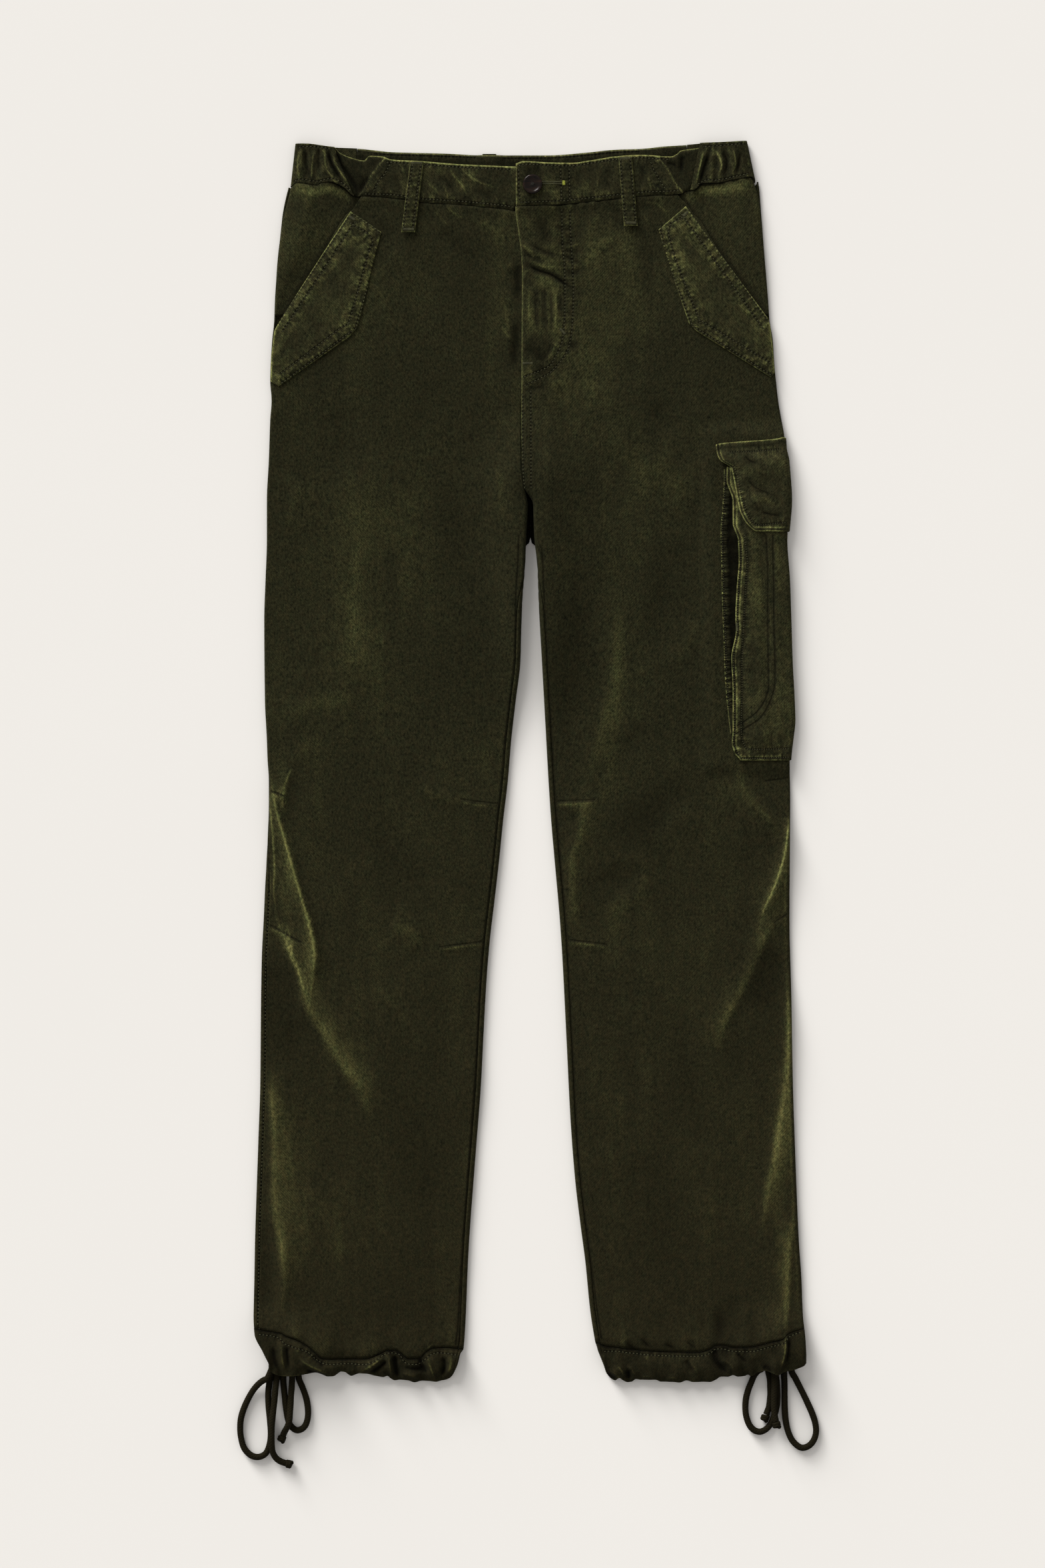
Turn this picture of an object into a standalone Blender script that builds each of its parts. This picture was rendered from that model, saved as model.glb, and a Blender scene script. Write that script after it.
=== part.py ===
"""Cargo pants laid flat with the front up: every cut piece is one closed solid.

Sides are the wearer's: the right leg lies at -X. +Y points from the hems to the waist, +Z up, and
the origin is the middle of the garment's footprint on the surface it rests on. Tables and sizes are
in millimetres, and MM turns them into metres.
"""

import math

import bmesh
import bpy

MM = 0.001

# Cloth and seams
CLOTH = 1.2  # wall of a leg panel, seam allowances included
BAND = 2.2  # wall of the doubled waistband
SEAM = 0.3  # gap between pieces that are sewn together
ROLL = 2.4  # radius of a leg's folded edge; the flat leg is twice as high
BAND_ROLL = 3.1  # radius of the waistband's folded ends
WRAP = 6.0  # how far the back leg comes over a folded edge, to the seam that shows

# Fly, waistband and hems
FLY_STEP = 1.5  # height of the left front over the right one at the fly
FLY_FOOT = 272.0  # level where the left front comes down to the right one's height
BAND_STEP = 2.5  # height of the left waistband over the right one
BAND_TAB = (-14.0, -12.0, 5.1)  # x where the tab under the left waistband narrows, and by how much
FLY_EDGE = (-11.3, 478.0, -7.2, 325.0)  # x, y of the fly's edge at the waist seam and at its foot
CENTRE_BACK = 0.8
UNDERLAP = 7.0  # how far the right front goes on under the left one
BAND_UNDERLAP = 23.0
BACK_BAND_HEIGHT = 38.0
SIDE_BAND_BACK = (-150.0, 137.0)  # where the gathered side pieces meet the back waistband
CROTCH_DIP, CROTCH, BACK_CROTCH = 256.0, 226.0, 188.0  # front seam starts down, front and back forks
FORK_BLEND = 60.0  # stretch below the back fork in which the inner seam comes over the fold
HEM_PROUD = 0.6
HEM_WALL = 1.8

# Hip pockets: ends of the slanted opening, waist end first
SLASH = {"right": (-155.2, 481.7, -223.0, 376.0), "left": (135.4, 485.8, 212.0, 381.9)}
TUCK = 12.0  # how far the hip panel goes on under the opening's edge
PANEL_FOOT = 388.5
SIDE_PUFF = {"right": 3.4, "left": 2.6}

# Cargo pocket on the left thigh
POCKET_TOP, POCKET_BOTTOM = 256.0, 1.0
FLAP_TOP_IN, FLAP_TOP_OUT, FLAP_BOTTOM = 275.5, 282.0, 200.0
GUSSET_WIDTH = 24.0
UNDER_ARM = 55.0  # how far pocket and flap go on under the leg
POCKET_PUFF = 1.6

BUTTON_AT = (2.6, 502.0)
BUTTON_RADIUS, BUTTON_HEIGHT = 8.5, 2.8
LOOP_WIDTH = 12.0
CORD = 5.5  # cord diameter

# Flat outline of both legs: y, and x of the outer and inner edge of each leg
OUTLINE = (
    # y, right_out, right_in, left_in, left_out
    (541, -203.9, -1.4, 3.2, 188.5),
    (520, -204.8, -1.4, 3.2, 193.1),
    (495, -209.1, -1.4, 3.2, 198.7),
    (450, -217.7, -1.4, 3.2, 203.7),
    (410, -221.3, -1.4, 3.2, 207.4),
    (375, -223.4, -1.4, 3.2, 210.6),
    (330, -225.8, -1.4, 3.2, 215.1),
    (290, -226.2, -1.4, 3.2, 219.0),
    (240, -228.4, -1.4, 3.2, 221.4),
    (190, -228.9, -3.0, 4.6, 222.4),
    (130, -230.9, -6.5, 8.4, 224.3),
    (60, -230.5, -11.0, 12.4, 226.4),
    (0, -228.1, -17.8, 15.7, 226.5),
    (-40, -227.3, -21.5, 18.1, 227.0),
    (-100, -229.9, -27.8, 22.7, 226.5),
    (-160, -233.0, -35.0, 27.9, 226.9),
    (-220, -234.2, -39.2, 30.7, 228.4),
    (-280, -234.7, -42.3, 34.1, 229.5),
    (-340, -236.7, -46.8, 37.6, 231.5),
    (-400, -238.7, -51.4, 44.0, 234.1),
    (-450, -239.8, -53.6, 50.1, 236.9),
    (-490, -240.5, -57.0, 55.7, 238.5),
    (-510, -234.8, -59.2, 59.2, 240.1),
    (-525, -227.2, -62.0, 63.7, 240.5),
    (-541, -221.0, -72.0, 73.0, 239.0),
)

# Waist lines: x, and y of the back's top edge, the front's top edge and the front's bottom seam
WAIST = (
    # x, back_top, front_top, seam
    (-205, 538.0, 538.0, 501.0),
    (-188, 538.0, 537.5, 502.5),
    (-171, 535.6, 535.6, 504.3),
    (-159, 534.5, 527.5, 498.0),
    (-149, 534.0, 524.0, 492.2),
    (-107, 531.0, 523.0, 489.8),
    (-70, 529.0, 520.5, 485.0),
    (-12, 528.4, 518.0, 478.8),
    (-9, 528.5, 521.5, 483.4),
    (4, 528.7, 523.0, 483.6),
    (35, 529.4, 521.5, 485.2),
    (78, 533.0, 527.0, 490.4),
    (114, 535.6, 528.2, 493.3),
    (137, 537.0, 532.5, 494.5),
    (146, 538.5, 534.0, 498.0),
    (165, 539.5, 538.5, 503.2),
    (189, 541.5, 541.5, 508.5),
)

# Hem lines: x, and y of the casing's stitched top edge and of its bottom edge
HEMS = {
    "right": (
        # x, top, bottom
        (-240, -496.5, -527.0),
        (-226, -501.0, -530.0),
        (-212, -508.0, -533.5),
        (-180, -517.0, -532.5),
        (-140, -521.0, -533.0),
        (-115, -514.0, -538.0),
        (-98, -515.0, -541.0),
        (-80, -514.5, -539.0),
        (-62, -515.0, -528.0),
    ),
    "left": (
        (62, -512.5, -530.0),
        (80, -514.0, -539.5),
        (120, -516.5, -541.0),
        (158, -515.5, -541.0),
        (180, -512.0, -534.5),
        (205, -509.0, -529.5),
        (226, -503.0, -528.0),
        (240, -495.5, -523.0),
    ),
}

# Flat stretches raised from below: what lies under the cloth there and how high it is
LIFTS = (
    # x0, x1, y0, y1, height, ramp
    (160.0, 260.0, -2.0, 284.0, 3.0, 14.0),  # rear parts of the cargo pocket and its flap
    (-42.0, -28.0, 497.0, 560.0, 1.5, 6.0),  # centre-back belt loop
    (-260.0, -200.0, -560.0, -514.0, 7.5, 48.0),  # right hem's bow
    (196.0, 260.0, -560.0, -514.0, 7.5, 48.0),  # left hem's bow
)

# Where columns of the leg panels run along the slope of a raised stretch
SLOPE_COLUMNS = (
    # leg, y_high, y_low, x of each column from the full height to none
    ("left", 330.0, -110.0, 160.0, 146.0),
    ("left", -400.0, -900.0, 196.0, 172.0, 148.0),
    ("right", -400.0, -900.0, -200.0, -176.0, -152.0),
)
SLOPE_BLEND = 32.0

# Largest folds of the front: start, middle and end of each crest, its half width and height
FOLDS = (
    # leg, x0, y0, x1, y1, x2, y2, width, height
    ("right", -136.0, 286.0, -146.0, 165.0, -153.0, 36.0, 22.0, 2.4),
    ("right", -161.0, 71.0, -191.0, 36.0, -217.0, -16.0, 15.0, 3.2),
    ("right", -221.0, -38.0, -204.0, -100.0, -189.0, -172.0, 9.0, 4.6),
    ("right", -222.0, -150.0, -196.0, -222.0, -143.0, -300.0, 11.0, 3.4),
    ("right", -224.0, -290.0, -222.0, -375.0, -211.0, -470.0, 10.0, 3.2),
    ("left", 76.0, 128.0, 74.0, 40.0, 54.0, -12.0, 12.0, 2.6),
    ("left", 54.0, -12.0, 42.0, -72.0, 41.0, -146.0, 10.0, 2.8),
    ("left", 186.0, -18.0, 196.0, -44.0, 218.0, -70.0, 9.0, 4.0),
    ("left", 224.0, -56.0, 214.0, -100.0, 201.0, -140.0, 9.0, 5.0),
    ("left", 216.0, -138.0, 190.0, -186.0, 163.0, -256.0, 10.0, 3.8),
    ("left", 225.0, -240.0, 220.0, -330.0, 197.0, -425.0, 10.0, 3.6),
    ("left", 143.0, -36.0, 113.0, -68.0, 80.0, -84.0, 12.0, 2.2),
)

# Levels of the leg panels from the waist seam down: stretch ends and rows in each
LEVELS = (
    # y_from, y_to, rows
    (492.0, 388.0, 2),
    (388.0, 372.0, 1),
    (372.0, 298.0, 2),
    (298.0, 256.0, 3),
    (256.0, 222.0, 2),
    (222.0, 188.0, 1),
    (188.0, 128.0, 3),
    (128.0, -2.0, 2),
    (-2.0, -16.0, 1),
    (-16.0, -190.0, 6),
    (-190.0, -496.0, 6),
)

# Edges of the cargo pieces: y, and x of the bellows strip's seam, the pocket's rim and the flap
CARGO_EDGES = (
    # y, seam, rim, flap
    (284, 170.0, 171.0, 160.5),
    (274, 170.0, 171.0, 162.0),
    (262, 169.5, 171.0, 168.6),
    (254, 169.1, 171.0, 174.9),
    (240, 168.5, 172.5, 178.4),
    (222, 167.9, 176.6, 181.8),
    (210, 166.8, 177.0, 186.5),
    (200, 166.2, 179.5, 196.0),
    (173, 166.8, 181.8, 198.0),
    (144, 167.3, 180.2, 198.0),
    (113, 168.5, 179.0, 198.0),
    (69, 170.2, 176.4, 198.0),
    (27, 174.0, 176.6, 198.0),
    (10, 176.0, 176.8, 198.0),
    (1, 177.0, 183.0, 198.0),
)

# Belt loops: x, y of the middle of the top and of the folded lower end
LOOPS = {
    "belt_loop_right": (-98.0, 522.0, -105.6, 460.5),
    "belt_loop_left": (83.2, 526.6, 88.2, 466.0),
}
BACK_LOOP = (-35.0, 529.5, 498.0)  # x, top, bottom

# Knots of the bows under the hems: x, y, width, depth, height
BOWS = {
    "bow_knot_right": (-214.0, -529.0, 25.0, 12.0, 7.0),
    "bow_knot_left": (218.0, -525.0, 26.0, 11.0, 7.0),
}

# Routes of the cords, from the bow outwards: x, y, z of each point of the centre line
CORDS = {
    "cord_right_loop_long": (
        (-227.9, -536.1, 8.2), (-231.3, -537.9, 7.4), (-235.8, -541.5, 5.4), (-240.6, -547.2, 3.6),
        (-245.0, -554.7, 2.9), (-248.8, -563.2, 2.8), (-251.3, -571.6, 2.8), (-252.0, -580.0, 2.8),
        (-251.3, -588.4, 2.8), (-248.5, -597.7, 2.8), (-242.4, -604.0, 2.8), (-235.5, -605.3, 2.8),
        (-229.4, -601.8, 2.8), (-226.2, -593.6, 2.8), (-225.3, -584.4, 2.8), (-226.0, -573.3, 2.8),
        (-227.2, -562.0, 2.8), (-227.6, -552.0, 2.8), (-227.0, -544.0, 2.8), (-225.8, -537.6, 2.8),
    ),
    "cord_right_end_long": (
        (-220.0, -535.5, 5.2), (-220.6, -541.0, 6.2), (-221.2, -546.5, 6.9), (-221.7, -552.5, 7.3),
        (-222.2, -558.5, 7.8), (-222.9, -564.5, 8.3), (-223.6, -570.5, 8.7), (-224.1, -576.5, 9.0),
        (-224.3, -582.5, 9.0), (-224.4, -588.5, 9.0), (-224.2, -594.5, 8.5), (-223.4, -600.5, 7.2),
        (-220.9, -605.6, 5.4), (-217.2, -608.8, 4.1), (-213.8, -610.2, 3.5),
    ),
    "cord_right_loop_short": (
        (-214.6, -536.2, 3.0), (-214.2, -543.0, 2.8), (-213.4, -550.5, 2.8), (-212.5, -558.5, 2.8),
        (-211.6, -566.0, 2.8), (-210.3, -573.0, 2.8), (-207.6, -578.6, 2.8), (-203.0, -582.0, 2.8),
        (-198.2, -580.9, 2.8), (-194.6, -576.6, 2.8), (-192.9, -569.0, 2.8), (-193.3, -560.3, 2.8),
        (-195.1, -552.0, 2.8), (-198.0, -544.2, 2.8), (-201.0, -536.6, 3.0),
    ),
    "cord_right_end_short": (
        (-206.6, -536.2, 6.2), (-206.8, -540.0, 6.3), (-207.0, -544.0, 6.4), (-207.3, -548.0, 6.5),
        (-207.6, -552.0, 6.7), (-207.8, -556.0, 6.9), (-208.0, -560.0, 7.3), (-208.2, -564.0, 7.9),
        (-208.5, -568.0, 8.5), (-208.9, -572.0, 8.9), (-209.6, -575.6, 8.9), (-210.9, -578.8, 8.0),
        (-212.3, -581.4, 6.4), (-213.5, -583.7, 4.8), (-214.3, -585.6, 4.3),
    ),
    "cord_left_loop_short": (
        (203.0, -527.6, 3.0), (199.0, -530.4, 2.9), (195.6, -534.6, 2.8), (193.1, -540.4, 2.8),
        (190.5, -547.0, 2.8), (188.6, -554.5, 2.8), (188.0, -562.0, 2.8), (188.8, -570.0, 2.8),
        (191.4, -577.2, 2.8), (195.4, -581.8, 2.8), (200.8, -583.4, 2.8), (206.2, -581.0, 2.8),
        (210.4, -576.0, 2.8), (213.0, -570.0, 2.8), (215.0, -562.5, 2.8), (215.8, -554.0, 2.8),
        (215.7, -546.0, 2.8), (215.0, -538.0, 2.8), (214.2, -531.0, 2.9),
    ),
    "cord_left_end_back": (
        (208.0, -531.0, 3.0), (208.8, -534.0, 2.9), (209.3, -537.0, 2.8), (209.6, -540.0, 2.8),
        (209.7, -543.0, 2.8), (209.8, -546.0, 2.8), (209.8, -549.0, 2.8), (209.7, -552.0, 2.8),
        (209.5, -555.0, 2.8), (209.2, -557.8, 2.8), (208.8, -560.4, 2.8), (208.3, -562.8, 2.8),
        (207.5, -564.8, 2.9), (206.9, -566.5, 3.0), (206.4, -567.8, 3.1),
    ),
    "cord_left_end_front": (
        (212.8, -534.2, 8.2), (213.0, -537.0, 8.4), (213.1, -540.0, 8.5), (213.1, -543.5, 8.5),
        (213.0, -547.0, 8.5), (212.9, -550.5, 8.5), (212.8, -554.0, 8.5), (212.7, -557.5, 8.5),
        (212.7, -561.0, 8.6), (212.8, -564.0, 8.7), (213.0, -566.5, 8.8), (213.3, -568.7, 8.9),
        (213.6, -570.5, 8.9), (213.9, -572.0, 8.9), (214.2, -573.3, 8.9),
    ),
    "cord_left_loop_long": (
        (221.6, -531.0, 2.9), (222.0, -539.0, 2.8), (222.2, -547.0, 2.8), (222.2, -556.0, 2.8),
        (222.4, -565.0, 2.8), (223.2, -574.0, 2.8), (225.2, -583.0, 2.8), (229.2, -591.4, 2.8),
        (236.4, -597.2, 2.8), (243.0, -595.8, 2.8), (247.6, -590.6, 2.8), (249.6, -583.4, 2.8),
        (248.8, -575.6, 2.8), (246.2, -567.4, 2.8), (242.6, -559.2, 2.8), (239.0, -551.6, 2.8),
        (235.2, -544.0, 2.8), (231.4, -536.6, 2.8), (228.4, -531.0, 2.9),
    ),
}
CORD_STEP = 11.0  # spacing of the tube's points along the cord

# Thickened ends of the free cord ends: x, y, z of the middle and the direction they point in
CORD_ENDS = {
    "cord_end_right_long": (-209.4, -611.5, 3.6, -15.0),
    "cord_end_right_short": (-215.9, -589.5, 3.7, -112.0),
    "cord_end_left_back": (204.9, -571.4, 3.6, -110.0),
    "cord_end_left_front": (214.9, -576.8, 8.9, -78.0),
}
CORD_END_RADIUS, CORD_END_LENGTH = 3.4, 6.4

COLOURS = {
    # finish: red, green, blue, roughness
    "twill": (0.021, 0.021, 0.012, 0.9),
    "band": (0.030, 0.028, 0.014, 0.9),
    "patch": (0.024, 0.021, 0.011, 0.9),
    "cord": (0.022, 0.019, 0.011, 0.8),
    "button": (0.007, 0.005, 0.004, 0.25),
}


def ease(value):
    """Smooth step from 0 to 1."""
    value = min(1.0, max(0.0, value))
    return value * value * (3.0 - 2.0 * value)


def mix(a, b, share):
    return a + (b - a) * share


def smooth(rows, column, at):
    """A table's column at a value of its first column, on a smooth curve through its rows."""
    keys = [row[0] for row in rows]
    values = [row[column] for row in rows]
    if keys[0] > keys[-1]:
        keys.reverse()
        values.reverse()
    at = min(keys[-1], max(keys[0], at))
    last = len(keys) - 1
    i = min(last - 1, sum(key <= at for key in keys) - 1)
    step = keys[i + 1] - keys[i]
    slope = (values[i + 1] - values[i]) / step

    def tangent(j):
        if j == 0 or j == last:
            return slope
        before = (values[j] - values[j - 1]) / (keys[j] - keys[j - 1])
        after = (values[j + 1] - values[j]) / (keys[j + 1] - keys[j])
        if before * after <= 0.0:
            return 0.0
        return 2.0 * before * after / (before + after)

    t = (at - keys[i]) / step
    bend_in = t * (1 - t) ** 2 * tangent(i) - t * t * (1 - t) * tangent(i + 1)
    return mix(values[i], values[i + 1], ease(t)) + step * bend_in


def out_edge(leg, y):
    return smooth(OUTLINE, 1 if leg == "right" else 4, y)


def in_edge(leg, y):
    return smooth(OUTLINE, 2 if leg == "right" else 3, y)


def sign(leg):
    """+1 where x grows from the leg's outer edge inwards."""
    return 1.0 if leg == "right" else -1.0


def waist(column, x, side=None):
    """A waist line at x; a side's own line goes on level past the fly."""
    if side == "right":
        x = min(x, -12.0)
    if side == "left":
        x = max(x, -9.0)
    return smooth(WAIST, {"back_top": 1, "front_top": 2, "seam": 3}[column], x)


def back_seam(x):
    """Bottom of the back waistband."""
    return waist("back_top", x) - BACK_BAND_HEIGHT


def hem(leg, column, x):
    return smooth(HEMS[leg], {"top": 1, "bottom": 2}[column], x)


def lift(x, y):
    """Height of the cloth's underside over the surface it rests on."""
    total = 0.0
    for x0, x1, y0, y1, height, ramp in LIFTS:
        across = ease((x - x0) / ramp + 1.0) * ease((x1 - x) / ramp + 1.0)
        along = ease((y - y0) / ramp + 1.0) * ease((y1 - y) / ramp + 1.0)
        total += height * across * along
    return total


def crest(fold, share):
    """A point of a fold's crest, on the parabola through its three points."""
    _, x0, y0, x1, y1, x2, y2, _, _ = fold
    a = (1.0 - share) * (1.0 - 2.0 * share)
    b = 4.0 * share * (1.0 - share)
    c = share * (2.0 * share - 1.0)
    return a * x0 + b * x1 + c * x2, a * y0 + b * y1 + c * y2


CREST_STEPS = 10


def fold_height(leg, x, y):
    """Height of the large folds over the flat front at a point."""
    total = 0.0
    for fold in FOLDS:
        if fold[0] != leg:
            continue
        width, height = fold[7:]
        nearest, where = min(
            (math.dist((x, y), crest(fold, i / CREST_STEPS)), i / CREST_STEPS)
            for i in range(CREST_STEPS + 1)
        )
        total += height * math.exp(-((nearest / width) ** 2)) * (0.25 + 0.75 * ease(5 * where))
    return total


def tube(out, inner, c, depth, roll=ROLL):
    """x, z of a flattened tube's wall. c runs along its outer face from the outer fold over the
    front to the inner fold and back below; depth is counted inwards from the outer face."""
    quarter = roll * math.pi / 2
    width = abs(inner - out)
    half = width - 2 * roll + 2 * quarter
    c %= 2 * half
    below = c > half
    along = 2 * half - c if below else c
    near = min(along, half - along)
    radius = roll - depth
    if near < quarter:
        inset = roll - radius * math.cos(near / roll)
        rise = radius * math.sin(near / roll)
    else:
        inset = roll + near - quarter
        rise = radius
    across = inset if along <= half / 2 else width - inset
    x = out + math.copysign(across, inner - out) if across >= 0 else out - math.copysign(-across, inner - out)
    return x, roll + (-rise if below else rise)


def arc_at(inset, roll=ROLL):
    """Distance along the tube's face at a distance in from its fold."""
    if inset >= roll:
        return roll * math.pi / 2 + inset - roll
    return roll * math.acos((roll - max(0.0, inset)) / roll)


def half_length(out, inner, roll=ROLL):
    return abs(inner - out) - 2 * roll + roll * math.pi


def fly_x(y):
    x0, y0, x1, y1 = FLY_EDGE
    return mix(x0, x1, (y0 - y) / (y0 - y1))


def fly_raise(x, y):
    """How far the left front is carried by the right one beside the fly."""
    return FLY_STEP * ease((38.0 - x) / 34.0) * ease((y - FLY_FOOT) / 25.0)


def leg_point(leg, level, c, depth, folds=True):
    """A point of a leg's tube at a level."""
    x, z = tube(out_edge(leg, level), in_edge(leg, level), c, depth)
    y = level
    if folds and z > ROLL:
        z += fold_height(leg, x, y) * ease((z - ROLL) / ROLL)
    return x, y, z + lift(x, y)


def slash_inset(leg, y):
    """Distance of the hip pocket's opening from the outline."""
    x0, y0, x1, y1 = SLASH[leg]
    x = mix(x0, x1, (y0 - y) / (y0 - y1))
    return max(0.0, sign(leg) * (x - out_edge(leg, y)))


def back_wrap(leg, y):
    """Distance along the face from the outer fold's middle to the outer seam, and half the gap
    there, which is wider where the seam runs across the fold."""
    share = ease((-16.0 - y) / 116.0) if leg == "right" else 0.0
    return WRAP * share, SEAM * (0.5 + 3.0 * share * (1.0 - share))


def spread(first, last, count):
    """Evenly spaced values, both ends included."""
    return [mix(first, last, i / (count - 1)) for i in range(count)]


def levels():
    rows = [LEVELS[0][0]]
    for start, end, count in LEVELS:
        rows += spread(start, end, count + 1)[1:]
    return rows


def quarter_roll(roll=ROLL):
    """Distance along the face from a fold's middle to where the flat begins."""
    return roll * math.pi / 2


EDGE_COLUMNS = 3
FRONT_COLUMNS = 7
BACK_COLUMNS = 6


def slope_stops(leg, y, line, arc_of):
    """Moves the columns nearest to a raised stretch's slope onto the slope."""
    for side, high, low, *stops in SLOPE_COLUMNS:
        if side != leg:
            continue
        share = ease((high - y) / SLOPE_BLEND) * ease((y - low) / SLOPE_BLEND)
        for i, x in enumerate(stops):
            line[i] = mix(line[i], arc_of(x), share)
    return line


def side_seam(x, c, roll=ROLL):
    """Waist seam round the side fold: the front's line above and the back's below."""
    return mix(waist("seam", x), back_seam(x), ease(0.5 - c / (2 * quarter_roll(roll))))


def front_arcs(leg, y):
    """Arc positions of the front panel's columns at a level, from its outer to its inner edge."""
    out, inner = out_edge(leg, y), in_edge(leg, y)
    half = half_length(out, inner)
    inset = slash_inset(leg, y)
    start = max(arc_at(inset + 2.0 * ease(inset / ROLL)), sum(back_wrap(leg, y)))
    fork = mix(-0.9, WRAP, ease((BACK_CROTCH - y) / FORK_BLEND))
    first = max(start + 3.0, quarter_roll())
    last = half - max(quarter_roll(), fork + 3.0)
    middle = spread(first, last, FRONT_COLUMNS + 1)[1:]
    middle = slope_stops(leg, y, middle, lambda x: arc_at(abs(x - out)))
    line = spread(start, first, EDGE_COLUMNS + 1) + middle
    return line + spread(last, half - fork, EDGE_COLUMNS + 1)[1:]


def back_arcs(leg, y):
    """Arc positions of the back panel's columns at a level, from its inner to its outer edge."""
    out, inner = out_edge(leg, y), in_edge(leg, y)
    half = half_length(out, inner)
    quarter = quarter_roll()
    share = ease((BACK_CROTCH - y) / FORK_BLEND)
    gap = SEAM * (1.5 + 4.0 * share * (1.0 - share))
    flat_from = half + quarter + 3.0 * (1.0 - share)
    line = spread(half - mix(-quarter, WRAP, share) + gap, flat_from, EDGE_COLUMNS + 1)
    middle = spread(2 * half - quarter, flat_from, BACK_COLUMNS + 1)[1:-1]
    middle = slope_stops(leg, y, middle, lambda x: 2 * half - arc_at(abs(x - out)))
    line += middle[::-1]
    wrap, gap = back_wrap(leg, y)
    return line + spread(2 * half - quarter, 2 * half + wrap - gap, EDGE_COLUMNS + 1)


def cloth(name, finish, columns, rows, place):
    """A closed piece: a flat slab of columns by rows, each corner put where place(i, j, face)
    says, in millimetres; face 0 is the outer one and 1 the inner one."""
    bm = bmesh.new()
    bmesh.ops.create_grid(bm, x_segments=columns, y_segments=rows, size=0.5)
    lifted = bmesh.ops.extrude_face_region(bm, geom=bm.faces[:])["geom"]
    for vert in lifted:
        if isinstance(vert, bmesh.types.BMVert):
            vert.co.z = 1.0
    for vert in bm.verts:
        i = round((vert.co.x + 0.5) * columns)
        j = round((vert.co.y + 0.5) * rows)
        x, y, z = place(i, j, 1 - round(vert.co.z))
        vert.co = (x * MM, y * MM, z * MM)
    bmesh.ops.recalc_face_normals(bm, faces=bm.faces[:])
    return finished(name, finish, bm)


def finished(name, finish, bm):
    """The object made from a bmesh."""
    mesh = bpy.data.meshes.new(name)
    bm.to_mesh(mesh)
    bm.free()
    thing = bpy.data.objects.new(name, mesh)
    bpy.context.collection.objects.link(thing)
    mesh.materials.append(material(name, finish))
    return thing


def material(name, finish):
    red, green, blue, roughness = COLOURS[finish]
    made = bpy.data.materials.new(name)
    made.use_nodes = True
    shader = made.node_tree.nodes["Principled BSDF"]
    shader.inputs["Base Color"].default_value = (red, green, blue, 1.0)
    shader.inputs["Roughness"].default_value = roughness
    shader.inputs["Metallic"].default_value = 0.0
    return made


def stretched(leg, level, line, anchor, last, c, edge):
    """x of a column when the panel lies flat from the anchor column to an edge."""
    held, _, _ = leg_point(leg, level, line[anchor], 0.0)
    return mix(held, edge, (c - line[anchor]) / (line[last] - line[anchor]))


def front(leg):
    """Front leg panel, from the pocket opening or the outer fold to the fly or the inner seam."""
    rows = levels()
    anchor = EDGE_COLUMNS + 2

    def place(i, j, face):
        level = rows[j]
        line = front_arcs(leg, level)
        c = line[i]
        x, _, z = leg_point(leg, level, c, face * CLOTH)
        flat = 1.0 - ease((CROTCH_DIP - level) / (CROTCH_DIP - CROTCH))
        if flat > 0.0 and i > anchor:
            # above the fork the inner edge is the flat fly or crotch seam
            edge = fly_x(level) - sign(leg) * SEAM / 2
            if leg == "right":
                edge += UNDERLAP * ease((level - 312.0) / 20.0)
            x = mix(x, stretched(leg, level, line, anchor, -1, c, edge), flat)
            top = 2 * ROLL - face * CLOTH + fold_height(leg, x, level) + lift(x, level)
            z = mix(z, top, flat)
        if leg == "left":
            z += fly_raise(x, level) * flat
        near_waist = ease((level - 430.0) / 60.0)
        near_hem = ease((-430.0 - level) / 60.0)
        y = level + (waist("seam", x, leg) - SEAM - rows[0]) * near_waist
        y += (hem(leg, "top", x) + SEAM - rows[-1]) * near_hem
        return x, y, z

    return cloth(f"front_{leg}", "twill", 2 * EDGE_COLUMNS + FRONT_COLUMNS, len(rows) - 1, place)


def back(leg):
    """Back leg panel: flat below, wrapped over the folded edges to the seams."""
    rows = levels()
    anchor = EDGE_COLUMNS + BACK_COLUMNS - 2

    def place(i, j, face):
        level = rows[j]
        line = back_arcs(leg, level)
        c = line[i]
        x, _, z = leg_point(leg, level, c, face * CLOTH)
        joined = ease((level - BACK_CROTCH) / 17.0)
        if joined > 0.0 and i < anchor:
            # above the fork both backs lie flat and meet at the centre-back seam
            edge = CENTRE_BACK - sign(leg) * SEAM
            x = mix(x, stretched(leg, level, line, anchor, 0, c, edge), joined)
            z = mix(z, face * CLOTH + lift(x, level), joined)
        near_waist = ease((level - 430.0) / 60.0)
        near_hem = ease((-430.0 - level) / 60.0)
        around = c - 2 * half_length(out_edge(leg, level), in_edge(leg, level))
        y = level + (side_seam(x, around) - SEAM - rows[0]) * near_waist
        y += (hem(leg, "top", x) + SEAM - rows[-1]) * near_hem
        return x, y, z

    return cloth(f"back_{leg}", "twill", 2 * EDGE_COLUMNS + BACK_COLUMNS, len(rows) - 1, place)


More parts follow.
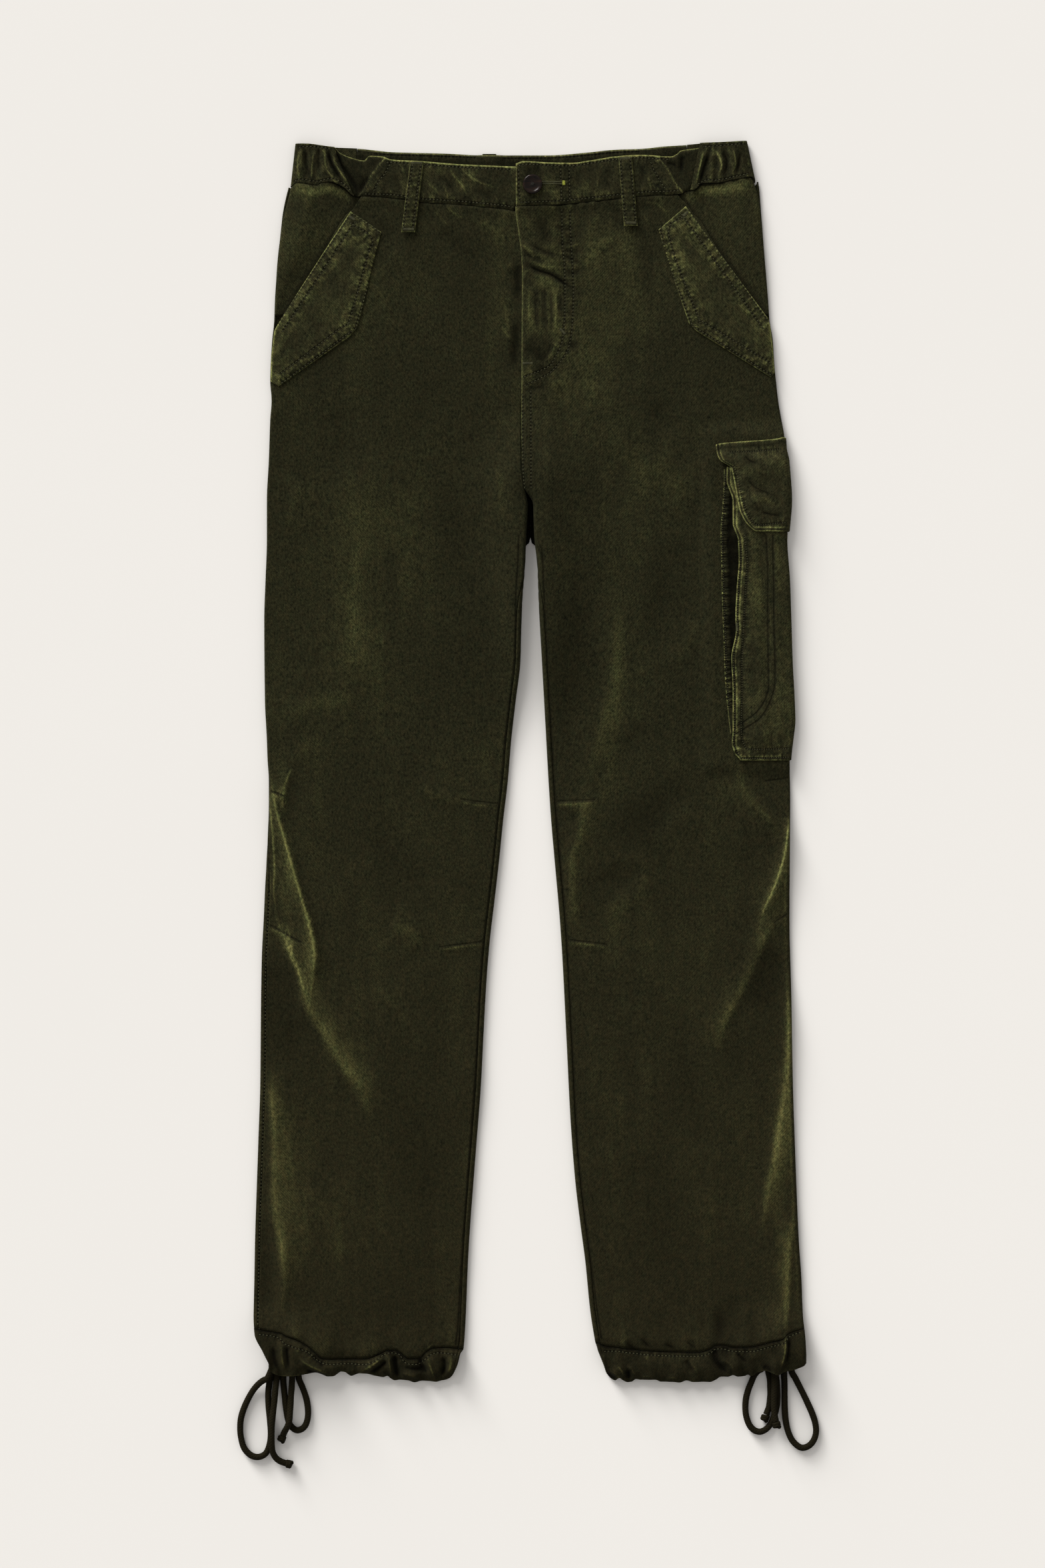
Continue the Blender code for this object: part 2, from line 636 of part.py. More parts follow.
def side_panel(leg):
    """Hip panel in the pocket opening: from the side fold to under the opening's edge."""
    rows = 6
    quarter = quarter_roll()

    def place(i, j, face):
        down = j / rows
        y = mix(500.0, PANEL_FOOT, down)
        for _ in range(3):
            # the top edge follows the waist seam, so x and y are found together
            out = out_edge(leg, y)
            opening = max(arc_at(slash_inset(leg, y)), 2.0)
            bend = max(opening, quarter + 2.0)
            line = spread(SEAM / 2, quarter, 3) + spread(quarter, bend, 5)[1:]
            line += spread(bend, bend + TUCK, 3)[1:]
            c = line[i]
            under = (CLOTH + SEAM) * ease((c + 0.5) / max(6.5, opening - 3.0))
            x, z = tube(out, in_edge(leg, y), c, under + face * CLOTH)
            y = mix(side_seam(x, c) - SEAM - 1.5 * ease(1.0 - c / 6.0), PANEL_FOOT, down)
        bulge = math.sin(math.pi * min(1.0, max(0.0, (c - SEAM) / opening)))
        z += SIDE_PUFF[leg] * bulge * ease((y - PANEL_FOOT) / 60.0) * ease((z - ROLL) / ROLL)
        return x, y, z

    return cloth(f"side_panel_{leg}", "twill", 8, rows, place)


def pocket_patch(leg):
    """Five-sided hip pocket patch on the front, along the slanted opening."""
    corners = {
        # opening top, opening foot, foot of the outer edge, inner top, inner corner, inner foot
        "right": (
            (-155.8, 479.0), (-222.0, 376.0), (-222.6, 330.0),
            (-129.0, 461.0), (-150.0, 376.0), (-218.2, 326.8),
        ),
        "left": (
            (136.0, 483.5), (209.0, 384.0), (212.3, 338.0),
            (112.3, 463.0), (138.8, 379.0), (209.0, 334.6),
        ),
    }[leg]
    rows, columns = 6, 3

    def along(points, share):
        """A point at a share of the way down one side of the patch."""
        bend = 0.6
        a, b, c = points
        if share <= bend:
            return [mix(p, q, share / bend) for p, q in zip(a, b)]
        return [mix(p, q, (share - bend) / (1 - bend)) for p, q in zip(b, c)]

    def place(i, j, face):
        outer = along(corners[:3], j / rows)
        inner = along(corners[3:], j / rows)
        x, y = (mix(p, q, i / columns) for p, q in zip(outer, inner))
        z = 2 * ROLL + fold_height(leg, x, y) + SEAM + (1 - face) * CLOTH
        return x, y, z

    return cloth(f"pocket_patch_{leg}", "patch", columns, rows, place)


# Where the gathered side pieces meet the front waistband: x, y at the top and at the seam
BAND_JOINTS = {
    "right": ((-170.5, 535.4), (-152.5, 493.6)),
    "left": ((148.0, 534.2), (139.5, 495.0)),
}


def waist_front(side):
    """Stiff front waistband piece; the left one laps over the right one."""
    columns, rows = 12, 2
    (top_x, top_y), (seam_x, seam_y) = BAND_JOINTS[side]
    end = FLY_EDGE[0] + (BAND_UNDERLAP if side == "right" else -0.6)
    tab_from, tab_to, tab_rise = BAND_TAB

    def place(i, j, face):
        share = i / columns
        x0 = mix(top_x, end, share)
        x1 = mix(seam_x, end, share)
        if side == "right" and i >= columns - 2:
            x0 = x1 = {columns - 2: tab_from, columns - 1: tab_to, columns: end}[i]
        elif side == "right":
            x0, x1 = (mix(x, tab_from, i / (columns - 2)) for x in (top_x, seam_x))
        y0 = top_y if i == 0 else waist("front_top", x0, side)
        y1 = seam_y if i == 0 else waist("seam", x1, side)
        if side == "right":
            y1 += tab_rise * ease((x1 - tab_from) / (tab_to - tab_from))
        x, y = mix(x0, x1, j / rows), mix(y0, y1, j / rows)
        z = 2 * BAND_ROLL - face * BAND
        if side == "left":
            z += BAND_STEP * ease((42.0 - x) / 28.0)
        return x, y, z

    return cloth(f"waistband_front_{side}", "band", columns, rows, place)


def waist_side(side):
    """Gathered side piece of the waistband, from the front round the side fold to the back."""
    gathers, front_columns, fold_columns, back_columns, rows = 5, 12, 4, 3, 2
    quarter = quarter_roll(BAND_ROLL)
    back_end = SIDE_BAND_BACK[0 if side == "right" else 1] - sign(side) * SEAM

    def edge_point(i, at_top, face):
        """A point of the band's top or bottom edge."""
        joint_x, joint_y = BAND_JOINTS[side][0 if at_top else 1]
        out = out_edge(side, 538.0 if at_top else 501.0)
        reach = arc_at(abs(joint_x - out) - SEAM, BAND_ROLL)
        if i <= front_columns:
            c = mix(reach, quarter, i / front_columns)
        elif i <= front_columns + fold_columns:
            c = mix(quarter, -quarter, (i - front_columns) / fold_columns)
        else:
            rear = arc_at(abs(back_end - out), BAND_ROLL)
            c = mix(-quarter, -rear, (i - front_columns - fold_columns) / back_columns)
        x, z = tube(out, 0.0, c, face * BAND, BAND_ROLL)
        if c >= quarter:
            wave = math.sin(math.pi * gathers * (c - quarter) / (reach - quarter)) ** 2
            z += 1.3 * wave * (0.7 + 0.3 * math.sin(5.0 * c))
        if i == 0:
            return x, joint_y, z
        return x, waist("back_top", x) if at_top else side_seam(x, c, BAND_ROLL), z

    def place(i, j, face):
        ends = edge_point(i, True, face), edge_point(i, False, face)
        return tuple(mix(a, b, j / rows) for a, b in zip(*ends))

    columns = front_columns + fold_columns + back_columns
    return cloth(f"waistband_side_{side}", "band", columns, rows, place)


def waist_back():
    """Back waistband, lying below the front one."""
    rows = (0.0, 0.5, 0.84, 1.0)
    stops = (SIDE_BAND_BACK[0], -110.0, -75.0, -54.0, -48.0, -42.0, -28.0, -22.0, -16.0)
    stops += (15.0, 50.0, 80.0, 110.0, SIDE_BAND_BACK[1])

    def place(i, j, face):
        x = stops[i]
        y = mix(waist("back_top", x), back_seam(x), rows[j])
        return x, y, face * BAND + lift(x, y)

    return cloth("waistband_back", "band", len(stops) - 1, len(rows) - 1, place)


def belt_loop(name):
    """Front belt loop over the waistband, its lower end folded under on the leg panel."""
    x0, y0, x1, y1 = LOOPS[name]
    stops = (0.0, 0.12, 0.48, 0.56, 0.66, 0.8, 1.0)
    width = LOOP_WIDTH

    def place(i, j, face):
        along = stops[j]
        x = mix(x0, x1, along) + (i - 1) * width / 2
        y = mix(y0, y1, along)
        down = ease((along - 0.56) / 0.24)
        z = mix(2 * BAND_ROLL, 2 * ROLL, down) + SEAM + (1 - face) * CLOTH
        return x, y, z

    return cloth(name, "band", 2, len(stops) - 1, place)


def back_loop():
    """Centre-back belt loop, under the back."""
    x0, top, bottom = BACK_LOOP

    def place(i, j, face):
        return x0 + (i - 1) * LOOP_WIDTH / 2, mix(top, bottom, j / 2), (1 - face) * CLOTH

    return cloth("belt_loop_back", "band", 2, 2, place)


def button():
    """Rimmed sew-through button on the lapped waistband."""
    x, y = BUTTON_AT
    base = 2 * BAND_ROLL + BAND_STEP + SEAM
    profile = (
        # radius, height
        (0.0, 0.0),
        (6.6, 0.0),
        (BUTTON_RADIUS, 1.2),
        (BUTTON_RADIUS, 2.0),
        (7.6, BUTTON_HEIGHT),
        (6.4, 2.5),
        (5.6, 1.9),
        (0.0, 1.7),
    )
    bm = bmesh.new()
    ring = [bm.verts.new((r * MM, 0.0, h * MM)) for r, h in profile]
    edges = [bm.edges.new(pair) for pair in zip(ring, ring[1:])]
    bmesh.ops.spin(
        bm, geom=ring + edges, cent=(0, 0, 0), axis=(0, 0, 1), angle=math.tau, steps=24, use_merge=True
    )
    bmesh.ops.remove_doubles(bm, verts=bm.verts[:], dist=1e-6)
    bmesh.ops.translate(bm, verts=bm.verts[:], vec=(x * MM, y * MM, base * MM))
    bmesh.ops.recalc_face_normals(bm, faces=bm.faces[:])
    thing = finished("button", "button", bm)
    thing.data.shade_smooth()
    thing.data.set_sharp_from_angle(angle=math.radians(35))
    return thing


def over_leg(x, y, c, offset, face):
    """A point of a layer outside the left leg's face."""
    raised = offset + (1 - face) * CLOTH
    return leg_point("left", y, c, -raised, folds=False)


def cargo_arc(x, y):
    """Arc position of a place on the left leg's top face."""
    return arc_at(out_edge("left", y) - x)


def pocket_height(c, y):
    """Height of the pocket's inner face over the leg: over the bellows strip, then falling to
    the folded edge, with a soft fullness."""
    edge = cargo_arc(smooth(CARGO_EDGES, 1, y) + GUSSET_WIDTH, y)
    over_strip = (CLOTH + SEAM) * ease((c - edge + 14.0) / 9.0)
    full = POCKET_PUFF * ease((c - 3.0) / 14.0) * ease((edge + 14.0 - c) / 14.0)
    full *= ease((y - POCKET_BOTTOM) / 25.0)
    return SEAM + over_strip * ease((y - POCKET_BOTTOM - 6.0) / 14.0) + full


def cargo_gusset():
    """Bellows strip of the cargo pocket: sewn to the leg in front of the pocket's rim."""
    rows = 7

    def place(i, j, face):
        y = mix(POCKET_TOP - 2.0, 24.0, j / rows)
        x = smooth(CARGO_EDGES, 1, y) + GUSSET_WIDTH * i / 2
        return over_leg(x, y, cargo_arc(x, y), SEAM, face)

    return cloth("cargo_gusset", "patch", 2, rows, place)


def cargo_line(start):
    """Arc positions across a cargo piece: over the top, round the fold and below."""
    quarter = quarter_roll()
    line = spread(start, quarter, CARGO_TOP_COLUMNS + 1)
    line += spread(quarter, -quarter, 2 * EDGE_COLUMNS + 1)[1:]
    return line + [-quarter - UNDER_ARM]


CARGO_TOP_COLUMNS = 5
CARGO_COLUMNS = CARGO_TOP_COLUMNS + 2 * EDGE_COLUMNS + 1


def cargo_pocket():
    """Cargo pocket body: its rim in front, over the thigh and round the leg's outer fold."""
    stops = (256, 240, 222, 204, 196, 186, 165, 140, 100, 62, 32, 16, 7, 1)

    def place(i, j, face):
        y = float(stops[j])
        rim = smooth(CARGO_EDGES, 2, y)
        c = cargo_line(cargo_arc(rim, y))[i]
        offset = pocket_height(c, y)
        if face == 0:
            # below the flap the rear part is doubled, down to the surface the garment lies on
            offset += (CLOTH + SEAM) * ease(-c / quarter_roll()) * ease((196.0 - y) / 10.0)
        return over_leg(0.0, y, c, offset, face)

    return cloth("cargo_pocket", "patch", CARGO_COLUMNS, len(stops) - 1, place)


def cargo_flap():
    """Flap over the pocket's top, sewn to the leg along its upper edge."""
    stops = (0.0, 0.1, 0.2, 0.32, 0.5, 0.75, 0.9, 1.0)

    def place(i, j, face):
        top = mix(FLAP_TOP_IN, FLAP_TOP_OUT, min(1.0, i / CARGO_TOP_COLUMNS))
        y = mix(top, FLAP_BOTTOM, stops[j])
        start = smooth(CARGO_EDGES, 3, y)
        c = cargo_line(cargo_arc(start, y))[i]
        below_top = ease((274.0 - y) / 13.0)
        offset = SEAM + below_top * (pocket_height(c, min(y, 250.0)) + CLOTH + SEAM)
        return over_leg(0.0, y, c, offset, face)

    return cloth("cargo_flap", "patch", CARGO_COLUMNS, len(stops) - 1, place)


def hem_casing(leg):
    """Turned-up hem that holds the cord: a band all round the leg, its ends meeting at the
    inner seam. Its columns are the leg panels' own."""
    rows = 2
    top_level, bottom_level = LEVELS[-1][1], -532.0

    def arcs(level):
        half = half_length(out_edge(leg, level), in_edge(leg, level))
        line = front_arcs(leg, level)[::-1]
        return line + [c - 2 * half for c in back_arcs(leg, level)[::-1][1:]]

    def place(i, j, face):
        down = j / rows
        level = mix(top_level, bottom_level, down)
        c = arcs(level)[i]
        x, z = tube(out_edge(leg, level), in_edge(leg, level), c, face * HEM_WALL)
        y = mix(hem(leg, "top", x), hem(leg, "bottom", x), down)
        z += ease((z - ROLL) / ROLL) * (fold_height(leg, x, y) + HEM_PROUD)
        return x, y, z + lift(x, y)

    return cloth(f"hem_casing_{leg}", "twill", len(arcs(top_level)) - 1, rows, place)


def bow_knot(name):
    """Knot of a bow, a rounded block under the hem's corner."""
    x, y, width, depth, height = BOWS[name]
    bm = bmesh.new()
    bmesh.ops.create_cube(bm, size=1.0)
    bmesh.ops.scale(bm, verts=bm.verts[:], vec=(width * MM, depth * MM, height * MM))
    bmesh.ops.bevel(
        bm, geom=bm.edges[:], offset=2.4 * MM, affect="EDGES", segments=2, profile=0.5, material=-1
    )
    bmesh.ops.translate(bm, verts=bm.verts[:], vec=(x * MM, y * MM, (0.1 + height / 2) * MM))
    return finished(name, "cord", bm)


def route_point(route, share):
    """A point at a share of the route, on a smooth curve through its points."""
    spans = len(route) - 1
    i = min(spans - 1, int(share * spans))
    t = share * spans - i
    before, a, b, after = (route[min(spans, max(0, k))] for k in (i - 1, i, i + 1, i + 2))
    return tuple(
        0.5 * (2 * q + (r - p) * t + (2 * p - 5 * q + 4 * r - s) * t * t + (3 * q - p - 3 * r + s) * t ** 3)
        for p, q, r, s in zip(before, a, b, after)
    )


def cord(name):
    """One visible stretch of drawcord, a plain tube."""
    route = CORDS[name]
    fine = [route_point(route, k / 200) for k in range(201)]
    length = sum(math.dist(a, b) for a, b in zip(fine, fine[1:]))
    count = round(length / CORD_STEP) + 1
    points, gone, goal = [fine[0]], 0.0, length / (count - 1)
    for a, b in zip(fine, fine[1:]):
        gone += math.dist(a, b)
        if gone >= goal * len(points) and len(points) < count - 1:
            points.append(b)
    points.append(fine[-1])
    curve = bpy.data.curves.new(name, "CURVE")
    curve.dimensions = "3D"
    curve.bevel_depth = CORD / 2 * MM
    curve.bevel_resolution = 2
    curve.use_fill_caps = True
    spline = curve.splines.new("POLY")
    spline.points.add(len(points) - 1)
    for point, (x, y, z) in zip(spline.points, points):
        point.co = (x * MM, y * MM, z * MM, 1.0)
    curve.materials.append(material(name, "cord"))
    bpy.context.collection.objects.link(bpy.data.objects.new(name, curve))


def cord_end(name):
    """Thickened end of a free cord, a short rounded barrel."""
    x, y, z, heading = CORD_ENDS[name]
    bm = bmesh.new()
    bmesh.ops.create_cone(
        bm, cap_ends=True, segments=12, radius1=CORD_END_RADIUS * MM, radius2=CORD_END_RADIUS * MM,
        depth=CORD_END_LENGTH * MM,
    )
    rims = [e for e in bm.edges if len({v.co.z > 0 for v in e.verts}) == 1]
    bmesh.ops.bevel(
        bm, geom=rims, offset=1.6 * MM, affect="EDGES", segments=2, profile=0.5, material=-1
    )
    thing = finished(name, "cord", bm)
    thing.location = (x * MM, y * MM, z * MM)
    thing.rotation_euler = (0.0, math.pi / 2, math.radians(heading))
    return thing


def main():
    for thing in list(bpy.data.objects):
        bpy.data.objects.remove(thing)
    for leg in ("right", "left"):
        front(leg)
        back(leg)
        side_panel(leg)
        pocket_patch(leg)
        waist_front(leg)
        waist_side(leg)
        hem_casing(leg)
    waist_back()
    for name in LOOPS:
        belt_loop(name)
    back_loop()
    button()
    cargo_gusset()
    cargo_pocket()
    cargo_flap()
    for name in BOWS:
        bow_knot(name)
    for name in CORDS:
        cord(name)
    for name in CORD_ENDS:
        cord_end(name)


main()
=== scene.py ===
"""Cargo pants laid flat with the front up, listed in the 3D view's sidebar.

Every cut piece is a sheet with its own wall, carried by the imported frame, and is sewn with real
thread. Tables are in millimetres, and MM turns them into metres. Sides are the wearer's: the right
leg lies at -X, +Y points from the hems to the waist, and +Z is up.
"""

import math
from functools import partial

import bmesh
import bpy
import numpy as np
from bpy.props import FloatProperty, FloatVectorProperty, PointerProperty
from mathutils import Matrix, Vector
from mathutils.bvhtree import BVHTree


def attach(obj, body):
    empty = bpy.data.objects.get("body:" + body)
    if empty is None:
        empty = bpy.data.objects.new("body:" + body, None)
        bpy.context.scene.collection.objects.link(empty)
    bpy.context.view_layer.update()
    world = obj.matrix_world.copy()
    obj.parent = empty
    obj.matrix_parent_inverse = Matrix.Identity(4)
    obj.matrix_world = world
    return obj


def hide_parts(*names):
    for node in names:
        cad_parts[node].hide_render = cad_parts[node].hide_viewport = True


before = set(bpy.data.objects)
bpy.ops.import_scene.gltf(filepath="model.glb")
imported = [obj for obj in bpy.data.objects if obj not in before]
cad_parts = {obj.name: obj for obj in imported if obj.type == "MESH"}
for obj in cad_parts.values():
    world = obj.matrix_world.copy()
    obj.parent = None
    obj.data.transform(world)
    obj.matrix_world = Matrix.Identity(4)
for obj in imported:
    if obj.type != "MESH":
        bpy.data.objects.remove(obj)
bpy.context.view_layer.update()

bl_info = {
    "name": "Cargo pants",
    "version": (1, 0, 0),
    "blender": (4, 5, 0),
    "location": "View3D > Sidebar > Cargo pants",
    "description": "Builds a pair of cargo pants, laid flat, from its cut and sewn pieces",
    "category": "Add Mesh",
}

MM = 0.001

# Cloth and seams
CLOTH = 1.2
BAND = 2.2
SEAM = 0.3
ROLL = 2.4
BAND_ROLL = 3.1
WRAP = 6.0
HEM_WALL = 1.8
HEM_PROUD = 0.6

# Fly, waistband and hems
FLY_STEP = 1.5
FLY_FOOT = 272.0
BAND_STEP = 2.5
BAND_TAB = (-14.0, -12.0, 5.1)
BAND_END = -11.3
BAND_UNDERLAP = 23.0
BACK_BAND_HEIGHT = 38.0
SIDE_BAND_BACK = {"right": -150.0, "left": 137.0}
CENTRE_BACK = 0.8
UNDERLAP = 7.0
CROTCH_DIP, CROTCH, BACK_CROTCH = 238.0, 222.0, 188.0
FORK_BLEND = 60.0
TOP_LEVEL, FOOT_LEVEL = 492.0, -496.0
DRAWN_FROM, DRAWN_OVER = 430.0, 60.0
# Shares of a leg panel's width up to which it keeps the tube's shape above the fork
FRONT_HELD, BACK_HELD = 0.4, 0.45

# Hip pockets: ends of the slanted opening, waist end first
SLASH = {"right": (-155.2, 481.7, -223.0, 376.0), "left": (135.4, 485.8, 212.0, 381.9)}
TUCK = 12.0
PANEL_FOOT = 388.5
SIDE_PUFF = {"right": 3.4, "left": 2.6}

# Cargo pocket on the left thigh
POCKET_TOP, POCKET_BOTTOM = 256.0, 1.0
FLAP_TOP_IN, FLAP_TOP_OUT, FLAP_BOTTOM = 275.5, 282.0, 200.0
GUSSET_WIDTH = 24.0
UNDER_ARM = 55.0
POCKET_PUFF = 1.6

BUTTON_AT = (2.6, 502.0)
BUTTON_RADIUS, BUTTON_HEIGHT = 8.5, 2.8
LOOP_WIDTH = 12.0
CORD = 5.5

# Paths below give their first point, then the step to each next one.

# Outlines by leg and side: y, x
EDGES = {"right_out": (
    537.9, -203.9, -22, -1.1, -7, -1.2, -6.9, -1.7, -7, -1.2, -6.4, -1.7, -17.4, -4.1, -17.4, -2.3, -17.4,
    -2.3, -17.4, -1.2, -17.4, -1.1, -17.4, -0.6, -17.4, -1.8, -17.4, -1.1, -17.4, -0.6, -17.4, 1.2, -17.4,
    -1.2, -34.8, -1.2, -34.8, -1.7, -34.8, 0, -34.8, -1.2, -34.8, -1.1, -69.6, 0.6, -34.8, 1.7, -17.4, 0.6,
    -17.3, 1.1, -17.4, 0, -34.8, -1.1, -34.8, -1.8, -34.9, -1.7, -34.7, -1.7, -34.8, -0.6, -69.6, -0.6,
    -52.2, -1.7, -34.8, -1.2, -52.2, -1.7, -34.8, -0.6, -34.8, -0.6, -15.7, 1.2, -13.4, 6.9, -11, 5.5,
), "right_in": (
    540.3, -1.4, -316.7, 0, -25, -1.2, -29, -1.2, -29, -2.3, -29, -1.1, -23.2, -0.6, -34.8, -4.1, -34.8, -4,
    -34.7, -2.9, -34.9, -4.1, -34.7, -3.5, -34.8, -4, -34.8, -4.1, -34.8, -2.9, -52.2, -2.9, -34.8, -1.7,
    -69.6, -5.3, -69.6, -5.2, -69.6, -4, -30.8, -3.5, -9.8, -2.3, -11.6, -10.5,
), "left_in": (
    540.3, 3.2, -316.7, 0, -25, 0.6, -29, 2.9, -29, 1.1, -52.2, 2.9, -52.2, 2.9, -52.1, 2.9, -34.9, 2.3,
    -34.7, 3, -52.3, 4.6, -34.7, 2.3, -69.6, 3.5, -69.7, 3.5, -52.1, 4, -34.9, 4.1, -34.7, 4.6, -34.8, 4.1,
    -34.8, 5.8, -13.4, 1.7, -17.4, 7.6, -5.2, 5.8,
), "left_out": (
    540.3, 188.5, -8.7, 3.2, -11.6, 1.4, -8.2, 0.9, -6.3, 1.2, -10.5, 3.4, -6.4, 1.2, -17.4, 1.7, -34.8,
    3.5, -34.8, 2.9, -17.4, 1.2, -17.4, 2.9, -17.4, 1.1, -34.8, 3.5, -17.4, 2.9, -14.4, 2.3, -20.4, 1.2,
    -34.8, 2.3, -34.8, -2.3, -34.8, 2.3, -34.8, 1.2, -34.8, 1.1, -34.8, 1.8, -17.4, 0.6, -17.4, -1.8, -17.4,
    -1.7, -34.7, 0.6, -104.5, -0.6, -69.5, 1.7, -69.6, 1.2, -69.6, 2.3, -69.6, 2.9, -34.8, 2.3, -34.8, 1.2,
    -17.4, 1.7, -19.2, 0.9,
)}
# Lines across the garment: x, y
LINES = {"back_top": (
    -203.9, 537.9, 8.1, 0, 25, -2.9, 23.2, -1.1, 29.6, -2.9, 45.8, -1.2, 29.6, -1.5, 59.7, 0, 29.6, 2.1,
    29.6, 2.9, 19.7, 0.6, 23.2, 2.3, 19.7, 1.2, 11.6, 1.1, 14.5, 0.6, 23.2, 1.2,
), "front_top_right": (
    -203.9, 537.9, 8.1, 0, 25, -2.3, 5.2, -5.2, 10.5, -4.6, 11, -2.4, 4.6, 4.1, 11, -0.6, 8.2, -2.9, 22,
    -1.1, 37.1, -2.9, 48.2, -2.1,
), "front_top_left": (
    -11.3, 520.5, 5.8, 1.8, 26.7, -1.2, 14.5, 0, 17.9, 2.3, 22.7, 3.5, 19.7, 1.2, 27.2, -1.2, 5.3, 2.3, 3.4,
    2.9, 12.8, 1.8, 20.3, 4.6, 22.6, 1.8,
), "seam_right": (
    -207.3, 500.8, 4.6, 2.9, 18, -2.3, 3.5, 2.3, 8.1, 0.6, 6.9, -2.3, 5.8, -3.5, 7.6, -6.4, 3.5, 0, 16.2, 0,
    13.3, -1.7, 12.2, -0.6, 12.2, -2.9, 26.7, -1.7, 22.6, -1.8, 22, -2.3, 13.4, -2.3,
), "seam_left": (
    -9.6, 483.4, 33.7, 1.2, 22.6, 2.3, 31.9, 3.5, 14.5, 1.7, 27.2, 1.2, 12.2, 1.1, 2.9, 1.8, 8.1, 1.1, 7,
    5.8, 9.9, 0, 16.8, 2.9, 15.6, 2.9,
), "hem_top_right": (
    -240.4, -492.7, 11.6, -2.3, 11.6, -1.8, 7, -3.4, 8.1, -2.9, 9.3, -5.3, 6.9, -6.4, 5.8, -4.6, 9.3, -0.6,
    27.8, 0, 11.1, 3.5, 7.5, 3.5, 7, 0.6, 6.3, -3.5, 5.3, -4.1, 10.4, 0.6, 5.8, 5.8, 5.8, 2.9, 10.4, 0.6,
    12.8, -1.2,
), "hem_top_left": (
    59.4, -505.5, 4.7, -2.9, 11.6, -1.7, 14.5, -1.7, 20.3, -1.8, 20.3, -0.6, 17.4, 0, 8.7, 2.4, 4.6, 3.4, 7,
    0.6, 8.7, -1.7, 14.5, 0.6, 8.7, 1.7, 8.7, 2.3, 9.8, 2.3, 5.3, 4.7, 14.5, 5.2,
), "hem_bottom_right": (
    -226.5, -528.1, 5.8, -3.5, 5.8, -1.7, 15.1, 0.6, 13.9, 1.7, 5.8, -1.7, 4.7, -1.8, 4.6, 0, 4, 2.4, 3,
    1.7, 3.4, -0.6, 2.9, -2.3, 2.4, -1.2, 3.4, 1.2, 4.1, 1.2, 7, -0.6, 7.5, -1.8, 5.8, -1.1, 3.5, 1.1, 2.9,
    -2.3, 3.5, -1.7, 4.6, 0.6, 7, -0.6, 5.8, -1.8, 5.8, 1.2, 7.5, 0, 5.8, -0.6, 4.6, 1.2, 5.3, 1.1, 4.6,
    4.1, 4.1, 7, 2.3, 8.7,
), "hem_bottom_left": (
    60.6, -520.5, 3.5, -5.8, 3.5, -7, 4, -4.1, 2.9, -1.1, 3.5, 2.3, 3.5, -2.3, 4, -1.8, 3.5, 0.6, 3.5, 2.3,
    4.6, -0.5, 12.8, 0, 4.6, -1.8, 10.5, 0, 5.8, -0.6, 5.8, 1.8, 5.8, -1.2, 14.5, 0, 5.8, 2.3, 4.1, 2.4,
    5.7, 0, 4.7, 1.7, 3.5, -1.2, 6.9, 0.6, 2.3, 1.2, 2.9, -1.2, 5.8, 3.5, 6.4, 1.7, 5.8, -1.7, 5.8, -1.7,
    4.7, 2.3, 8.1, 1.7, 8.7, 2.9, 2.9, 2.9,
)}
# Left front's edge, down to the fork: y, x
FLY_LINE = (
    488.6, -12.5, -9.8, 1.2, -26.1, 2.9, -28.4, 1.7, -48.2, -0.3, -51, -0.2, -33.7, -0.3, -34.8, 0.3, -14.5,
    1.7, -16.2, 3.5,
)
# Flat stretches raised from below: x0, x1, y0, y1, height and ramp
LIFTS = (
    (160.0, 260.0, -2.0, 284.0, 3.0, 14.0),
    (-42.0, -28.0, 497.0, 560.0, 1.5, 6.0),
    (-260.0, -200.0, -560.0, -514.0, 7.5, 48.0),
    (196.0, 260.0, -560.0, -514.0, 7.5, 48.0),
)

# Where the gathered side pieces meet the front waistband: x at the top and at the seam
BAND_JOINTS = {"right": (-170.5, -152.5), "left": (148.0, 139.5)}

# Edge of the stiff band's upper layer near each joint: y, x
BAND_STEPS = {
    "right": (524.6, -127.3, -6.9, -5.8, -8.2, -5.8, -11, -5.8, -6.4, -4.7),
    "left": (524.6, 114, -8.7, 6.9, -12.7, 7, -8.2, 6.4, -7.5, 2.3),
}

# Lines down the cargo pocket: y, x
CARGO_LINES = {"attach": (
    282.8, 169.1, -29.1, 0, -31.9, -1.2, -22, -1.7, -27.3, 0.6, -28.4, 0.5, -31.3, 1.2, -44.1, 1.7, -25.5,
    2.3, -30.2, 3.5, -12.1, 1.2,
), "rim": (
    282.8, 170.8, -20.4, 0.6, -17.9, 0, -18.6, 5.2, -18.6, 0, -15, 4.6, -19.8, 0.6, -13.3, -1.1, -34.2,
    -1.8, -9.9, 0.6, -24.9, -4.1, -27.9, 1.2, -35.3, 0, -9.9, -0.6, -8.7, 1.8, -7, 5.2,
), "flap": (
    282.8, 160.7, -8.8, 1.4, -5.2, 0.6, -6.4, 2.3, -6.9, 9.9, -15.1, 3.4, -19.7, 3.5, -11, 4.7, -8.2, 7.5,
    -2.3, 4.1,
)}
